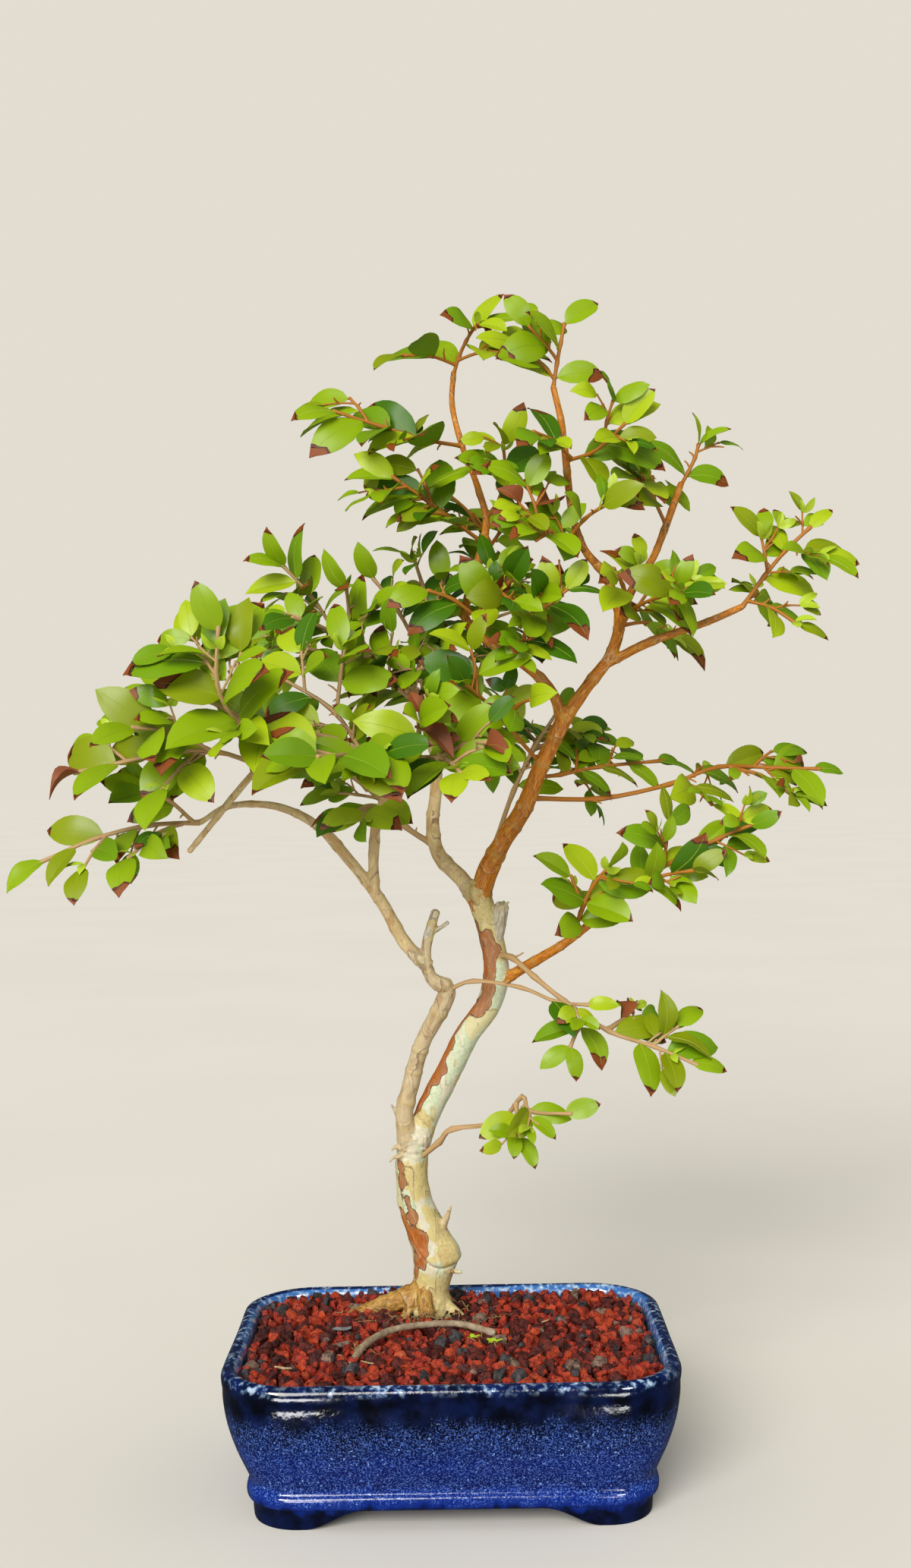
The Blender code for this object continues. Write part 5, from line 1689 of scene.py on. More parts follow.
    def dress(self, mesh: bpy.types.Mesh) -> None:
        """Presses relief into the skin and writes its zones, nodes and peeled places on it.

        Args:
            mesh: the plain skin, which is changed.
        """
        points, normals = np.empty(len(mesh.vertices) * 3), np.empty(len(mesh.vertices) * 3)
        mesh.vertices.foreach_get("co", points)
        mesh.vertex_normals.foreach_get("vector", normals)
        points, normals = points.reshape(-1, 3), normals.reshape(-1, 3)
        found = self.read(points)
        turns = np.degrees(np.arctan2(found["offset"][:, 1], found["offset"][:, 0]))
        widths = np.linalg.norm(found["offset"], axis=1)
        lifts, peels = [], []
        for place, turn, radius, pale in zip(points, turns, widths, found["shares"][:, 0]):
            point = Vector(place)
            lift = self.relief * (noise.fractal(point * 130, 1.0, 2.0, 4) * 0.7 + noise.noise(point * 45) * 0.7)
            if self.peels:
                peels.append(self.peeled(point, turn, radius) * held(pale * 3 - 1))
                lift -= held((peels[-1] - 0.44) / 0.12) * self.peel_depth
            for knob in self.knobs:
                away = (point - Vector(knob.place)).length / knob.reach
                if away < 3:
                    lift += math.exp(-away * away) * (knob.height + knob.rough * noise.noise(point * 420))
            for crease in self.creases:
                over = point.z - crease.height - crease.bow * (point.x - crease.middle) ** 2
                over += noise.noise(point * 60) * 0.0012
                lift -= crease.depth * math.exp(-((over / 0.0007) ** 2))
                lift += crease.lip * math.exp(-(((over - 0.0022) / 0.0020) ** 2)) * (over > 0)
            lifts.append(lift)
        points += normals * np.array(lifts)[:, None]
        mesh.vertices.foreach_set("co", points.ravel())
        marks = {zone.value: found["shares"][:, number] for number, zone in enumerate(Zone)}
        marks["peel"] = np.array(peels or np.zeros(len(points)))
        marks["node"] = np.array([self.node(arc) for arc in found["flow"][:, 2]]) * (1 - marks["pale"])
        for label, values in marks.items():
            mesh.attributes.new(label, "FLOAT", "POINT").data.foreach_set("value", values)
        mesh.attributes.new("flow", "FLOAT_VECTOR", "POINT").data.foreach_set("vector", found["flow"].ravel())
        mesh.update()

    def build(self) -> list[bpy.types.Object]:
        """Returns: the finished skin."""
        mesh = self.skin()
        self.dress(mesh)
        return [finished(self.name, mesh, self.finish, self.slot, [limb.name for limb in self.limbs], 180)]


BOUGH_TANS = ("a98352", "c4a273", "d4bc8e", "bc9662", "dcc896", "c8985c")


def barks() -> list[Bark]:
    """Returns: the skin of the trunk with its two stems, and the skins of the boughs."""
    lower = ("trunk", "stem_right", "stem_left")
    trunk = Bark(
        "trunk_bark",
        tuple(PLANS[name] for name in lower),
        BarkFinish("peeling_bark"),
        Slot.BARK,
        0.00055,
        collars=(("bough_right", 0.0225), ("bough_centre", 0.010), ("bough_low_right", 0.011), ("bough_left", 0.011)),
        spurs=SPURS,
        knobs=(
            Knob((0.0010, 0.037, 0.1010), 0.0070, 0.0034),
            Knob((-0.0185, 0.040, 0.0985), 0.0060, -0.0008),
            Knob((-0.0010, 0.034, 0.1120), 0.0040, -0.0009, 0.0006),
            Knob((-0.0200, 0.036, 0.1560), 0.0090, 0.0002, 0.0009),
            Knob((-0.0120, 0.033, 0.1580), 0.0040, 0.0002, 0.0007),
            Knob((-0.0010, 0.019, 0.2420), 0.0060, 0.0006, 0.0009),
            Knob((0.0300, 0.026, 0.2820), 0.0050, 0.0000, 0.0010),
            Knob((0.0260, 0.028, 0.2440), 0.0060, 0.0003, 0.0006),
            Knob((-0.0360, 0.037, 0.0720), 0.0220, 0.0000, 0.0010),
            Knob((-0.0110, 0.026, 0.0700), 0.0080, 0.0000, 0.0013),
        ),
        creases=(Crease(0.0928, -0.005, 62.0, 0.0010, 0.0007), Crease(0.1580, -0.018, -60.0, 0.0003, 0.0002)),
        peels=(
            Peel(0.1220, 0.1530, -130, -126, 24, 0.26),
            Peel(0.1140, 0.1400, -108, -112, 22, 0.24),
            Peel(0.0960, 0.1270, -136, -160, 25),
            Peel(0.1010, 0.1150, -126, -116, 28),
            Peel(0.0800, 0.0950, -150, -152, 16),
            Peel(0.1560, 0.2400, -180, -164, 44),
            Peel(0.1720, 0.2120, -148, -140, 20, 0.26),
            Peel(0.2200, 0.2690, -128, -108, 34, 0.26),
            Peel(0.2420, 0.2780, -152, -162, 28),
        ),
    )
    boughs = [
        Bark(
            f"{name}_bough_bark",
            tuple(limb for limb in LIMBS if limb.name not in lower and (limb.zone is Zone.ORANGE) == warm),
            BarkFinish("flaking_bark", tan=BOUGH_TANS),
            Slot.BOUGH,
            0.00046,
            relief=0.00022,
            sides=18,
        )
        for name, warm in (("tan", False), ("orange", True))
    ]
    return [trunk, *boughs]


# Foliage


class Mass(NamedTuple):
    """A mass of foliage on one stem, in millimetres. A fork is the share where it leaves and the tip it reaches."""

    name: str
    limb: str
    path: tuple[tuple[float, float, float], ...]
    forks: tuple[tuple[float, tuple[float, float, float]], ...]
    bare: float
    shoots: int
    reach: float
    leaf: float
    radius: float
    seed: int


MASSES = (
    Mass(
        "foliage_left_end", "bough_left",
        ((-120, -20, 330), (-145, -26, 329), (-170, -31, 323), (-196, -34, 312)),
        ((0.1, (-150, -50, 314)), (0.02, (-142, -46, 346))),
        0.4, 1, 26, 33, 1.2, 3,
    ),
    Mass(
        "foliage_left_outer", "bough_left_cross",
        ((-86, -51, 357), (-106, -60, 364), (-132, -64, 363), (-171, -68, 355)),
        ((0.35, (-140, -88, 375)),),
        0.25, 2, 32, 37, 1.2, 5,
    ),
    Mass(
        "foliage_left_front", "bough_front",
        ((-50, -47, 369), (-72, -62, 375), (-93, -76, 378), (-101, -88, 394), (-99, -96, 420)),
        ((0.45, (-134, -58, 392)),),
        0.35, 3, 30, 41, 1.3, 7,
    ),
    Mass(
        "foliage_left_rear", "bough_centre_left",
        ((-43, 90, 416), (-68, 90, 422), (-90, 88, 428), (-116, 86, 438)),
        ((0.1, (-86, 70, 468)), (0.25, (-86, 128, 412))),
        0.35, 2, 32, 31, 1.2, 11,
    ),
    Mass(
        "foliage_left_crown", "bough_centre_left",
        ((-34, 86, 410), (-46, 70, 421), (-60, 52, 430), (-78, 36, 436)),
        ((0.4, (-50, 48, 452)),),
        0.25, 2, 34, 32, 1.2, 13,
    ),
    Mass(
        "foliage_left_shelf", "bough_left_up",
        ((-29, 2, 341), (-40, 6, 362), (-56, 8, 386), (-84, 8, 404)),
        ((0.5, (-98, 20, 380)), (0.62, (-48, 0, 418))),
        0.42, 2, 34, 33, 1.3, 17,
    ),
    Mass(
        "foliage_front_fan", "bough_front",
        ((-38, -30, 364), (-38, -53, 362), (-45, -84, 361), (-54, -112, 360)),
        (),
        0.35, 2, 30, 40, 1.2, 19,
    ),
    Mass(
        "foliage_front_right", "bough_left_up",
        ((-20, -4, 353), (-10, -34, 360), (3, -66, 358), (9, -92, 352)),
        ((0.3, (-10, -80, 376)), (0.55, (22, -78, 366))),
        0.4, 1, 30, 36, 1.3, 23,
    ),
    Mass(
        "foliage_left_under", "bough_left_up",
        ((-34, 6, 328), (-32, -12, 334), (-36, -26, 337), (-46, -32, 333)),
        (),
        0.45, 1, 22, 30, 1, 29,
    ),
    Mass(
        "foliage_centre_low", "bough_centre",
        ((-6, 44, 315), (-21, 50, 325), (-36, 58, 341), (-54, 68, 355)),
        ((0.75, (-66, 50, 364)),),
        0.55, 1, 30, 31, 1.7, 31,
    ),
    Mass(
        "foliage_centre_mid", "bough_centre_left",
        ((-13, 73, 391), (-24, 50, 399), (-32, 34, 409), (-40, 20, 421)),
        ((0.45, (-10, 30, 412)),),
        0.3, 2, 30, 31, 1.2, 37,
    ),
    Mass(
        "foliage_centre_upper", "bough_centre_left",
        ((-16, 75, 396), (-11, 62, 416), (-3, 50, 436), (2, 40, 456)),
        ((0.35, (-36, 52, 458)), (0.6, (-14, 46, 468))),
        0.3, 2, 30, 31, 1.3, 41,
    ),
    Mass(
        "foliage_centre_right", "bough_centre_right",
        ((21, 74, 408), (25, 78, 424), (31, 82, 442), (37, 84, 460)),
        ((0.1, (27, 122, 440)),),
        0.25, 3, 32, 30, 1.2, 43,
    ),
    Mass(
        "foliage_centre_inner", "bough_centre_right",
        ((18, 70, 392), (7, 50, 402), (4, 34, 409), (-1, 14, 414)),
        (),
        0.3, 2, 28, 29, 1.2, 47,
    ),
    Mass(
        "foliage_centre_front", "bough_right",
        ((51, 28, 357), (36, 8, 373), (24, -10, 386), (12, -28, 396)),
        ((0.45, (44, -26, 388)),),
        0.35, 2, 30, 30, 1.1, 53,
    ),
    Mass(
        "foliage_centre_back", "stem_right",
        ((19, 34, 272), (22, 43, 292), (28, 51, 316), (38, 62, 343), (50, 72, 366), (66, 82, 390)),
        ((0.72, (62, 124, 378)), (0.8, (84, 96, 366))),
        0.62, 2, 32, 31, 1.7, 59,
    ),
    Mass(
        "foliage_right_inner", "bough_top_left",
        ((44, 28, 408), (42, 8, 418), (45, -8, 430), (50, -26, 440)),
        (),
        0.25, 2, 30, 31, 1.2, 61,
    ),
    Mass(
        "foliage_top_inner", "bough_top_left",
        ((17, 36, 427), (20, 18, 433), (26, 2, 440), (36, -14, 448)),
        ((0.3, (-6, 8, 446)),),
        0.25, 2, 30, 32, 1.2, 67,
    ),
    Mass(
        "foliage_apex", "leader_left",
        ((9, 54, 567), (12, 53, 576), (16, 51, 584), (20, 49, 590)),
        ((0.25, (36, 38, 574)), (0.12, (-18, 40, 574))),
        0.1, 0, 20, 36, 1, 204,
    ),
    Mass(
        "foliage_upper_left", "leader_left",
        ((13, 52, 528), (-6, 44, 530), (-30, 36, 536), (-54, 30, 543)),
        (),
        0.2, 2, 26, 37, 1.1, 73,
    ),
    Mass(
        "foliage_upper_left_low", "leader_left",
        ((22, 46, 476), (8, 40, 486), (-6, 34, 496), (-24, 28, 508)),
        (),
        0.25, 3, 28, 33, 1.1, 79,
    ),
    Mass(
        "foliage_upper_middle", "leader_left",
        ((25, 48, 488), (33, 38, 499), (35, 30, 511), (34, 24, 524)),
        (),
        0.3, 1, 24, 32, 1, 83,
    ),
    Mass(
        "foliage_back_top", "leader_left",
        ((17, 42, 455), (26, 70, 474), (34, 92, 488), (40, 112, 500)),
        ((0.4, (4, 104, 512)),),
        0.35, 2, 30, 33, 1.2, 89,
    ),
    Mass(
        "foliage_leader_top", "leader_mid",
        ((60, 14, 550), (62, 13, 562), (64, 12, 572), (66, 12, 582)),
        ((0.08, (41, 4, 570)),),
        0.1, 1, 24, 33, 1, 97,
    ),
    Mass(
        "foliage_leader_fan", "leader_mid",
        ((66, 14, 512), (78, 4, 514), (86, -2, 519), (94, -8, 526)),
        ((0.05, (48, -12, 522)),),
        0.2, 1, 24, 33, 1, 101,
    ),
    Mass(
        "foliage_right_inner_top", "leader_mid",
        ((76, 18, 466), (64, 4, 470), (52, -6, 476), (40, -14, 486)),
        ((0.3, (82, -14, 484)),),
        0.3, 2, 28, 32, 1.1, 103,
    ),
    Mass(
        "foliage_right_top", "leader_right",
        ((129, 46, 504), (133, 47, 511), (137, 48, 519), (139, 48, 526)),
        (),
        0.2, 0, 20, 30, 1, 107,
    ),
    Mass(
        "foliage_right_side", "leader_right",
        ((120, 40, 482), (113, 34, 495), (107, 30, 505), (100, 26, 518)),
        ((0.3, (116, 64, 512)),),
        0.3, 1, 24, 33, 1, 109,
    ),
    Mass(
        "foliage_right_cluster", "bough_top_right",
        ((92, 22, 424), (98, 4, 434), (110, -10, 439), (124, -22, 442)),
        ((0.06, (126, 68, 424)), (0.3, (86, -22, 452))),
        0.3, 2, 28, 32, 1.2, 113,
    ),
    Mass(
        "foliage_far_right", "bough_far_right",
        ((154, 6, 435), (165, 4, 450), (176, 2, 463), (188, 0, 474)),
        ((0.04, (180, -6, 424)), (0.06, (170, 36, 440))),
        0.3, 2, 24, 30, 1.1, 127,
    ),
    Mass(
        "foliage_mid_right", "bough_right",
        ((49, 28, 350), (62, 42, 351), (84, 56, 355), (120, 74, 358)),
        ((0.02, (60, 0, 330)), (0.3, (80, 98, 346))),
        0.35, 2, 26, 28, 1.1, 131,
    ),
    Mass(
        "foliage_mid_right_far", "bough_right",
        ((44, 29, 339), (84, 50, 338), (122, 60, 345), (149, 62, 354), (178, 58, 353), (202, 54, 352)),
        ((0.64, (186, 46, 338)), (0.44, (142, 40, 334)), (0.5, (146, 92, 352))),
        0.62, 1, 22, 31, 1.3, 138,
    ),
    Mass(
        "foliage_low_right", "bough_low_right",
        ((86, -6, 286), (98, -9, 296), (116, -15, 308), (136, -21, 318), (152, -26, 325)),
        ((0.03, (122, -30, 303)),),
        0.25, 1, 24, 28, 1.1, 139,
    ),
    Mass(
        "foliage_low_right_inner", "bough_low_right",
        ((66, 5, 268), (68, -10, 282), (74, -18, 296), (82, -24, 306)),
        ((0.2, (78, 34, 286)),),
        0.2, 1, 24, 31, 1, 149,
    ),
    Mass(
        "branch_right", "stem_right",
        (
            (25, 30, 257), (34, 18, 257), (45, 9, 248), (60, 3, 236), (82, -2, 221), (104, -10, 214),
            (124, -18, 206),
        ),
        ((0.58, (62, -6, 214)), (0.66, (100, 14, 226))),
        0.68, 1, 22, 29, 1.7, 151,
    ),
    Mass(
        "branch_front", "stem_left",
        ((0, 19, 240), (14, 11, 246), (38, 5, 243), (56, 0, 236), (72, -6, 235)),
        (),
        0.72, 0, 20, 25, 1.1, 157,
    ),
    Mass(
        "branch_low", "trunk",
        (
            (-16, 37, 150), (-5, 29, 160), (2, 23, 168), (26, 14, 173), (38, 8, 187), (42, 4, 180),
            (62, -3, 180),
        ),
        ((0.62, (36, 0, 168)),),
        0.8, 0, 20, 26, 1.6, 163,
    ),
    Mass(
        "foliage_back_middle", "bough_centre_left",
        ((-10, 69, 381), (-12, 96, 394), (-12, 120, 406), (-18, 146, 414)),
        ((0.4, (12, 140, 404)), (0.45, (-46, 132, 396))),
        0.35, 2, 30, 32, 1.2, 167,
    ),
)


class Twig(NamedTuple):
    """A twig's middle line, its radii at both ends, and the share of it where leaves start."""

    path: list[Vector]
    radii: tuple[float, float]
    leafy_from: float


class Leaf(NamedTuple):
    """A leaf's root, its way, its upper side, its length and its width."""

    root: Vector
    along: Vector
    up: Vector
    length: float
    width: float


class Plant(NamedTuple):
    """What one mass has grown. Each leaf goes with the number of its twig."""

    mass: Mass
    twigs: list[Twig]
    leaves: list[tuple[int, Leaf]]


def square_to(vector: Vector, along: Vector) -> Vector:
    """Args: vector, along: two ways. Returns: the part of the first that is square to the second, at unit length."""
    rest = vector - along * vector.dot(along)
    return rest.normalized() if rest.length > 1e-6 else along.orthogonal().normalized()


def read_path(path: Sequence[Vector], share: float) -> tuple[Vector, Vector]:
    """Reads a place on a path.

    Args:
        path: its points.
        share: the share of its points.

    Returns:
        The place and the path's direction there.
    """
    place = share * (len(path) - 1)
    low = min(int(place), len(path) - 2)
    return path[low].lerp(path[low + 1], place - low), (path[low + 1] - path[low]).normalized()


class Neighbours:
    """Search trees of all that is placed, with the mass that each belongs to."""

    def __init__(self) -> None:
        """Starts with nothing placed."""
        self.placed: list[tuple[Any, BVHTree, Vector, float]] = []

    def add(self, owner: Any, tree: BVHTree, middle: Vector, reach: float) -> None:
        """Places a body.

        Args:
            owner: what it belongs to.
            tree: its search tree.
            middle: its middle.
            reach: how far it reaches from there.
        """
        self.placed.append((owner, tree, middle, reach))

    def clear(self, tree: BVHTree, middle: Vector, reach: float, skip: set[Any]) -> bool:
        """Tests a body against all that is placed.

        Args:
            tree: its search tree.
            middle: its middle.
            reach: how far it reaches from there.
            skip: the owners that aren't tested.

        Returns:
            Whether it touches nothing.
        """
        for owner, other, other_middle, other_reach in self.placed:
            if owner in skip or (middle - other_middle).length > reach + other_reach:
                continue
            if tree.overlap(other):
                return False
        return True


@dataclass
class GrowthRule:
    """The seeded rule that grows each mass from its limb, as in the source of the solids."""

    light_from_above: float = 0.60
    light_from_outside: float = 0.50
    light_from_front: float = 0.70
    crown_middle: tuple[float, float, float] = (0.010, 0.035, 0.400)
    shoot_angles: tuple[float, float] = (35, 60)
    leaf_spacing: float = 0.0145
    leaf_angles: tuple[float, float] = (42, 66)
    tip_angles: tuple[float, float] = (14, 36)
    leaf_droop: tuple[float, float] = (0.0, 0.34)
    leaf_level: float = 0.60
    leaf_width: tuple[float, float] = (0.47, 0.57)
    leaf_thickness: float = 0.020
    leaf_keel: float = 0.14
    leaf_widest: float = 0.42
    tip_fall: float = 0.10
    shoot_radius: float = 0.0009
    missing_leaves: float = 0.12  # fewer than in the solids, where the crown is thinned
    fine_spacing: float = 0.020
    fine_reach: tuple[float, float] = (0.010, 0.018)
    fine_radii: tuple[float, float] = (0.0006, 0.00045)
    fine_leaf: float = 0.66
    stem_step: float = 0.00005
    clearance: float = 0.0006
    gap: float = 0.0003

    def light_at(self, point: Vector) -> Vector:
        """Args: point: a place in the crown. Returns: the way that a leaf's upper side turns there."""
        outward = point - Vector(self.crown_middle)
        outward.z = 0
        if outward.length > 1e-6:
            outward.normalize()
        way = UP * self.light_from_above + outward * self.light_from_outside + FRONT * self.light_from_front
        return way.normalized()

    @staticmethod
    def bent_path(root: Vector, tip: Vector, lift: Vector) -> list[Vector]:
        """Args: root, tip: a twig's ends; lift: how it arches. Returns: its path."""
        return [root, root.lerp(tip, 0.5) + lift * (tip - root).length, tip]

    def side_shoots(self, mass: Mass, stem: Twig, rng: random.Random) -> list[Twig]:
        """Shoots that leave the stem on alternate sides, shorter towards its tip.

        Args:
            mass: the mass that they belong to.
            stem: its stem.
            rng: what deals their angles.

        Returns:
            The shoots.
        """
        shoots = []
        for i in range(mass.shoots):
            share = mass.bare + (0.92 - mass.bare) * (i + rng.uniform(0.25, 0.75)) / mass.shoots
            root, along = read_path(stem.path, share)
            light = square_to(self.light_at(root), along)
            angle = math.radians(rng.uniform(*self.shoot_angles))
            side = along.cross(light) * (1 if i % 2 else -1)
            heading = along * math.cos(angle) + side * math.sin(angle) + light * rng.uniform(-0.25, 0.35)
            reach = mass.reach / 1000 * (1 - 0.35 * share) * rng.uniform(0.85, 1.15)
            tip = root + heading.normalized() * reach
            radii = (self.shoot_radius, self.shoot_radius * 0.75)
            shoots.append(Twig(self.bent_path(root, tip, light * 0.06), radii, 0.42))
        return shoots

    def fine_shoots(self, twigs: Sequence[Twig], rng: random.Random) -> list[Twig]:
        """Short twigs that leave the others by the same rule, finer than in the solids and within their reach.

        Args:
            twigs: the twigs that they leave.
            rng: what deals their places and angles.

        Returns:
            The short twigs.
        """
        shoots = []
        for twig in twigs:
            length = sum((b - a).length for a, b in zip(twig.path, twig.path[1:])) * (1 - twig.leafy_from)
            for _ in range(max(1, round(length / self.fine_spacing))):
                root, along = read_path(twig.path, rng.uniform(max(0.3, twig.leafy_from - 0.1), 0.95))
                light = square_to(self.light_at(root), along)
                angle = math.radians(rng.uniform(*self.shoot_angles))
                side = along.cross(light) * rng.choice((-1, 1))
                heading = along * math.cos(angle) + side * math.sin(angle) + light * rng.uniform(-0.4, 0.6)
                tip = root + heading.normalized() * rng.uniform(*self.fine_reach)
                shoots.append(Twig(self.bent_path(root, tip, light * 0.06), self.fine_radii, 0.35))
        return shoots

    @staticmethod
    def within(point: Vector) -> bool:
        """Args: point: a leaf's tip. Returns: whether it lies in the box of the solids."""
        return all(low <= value <= high for low, value, high in zip(CAD_BOX[0], point + POT_MIDDLE, CAD_BOX[1]))

    def leaves_on(self, twig: Twig, size: float, rng: random.Random) -> list[Leaf]:
        """Opposite pairs of leaves along a twig, and a last pair that points on past its tip.

        Args:
            twig: the twig.
            size: the leaves' usual length.
            rng: what deals their angles and sizes.

        Returns:
            The leaves.
        """
        length = sum((b - a).length for a, b in zip(twig.path, twig.path[1:])) * (1 - twig.leafy_from)
        pairs = max(1, round(length / self.leaf_spacing))
        leaves = []
        for pair in range(pairs + 1):
            share = twig.leafy_from + (0.97 - twig.leafy_from) * pair / pairs
            last = pair == pairs
            root, along = read_path(twig.path, share)
            for hand in (-1, 1):
                angle = math.radians(rng.uniform(*(self.tip_angles if last else self.leaf_angles)))
                light = self.light_at(root) + Vector([rng.uniform(-0.35, 0.35) for _ in range(3)])
                up = square_to(light, along)
                heading = along * math.cos(angle) + along.cross(up) * hand * math.sin(angle)
                heading.z = (heading.z - rng.uniform(*self.leaf_droop)) * self.leaf_level
                heading.normalize()
                length = size * rng.uniform(0.80, 1.12) * (0.80 if last else 1.0)
                width = length * rng.uniform(*self.leaf_width)
                if rng.random() > self.missing_leaves:
                    leaves.append(Leaf(root, heading, square_to(light, heading), length, width))
        return leaves

    def leaf_tree(self, leaf: Leaf, grow: float) -> BVHTree:
        """A leaf's coarse body, as the solids have it.

        Args:
            leaf: the leaf.
            grow: how far it is swollen.

        Returns:
            Its search tree.
        """
        side = leaf.along.cross(leaf.up) * (leaf.width / 2 + grow)

        def at(share: float, lift: float) -> Vector:
            """Args: share, lift: how far along and over the leaf. Returns: the place."""
            return leaf.root + leaf.along * leaf.length * share + leaf.up * lift

        points = [
            at(0.12, grow),
            at(self.leaf_widest, grow) + side,
            at(self.leaf_widest, grow) - side,
            at(self.leaf_keel, -leaf.length * self.leaf_thickness - grow),
            at(1, -leaf.length * self.tip_fall),
        ]
        faces = [(0, 1, 2), (1, 4, 2), (0, 3, 1), (0, 2, 3), (3, 4, 1), (3, 2, 4)]
        return BVHTree.FromPolygons(points, faces)

    @staticmethod
    def twig_tree(twig: Twig, grow: float = 0.0) -> BVHTree:
        """Args: twig, grow: a twig and how far it is swollen. Returns: its search tree."""
        radii = [radius + grow for radius in spread(twig.radii, len(twig.path))]
        bm = bmesh.new()
        loft(bm, tube_rings(twig.path, radii, 3))
        bmesh.ops.triangulate(bm, faces=bm.faces)
        tree = BVHTree.FromBMesh(bm)
        bm.free()
        return tree

    @staticmethod
    def extent(path: Sequence[Vector]) -> tuple[Vector, float]:
        """Args: path: a row of points. Returns: their middle and how far they reach from it."""
        middle = sum(path, Vector()) / len(path)
        return middle, max((point - middle).length for point in path) + 0.004

    def trimmed_stem(self, mass: Mass, skin: BVHTree) -> list[Vector]:
        """The stem's path from the first place where its end stands clear of its limb's skin.

        Args:
            mass: the mass.
            skin: the search tree of its limb.

        Returns:
            The path.
        """
        path = metres(mass.path)
        for i, (here, there) in enumerate(zip(path, path[1:])):
            along = (there - here).normalized()
            for step in range(int((there - here).length / self.stem_step)):
                start = here + along * self.stem_step * step
                ring = tube_rings([start, start + along], (mass.radius / 1000,) * 2, 3)[0]
                found = [(point, skin.find_nearest(point)) for point in (start, *ring)]
                if all(hit[3] >= self.gap and (point - hit[0]).dot(hit[1]) > 0 for point, hit in found):
                    return [start, *path[i + 1 :]]
        return path

    def grow(self, masses: Sequence[Mass], limbs: Sequence[str]) -> list[Plant]:
        """Stems of every mass first, then forks and side shoots, then leaves: each only where it touches nothing.

        Args:
            masses: the masses.
            limbs: the names of the solids that they grow from.

        Returns:
            What each mass has grown.
        """
        around = Neighbours()
        skins = {}
        for name in limbs:
            mesh = frame["nodes"][name].data
            points = [vert.co - POT_MIDDLE for vert in mesh.vertices]
            skins[name] = BVHTree.FromPolygons(points, [face.vertices[:] for face in mesh.polygons])
            around.add(name, skins[name], *self.extent(points))
        plants = []
        for mass in masses:
            stem = Twig(self.trimmed_stem(mass, skins[mass.limb]), (mass.radius / 1000, 0.0009), mass.bare)
            plants.append(Plant(mass, [stem], []))
            around.add((mass.name, 0), self.twig_tree(stem), *self.extent(stem.path))
        for mass, twigs, _ in plants:
            rng = random.Random(mass.seed)
            stem = twigs[0]
            forks = []
            for share, tip in mass.forks:
                root, _ = read_path(stem.path, share)
                radii = (mass.radius / 1000 * 0.85, self.shoot_radius)
                forks.append(Twig(self.bent_path(root, metres([tip])[0], UP * 0.08), radii, 0.40))
            for shoot in forks + self.side_shoots(mass, stem, rng):
                own = {(mass.name, n) for n in range(len(twigs))}
                if around.clear(self.twig_tree(shoot, self.clearance), *self.extent(shoot.path), own):
                    around.add((mass.name, len(twigs)), self.twig_tree(shoot), *self.extent(shoot.path))
                    twigs.append(shoot)
        for mass, twigs, leaves in plants:
            rng = random.Random(mass.seed + 1000)
            for number, twig in enumerate(twigs):
                for leaf in self.leaves_on(twig, mass.leaf / 1000, rng):
                    middle, reach = leaf.root + leaf.along * leaf.length / 2, leaf.length / 2 + 0.002
                    if around.clear(self.leaf_tree(leaf, self.clearance), middle, reach, {(mass.name, number)}):
                        leaves.append((number, leaf))
                        around.add((mass.name, "leaf"), self.leaf_tree(leaf, 0.0), middle, reach)
        for mass, twigs, leaves in plants:
            rng = random.Random(mass.seed + 2000)
            for shoot in self.fine_shoots(tuple(twigs), rng):
                own = {(mass.name, n) for n in range(len(twigs))}
                if not around.clear(self.twig_tree(shoot, self.gap), *self.extent(shoot.path), own):
                    continue
                number = len(twigs)
                twigs.append(shoot)
                around.add((mass.name, number), self.twig_tree(shoot), *self.extent(shoot.path))
                for leaf in self.leaves_on(shoot, mass.leaf / 1000 * self.fine_leaf, rng):
                    middle, reach = leaf.root + leaf.along * leaf.length / 2, leaf.length / 2 + 0.002
                    free = around.clear(self.leaf_tree(leaf, self.gap), middle, reach, {(mass.name, number)})
                    if free and self.within(leaf.root + leaf.along * leaf.length):
                        leaves.append((number, leaf))
                        around.add((mass.name, "leaf"), self.leaf_tree(leaf, 0.0), middle, reach)
        return plants


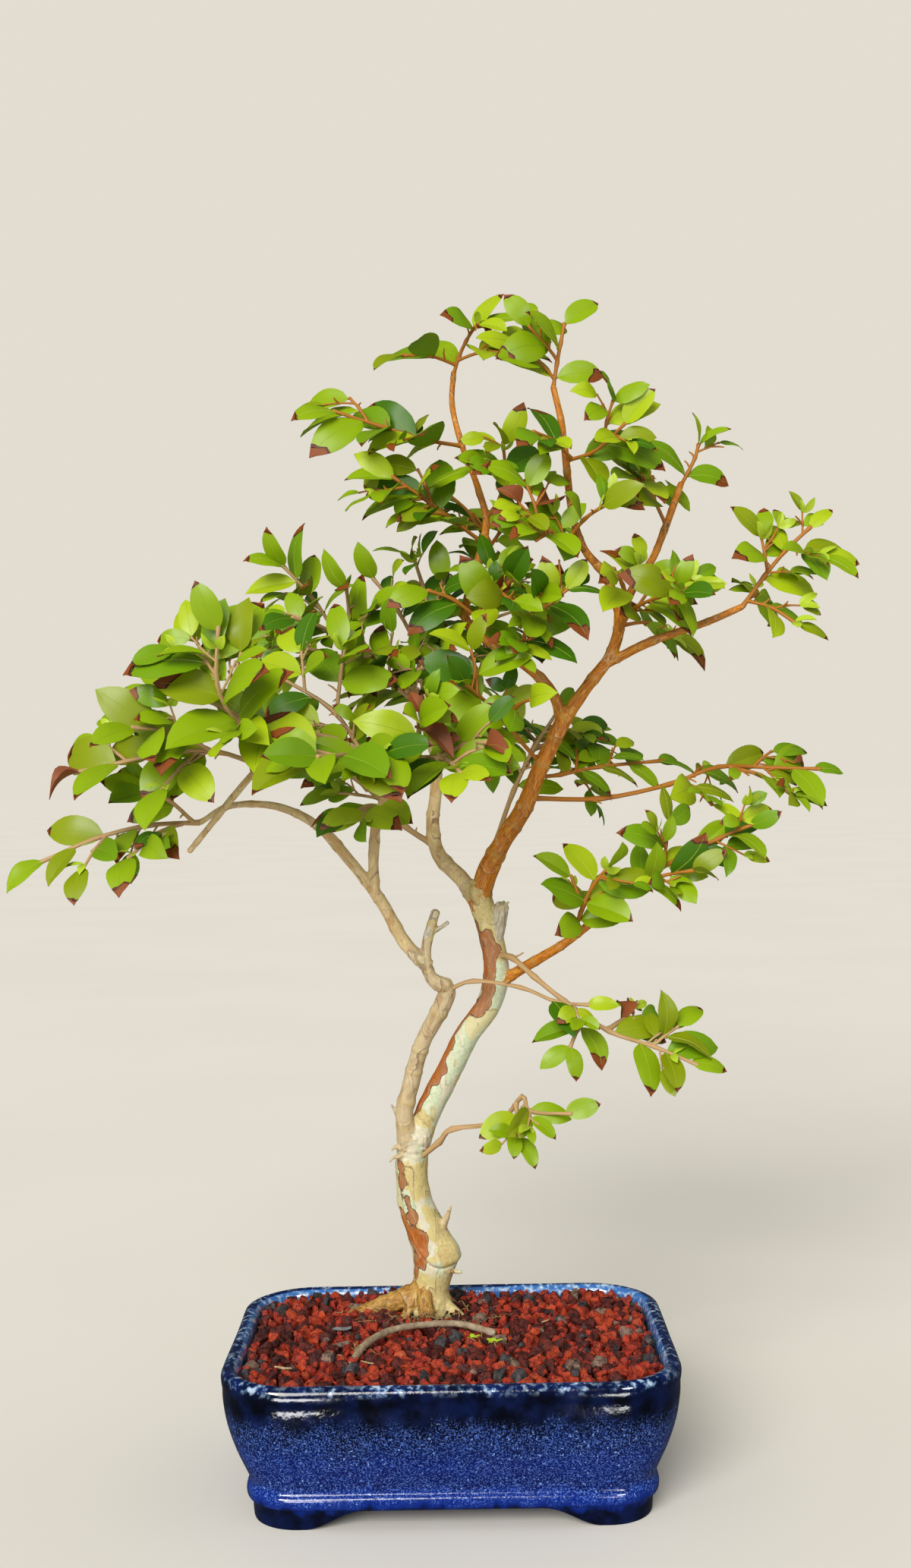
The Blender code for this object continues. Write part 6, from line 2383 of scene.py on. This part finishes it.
@dataclass(frozen=True)
class LeafForm:
    """One shape of leaf, one unit long and one wide: how it folds, curls and where its tip is scorched."""

    fold: float = 0.30
    curl: float = 0.10
    arch: float = 0.05
    fall: float = 0.10
    twist: float = 0.0
    wave: float = 0.010
    scorch: float = 1.0  # the share of the length where the scorched tip begins
    slant: float = 0.0
    ragged: float = 0.02

    across = (-1.0, -0.52, 0.0, 0.52, 1.0)
    outline = ((0.05, 0.05), (0.12, 0.25), (0.26, 0.42), (0.42, 0.495), (0.58, 0.49), (0.72, 0.43), (0.84, 0.31))
    outline_tip = ((0.92, 0.175), (0.965, 0.07), (1.0, 0.008))
    thickness = 0.012
    band = 0.035

    def half_width(self, share: float) -> float:
        """Args: share: how far along the leaf. Returns: its half width there."""
        rows = (*self.outline, *self.outline_tip)
        return float(np.interp(share, [row[0] for row in rows], [row[1] for row in rows]))

    def at(self, share: float, side: float, lift: float) -> Vector:
        """A place on the leaf.

        Args:
            share: how far along it.
            side: how far across it, from -1 to 1.
            lift: how far over its middle sheet.

        Returns:
            The place.
        """
        half = self.half_width(share)
        x = side * half
        bend = max(0.0, (share - 0.42) / 0.58)
        z = -self.fall * bend * bend + self.arch * 4 * share * (1 - share)
        z += self.fold * abs(x) * 0.52 - self.curl * x * x * 1.6
        z += self.wave * math.sin(share * 11 + side * 2.2) * abs(side)
        z += self.twist * x * share
        return Vector((x, share, z + lift))

    def start(self, side: float) -> float:
        """Args: side: how far across. Returns: where the scorched tip begins there."""
        if self.scorch >= 1:
            return 1.0
        tooth = math.sin(side * 7.3 + self.slant * 31) * self.ragged
        return min(0.97, self.scorch + self.slant * side + tooth)

    def shell(self, start: Callable[[float], float], end: Callable[[float], float], rows: int) -> bpy.types.Mesh:
        """Closes the part of the leaf between two lines across it.

        Args:
            start: where the part begins, for each place across.
            end: where it ends.
            rows: how many rows it is cut in.

        Returns:
            The closed part.
        """
        bm = bmesh.new()
        sheets = []
        for hand in (1, -1):
            sheet = []
            for row in range(rows + 1):
                line = []
                for side in self.across:
                    first, last = start(side), end(side)
                    share = first + (last - first) * row / rows
                    thin = self.thickness / 2 * (1 - 0.6 * side * side)
                    line.append(bm.verts.new(self.at(share, side, hand * thin)))
                sheet.append(line)
            sheets.append(sheet)
        top, under = sheets
        last = len(self.across) - 1
        for row in range(rows):
            for i in range(last):
                bm.faces.new((top[row][i], top[row][i + 1], top[row + 1][i + 1], top[row + 1][i]))
                bm.faces.new((under[row][i + 1], under[row][i], under[row + 1][i], under[row + 1][i + 1]))
            bm.faces.new((under[row][0], top[row][0], top[row + 1][0], under[row + 1][0]))
            bm.faces.new((top[row][last], under[row][last], under[row + 1][last], top[row + 1][last]))
        for row, order in ((0, 1), (rows, -1)):
            rim = (*under[row], *top[row][::-1])
            bm.faces.new(rim[::order])
        return solid("leaf", bm)

    def blade(self) -> bpy.types.Mesh:
        """Returns: the green part of the leaf."""
        return self.shell(lambda side: 0.05, self.start, 8)

    def scorched_band(self) -> bpy.types.Mesh:
        """Returns: the dark line between the green part and the scorched tip."""
        return self.shell(self.start, lambda side: min(0.985, self.start(side) + self.band), 1)

    def scorched_tip(self) -> bpy.types.Mesh:
        """Returns: the scorched tip."""
        return self.shell(lambda side: min(0.985, self.start(side) + self.band), lambda side: 1.0, 3)

    def rib(self) -> bpy.types.Mesh:
        """Returns: the midrib, a low ridge on the upper side."""
        bm = bmesh.new()
        rings = []
        for row in range(8):
            share = 0.05 + 0.85 * row / 7
            half = 0.016 * (1 - 0.75 * row / 7)
            ridge = self.thickness / 2
            left, right = (self.at(share, 0, ridge - 0.002) + Vector((side * half, 0, 0)) for side in (-1, 1))
            rings.append([left, right, self.at(share, 0, ridge + 0.006)])
        loft(bm, rings)
        return solid("rib", bm)


SCORCHED_FORMS = (
    LeafForm(0.30, 0.10, 0.04, 0.10, scorch=0.915, slant=0.02, ragged=0.010),
    LeafForm(0.20, 0.15, 0.06, 0.14, 0.15, scorch=0.875, slant=-0.03, ragged=0.014),
    LeafForm(0.42, 0.05, 0.02, 0.08, -0.12, scorch=0.93, slant=0.02, ragged=0.008),
    LeafForm(0.25, 0.20, 0.05, 0.20, 0.20, scorch=0.82, slant=0.08, ragged=0.02),
    LeafForm(0.36, 0.12, 0.07, 0.16, -0.20, scorch=0.74, slant=-0.14, ragged=0.025),
)
CLEAN_FORMS = (
    LeafForm(0.28, 0.12, 0.05, 0.10),
    LeafForm(0.18, 0.18, 0.07, 0.13, 0.14),
    LeafForm(0.40, 0.06, 0.03, 0.08, -0.14),
    LeafForm(0.32, 0.10, 0.08, 0.16, 0.10, 0.018),
    LeafForm(0.22, 0.22, 0.04, 0.06, -0.08, 0.016),
)
CURLED_FORMS = (
    LeafForm(0.70, -0.25, 0.10, 0.30, 0.45, 0.030),
    LeafForm(0.55, -0.40, 0.12, 0.24, -0.50, 0.035),
)


class Tone(Enum):
    """The tones that leaves take."""

    BRIGHT = LeafFinish("leaf_bright", "86a604")
    LIME = LeafFinish("leaf_lime", "a2ba10")
    OLIVE = LeafFinish("leaf_olive", "829404")
    MID = LeafFinish("leaf_mid", "6e9604")
    DEEP = LeafFinish("leaf_deep", "427004")
    YOUNG = LeafFinish("leaf_young", "acc630")
    BROWN = LeafFinish("leaf_brown", "8a4a24", 0.6)


@dataclass
class Foliage:
    """All leaves and twigs of the crown, grown by the rule and dressed finer than the solids."""

    rule: GrowthRule = field(default_factory=GrowthRule)
    tip_finish: Finish = LeafFinish("leaf_scorched_tip", "824004", 0.6)
    band_finish: Finish = LeafFinish("leaf_scorched_edge", "541c02", 0.55)
    rib_finish: Finish = LeafFinish("leaf_rib", "9fb53a", 0.45)
    twig_finishes: dict[str, Finish] = field(
        default_factory=lambda: {
            "orange_twigs": LeafFinish("orange_twig", "b0701f", 0.6),
            "tan_twigs": LeafFinish("tan_twig", "b89668", 0.65),
        }
    )
    scorched_share: float = 0.64
    brown_share: float = 0.014
    steps: int = 4

    def leaf_tone(self, leaf: Leaf, rng: random.Random) -> Tone:
        """Picks a leaf's tone.

        Args:
            leaf: the leaf.
            rng: what deals the tones.

        Returns:
            Its tone: deeper inside the crown than outside, as painted shade, and brighter high in the crown.
        """
        if rng.random() < self.brown_share:
            return Tone.BROWN
        inside = 1 - held((leaf.root - Vector(self.rule.crown_middle)).length / 0.16)
        high = held((leaf.root.z - 0.42) / 0.14)
        # Painted shade: DEEP gains and BRIGHT loses weight towards the crown's middle. BRIGHT and LIME gain weight
        # higher up.
        weights = (0.42 - 0.2 * inside + 0.3 * high, 0.15 + 0.15 * high, 0.16, 0.23, 0.04 + 0.30 * inside)
        return rng.choices((Tone.BRIGHT, Tone.LIME, Tone.OLIVE, Tone.MID, Tone.DEEP), weights)[0]

    def dealt_leaf(self, leaf: Leaf, tone: Tone, rng: random.Random) -> Dealt:
        """Gives a leaf its form.

        Args:
            leaf: the leaf.
            tone: its tone.
            rng: what deals the forms.

        Returns:
            The leaf as a thing to be set on a point.
        """
        first_curled = len(SCORCHED_FORMS) + len(CLEAN_FORMS)
        if tone is Tone.BROWN:
            form = first_curled + rng.randrange(len(CURLED_FORMS))
        elif tone is not Tone.YOUNG and rng.random() < self.scorched_share:
            form = rng.choices(range(len(SCORCHED_FORMS)), (4, 5, 3, 3, 1))[0]
        else:
            form = len(SCORCHED_FORMS) + rng.randrange(len(CLEAN_FORMS))
        axes = (leaf.along.cross(leaf.up), leaf.along, leaf.up)
        size = 0.6 if tone is Tone.BROWN else 0.92
        return Dealt(leaf.root, axes, (leaf.width * size, leaf.length * size, leaf.length * size), form)

    def young_pair(self, twig: Twig, rng: random.Random) -> list[Leaf]:
        """Args: twig, rng: a twig and what deals sizes. Returns: two small young leaves near its tip."""
        root, along = read_path(twig.path, 0.90)
        leaves = []
        for hand in (-1, 1):
            up = square_to(self.rule.light_at(root), along)
            angle = math.radians(rng.uniform(20, 50))
            way = (along * math.cos(angle) + up * 0.5 + along.cross(up) * hand * math.sin(angle)).normalized()
            size = rng.uniform(0.007, 0.013)
            leaves.append(Leaf(root, way, square_to(up - along * 0.4, way), size, size * 0.45))
        return leaves

    def add_twigs(self, bm: bmesh.types.BMesh, plant: Plant, rng: random.Random) -> None:
        """Adds a mass's twigs with their joints, leaf stalks and short bare spurs.

        Args:
            bm: the mesh that gets them.
            plant: what the mass has grown.
            rng: what deals the spurs.
        """
        for number, twig in enumerate(plant.twigs):
            points = [metres(plant.mass.path)[0], *twig.path[1:]] if number == 0 else twig.path
            path = smooth_path(points, self.steps)
            radii = spread(twig.radii, len(path))
            joints = [radius * (1.32 if i % self.steps == 0 else 1.0) for i, radius in enumerate(radii)]
            add_tube(bm, path, joints, 6)
            for _ in range(2 if number == 0 else 1):
                share = rng.uniform(0.15, 0.85)
                root, along = read_path(path, share)
                across = square_to(Vector([rng.gauss(0, 1) for _ in range(3)]), along)
                way = (along * 0.6 + across).normalized()
                reach = rng.uniform(0.003, 0.008)
                tip = root + way * reach
                add_tube(bm, [root, root.lerp(tip, 0.6) + along * 0.0004, tip], (0.0006, 0.0005, 0.0004), 5)
        for number, leaf in plant.leaves:
            foot = leaf.root + leaf.along * leaf.length * 0.07
            middle = leaf.root.lerp(foot, 0.5) - leaf.up * 0.0002
            add_tube(bm, [leaf.root, middle, foot], (0.00055, 0.0004, 0.0004), 4, False)

    def build(self) -> list[bpy.types.Object]:
        """Grows the crown and deals its leaves by form and tone.

        Returns:
            The pieces of the crown.
        """
        limbs = [name for name in frame["nodes"] if name == "trunk" or name.startswith(("stem", "bough", "leader"))]
        plants = self.rule.grow(MASSES, limbs)
        nodes = [plant.mass.name for plant in plants]
        dealt: dict[Tone, list[Dealt]] = {tone: [] for tone in Tone}
        barks = {name: bmesh.new() for name in self.twig_finishes}
        for plant in plants:
            rng = random.Random(plant.mass.seed + 5000)
            orange = PLANS[plant.mass.limb].zone is Zone.ORANGE
            self.add_twigs(barks["orange_twigs" if orange else "tan_twigs"], plant, rng)
            for _, leaf in plant.leaves:
                tone = self.leaf_tone(leaf, rng)
                dealt[tone].append(self.dealt_leaf(leaf, tone, rng))
            for twig in plant.twigs:
                if rng.random() < 0.35:
                    for leaf in self.young_pair(twig, rng):
                        dealt[Tone.YOUNG].append(self.dealt_leaf(leaf, Tone.YOUNG, rng))
        log.info("%d leaves on %d twigs", sum(map(len, dealt.values())), sum(len(plant.twigs) for plant in plants))
        pieces = []
        forms = (*SCORCHED_FORMS, *CLEAN_FORMS, *CURLED_FORMS)
        blades = kit_of("blade", [form.blade() for form in forms])
        for tone, things in dealt.items():
            mesh = deal(things, blades, tone.value)
            pieces.append(finished(f"leaves_{tone.name.lower()}", mesh, tone.value, Slot.FOLIAGE, nodes, 35))
        drop_kit(blades)
        scorched = [thing for things in dealt.values() for thing in things if thing.form < len(SCORCHED_FORMS)]
        whole = [thing for things in dealt.values() for thing in things]
        for name, things, finish, meshes in (
            ("scorched_edges", scorched, self.band_finish, [form.scorched_band() for form in SCORCHED_FORMS]),
            ("scorched_tips", scorched, self.tip_finish, [form.scorched_tip() for form in SCORCHED_FORMS]),
            ("leaf_ribs", whole, self.rib_finish, [form.rib() for form in forms]),
        ):
            kit = kit_of(name, meshes)
            pieces.append(finished(name, deal(things, kit, finish), finish, Slot.FOLIAGE, nodes, 35))
            drop_kit(kit)
        for name, bm in barks.items():
            pieces.append(finished(name, solid(name, bm), self.twig_finishes[name], Slot.FOLIAGE, nodes, 60))
        return pieces


# Studio


@dataclass(frozen=True)
class PaleFloor(Finish):
    """A plain pale matt floor."""

    def wire(self, wiring: Wiring, shader: bpy.types.Node, where: bpy.types.NodeSocket) -> None:
        """Wires a faint cloud in the floor's tone.

        Args:
            wiring: the material's wiring.
            shader: its Principled BSDF.
            where: the position on the floor.
        """
        cloud = wiring.group(mottle_group(), {"Vector": where, "Scale": 2.0, "Low": 0.3, "High": 0.7})
        wiring.tree.links.new(wiring.blend(cloud.outputs[0], paint("e7e6e2"), paint("eae9e6")), shader.inputs[0])
        shader.inputs["Specular IOR Level"].default_value = 0.0


@dataclass
class Studio:
    """A pale floor, soft lights and the camera where the photograph was taken from."""

    lens: float = 39.55
    camera_place: tuple[float, float, float] = (0.0065, -0.871, 0.347)
    camera_roll: float = -0.016
    floor_reach: float = 60.0
    # Each soft light is its place, what it is aimed at, its size and its power. It shows in reflections only.
    lights: tuple[tuple[tuple[float, float, float], tuple[float, float, float], tuple[float, float], float], ...] = (
        ((-0.70, -1.00, 0.62), (0.0, 0.02, 0.28), (0.36, 0.36), 11.0),
        ((0.62, -0.95, 0.58), (0.0, 0.02, 0.28), (0.30, 0.30), 8.0),
        ((-0.112, -0.200, 0.024), (-0.080, -0.085, 0.056), (0.085, 0.030), 0.11),
        ((0.120, -0.200, 0.022), (0.084, -0.085, 0.056), (0.070, 0.026), 0.06),
    )
    sun_place: tuple[float, float, float] = (-0.7, -2.0, 1.15)
    sun_power: float = 3.0
    sun_angle: float = 34.0

    def build(self) -> None:
        """Sets up floor, world, lights and camera."""
        bm = bmesh.new()
        bmesh.ops.create_grid(bm, x_segments=1, y_segments=1, size=self.floor_reach)
        mesh = bpy.data.meshes.new("floor")
        bm.to_mesh(mesh)
        bm.free()
        mesh.materials.append(PaleFloor("pale_floor").material())
        floor = carrier("floor", mesh)
        floor.visible_glossy = False
        world = bpy.data.worlds.new("studio")
        world.use_nodes = True
        bpy.context.scene.world = world
        wiring = Wiring(world.node_tree)
        background = world.node_tree.nodes["Background"]
        rays = wiring.add("ShaderNodeLightPath").outputs
        lit = wiring.blend(rays["Is Glossy Ray"], paint("bab6ac"), paint("3c3e42"))
        seen = wiring.blend(rays["Is Camera Ray"], lit, paint("e2ddd0"))
        wiring.tree.links.new(seen, background.inputs["Color"])
        background.inputs["Strength"].default_value = 1.0
        sun = bpy.data.lights.new("soft_sun", "SUN")
        sun.energy = self.sun_power
        sun.angle = math.radians(self.sun_angle)
        sun.color = (1.0, 0.965, 0.90)
        holder = bpy.data.objects.new("soft_sun", sun)
        holder.matrix_world = (-Vector(self.sun_place)).to_track_quat("-Z", "Y").to_matrix().to_4x4()
        bpy.context.scene.collection.objects.link(holder)
        bpy.context.scene.view_settings.view_transform = "Standard"
        for number, (place, aim, size, power) in enumerate(self.lights):
            lamp = bpy.data.lights.new(f"soft_light_{number}", "AREA")
            lamp.shape = "RECTANGLE"
            lamp.size, lamp.size_y = size
            lamp.energy = power
            holder = bpy.data.objects.new(lamp.name, lamp)
            spot = Vector(place) + POT_MIDDLE
            way = Vector(aim) - Vector(place)
            holder.matrix_world = Matrix.Translation(spot) @ way.to_track_quat("-Z", "Y").to_matrix().to_4x4()
            holder.visible_camera = holder.visible_diffuse = False
            bpy.context.scene.collection.objects.link(holder)
        camera = bpy.data.cameras.new("camera")
        camera.lens = self.lens
        camera.sensor_width = 36
        camera.clip_start = 0.02
        eye = bpy.data.objects.new("camera", camera)
        turn = Matrix.Rotation(math.pi / 2, 4, "X") @ Matrix.Rotation(self.camera_roll, 4, "Z")
        eye.matrix_world = Matrix.Translation(POT_MIDDLE) @ Matrix.Translation(self.camera_place) @ turn
        bpy.context.scene.collection.objects.link(eye)
        bpy.context.scene.camera = eye


@dataclass
class SurfaceRoot:
    """The loose arched root that lies on the grit in front of the trunk."""

    path: tuple[tuple[float, float, float], ...] = (
        (-50, -45, 66), (-43, -28, 72.5), (-30, -10, 74.5), (-12, 0, 74), (5, 1, 73.5), (21, -6, 71.2),
    )
    radii: tuple[float, ...] = (0.0019, 0.0018, 0.0016, 0.0019)
    finish: Finish = Mineral("root_skin", "ab9a82", "86735c", "c2b49c", 300.0, (0.6, 0.85), 0.0003)

    def build(self) -> list[bpy.types.Object]:
        """Returns: the finished root, with a few knots."""
        path = smooth_path(metres(self.path), 12)
        radii = spread(self.radii, len(path))
        knotted = [radius * (1 + 0.22 * noise.noise(point * 190)) for point, radius in zip(path, radii)]
        bm = bmesh.new()
        add_tube(bm, path, knotted, 16)
        return [finished("loose_root", solid("loose_root", bm), self.finish, Slot.ROOT, ("surface_root",), 60)]


@dataclass
class Litter:
    """The small things that lie on the grit: fine rootlets, slivers of wood and stone, and a few sprouts."""

    bed: GritBed
    # Each patch of rootlets is its middle, its reach and how many there are.
    patches: tuple[tuple[tuple[float, float], float, int], ...] = (
        ((-0.032, 0.024), 0.016, 18),
        ((-0.012, 0.013), 0.012, 14),
        ((0.012, 0.018), 0.012, 11),
        ((-0.046, -0.034), 0.010, 6),
        ((0.016, -0.018), 0.009, 5),
    )
    root_radius: float = 0.00030
    # Each sliver is its place, its length, its width and its turn in degrees.
    slivers: tuple[tuple[tuple[float, float], float, float, float], ...] = (
        ((-0.0794, -0.0554), 0.0100, 0.0030, -24.0),
        ((-0.0400, -0.0500), 0.0085, 0.0018, -38.0),
        ((0.0480, 0.0100), 0.0060, 0.0016, 50.0),
    )
    chips: tuple[tuple[tuple[float, float], float, float, float], ...] = (((-0.0555, 0.0020), 0.0095, 0.0050, 8.0),)
    sprouts: tuple[tuple[float, float], ...] = ((0.0207, -0.0200), (0.0105, -0.0120))
    seed: int = 3

    def rootlets(self) -> bpy.types.Mesh:
        """Returns: thin winding rootlets, half sunk in the grit."""
        rng = random.Random(self.seed)
        bm = bmesh.new()
        for middle, reach, count in self.patches:
            for _ in range(count):
                place = Vector(middle) + Vector((rng.uniform(-reach, reach), rng.uniform(-reach, reach)))
                turn = rng.uniform(0, math.tau)
                path = []
                for _ in range(rng.randint(4, 7)):
                    lift = 0.0052 + rng.uniform(-0.0012, 0.0022)
                    path.append(Vector((*place, self.bed.top(place.to_3d()) + lift)))
                    turn += rng.uniform(-0.8, 0.8)
                    place += Vector((math.cos(turn), math.sin(turn))) * rng.uniform(0.0016, 0.0034)
                path = smooth_path(path, 3)
                add_tube(bm, path, spread((self.root_radius, self.root_radius * 0.5), len(path)), 5)
        return solid("rootlets", bm)

    def lying(self, name: str, rows: tuple[tuple[tuple[float, float], float, float, float], ...]) -> bpy.types.Mesh:
        """Args: name, rows: the mesh's name and what lies on the grit. Returns: thin pointed slivers."""
        bm = bmesh.new()
        for place, length, width, turn in rows:
            way = Vector((math.cos(math.radians(turn)), math.sin(math.radians(turn)), 0.06))
            middle = Vector((*place, self.bed.top(Vector((*place, 0))) + 0.0072))
            side = way.cross(UP).normalized()
            rings = []
            for share, wide in ((-0.5, 0.25), (-0.2, 0.9), (0.15, 1.0), (0.5, 0.15)):
                at = middle + way * length * share + side * width * 0.2 * math.sin(share * 5)
                half = side * width * wide / 2
                rings.append([at + half, at + half * 0.3 + UP * width * 0.22, at - half, at - UP * width * 0.12])
            loft(bm, rings)
        return solid(name, bm)

    def build(self) -> list[bpy.types.Object]:
        """Returns: the rootlets, the slivers, a slate chip and the sprouts."""
        rng = random.Random(self.seed)
        leaves = []
        for place in self.sprouts:
            for _ in range(4):
                turn = rng.uniform(0, math.tau)
                way = Vector((math.cos(turn), math.sin(turn), 0.5)).normalized()
                up = square_to(UP, way)
                root = Vector((*place, self.bed.top(Vector((*place, 0))) + 0.0055))
                size = rng.uniform(0.0035, 0.0060)
                leaves.append(Dealt(root, (way.cross(up), way, up), (size * 0.6, size, size), 0))
        kit = kit_of("sprout", [CLEAN_FORMS[0].blade()])
        sprouts = deal(leaves, kit, Tone.YOUNG.value)
        drop_kit(kit)
        root_skin = Mineral("rootlet_skin", "b89460", "7a5a34", "ccae7c")
        wood = Mineral("dry_wood", "d9c6a0", "a88f66", "ecdfc4")
        slate = Mineral("slate", "8d9296", "666a70", "a8acb0")
        return [
            finished("rootlets", self.rootlets(), root_skin, Slot.ROOT, crease=60),
            finished("wood_slivers", self.lying("wood_slivers", self.slivers), wood, Slot.ROOT, crease=30),
            finished("slate_chip", self.lying("slate_chip", self.chips), slate, Slot.SOIL, crease=20),
            finished("sprouts", sprouts, Tone.YOUNG.value, Slot.FOLIAGE, crease=35),
        ]


def main() -> None:
    """Builds the studio and every sub-assembly in order."""
    logging.basicConfig(level=logging.INFO, format="%(message)s")
    Studio().build()
    pot = GlazedPot()
    bed = GritBed(pot)
    for part in (pot, bed, *barks(), SurfaceRoot(), Litter(bed), Foliage()):
        for piece in part.build():
            log.info("%s: %d faces", piece.name, len(piece.data.polygons))
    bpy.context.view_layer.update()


if __name__ == "__main__":
    main()
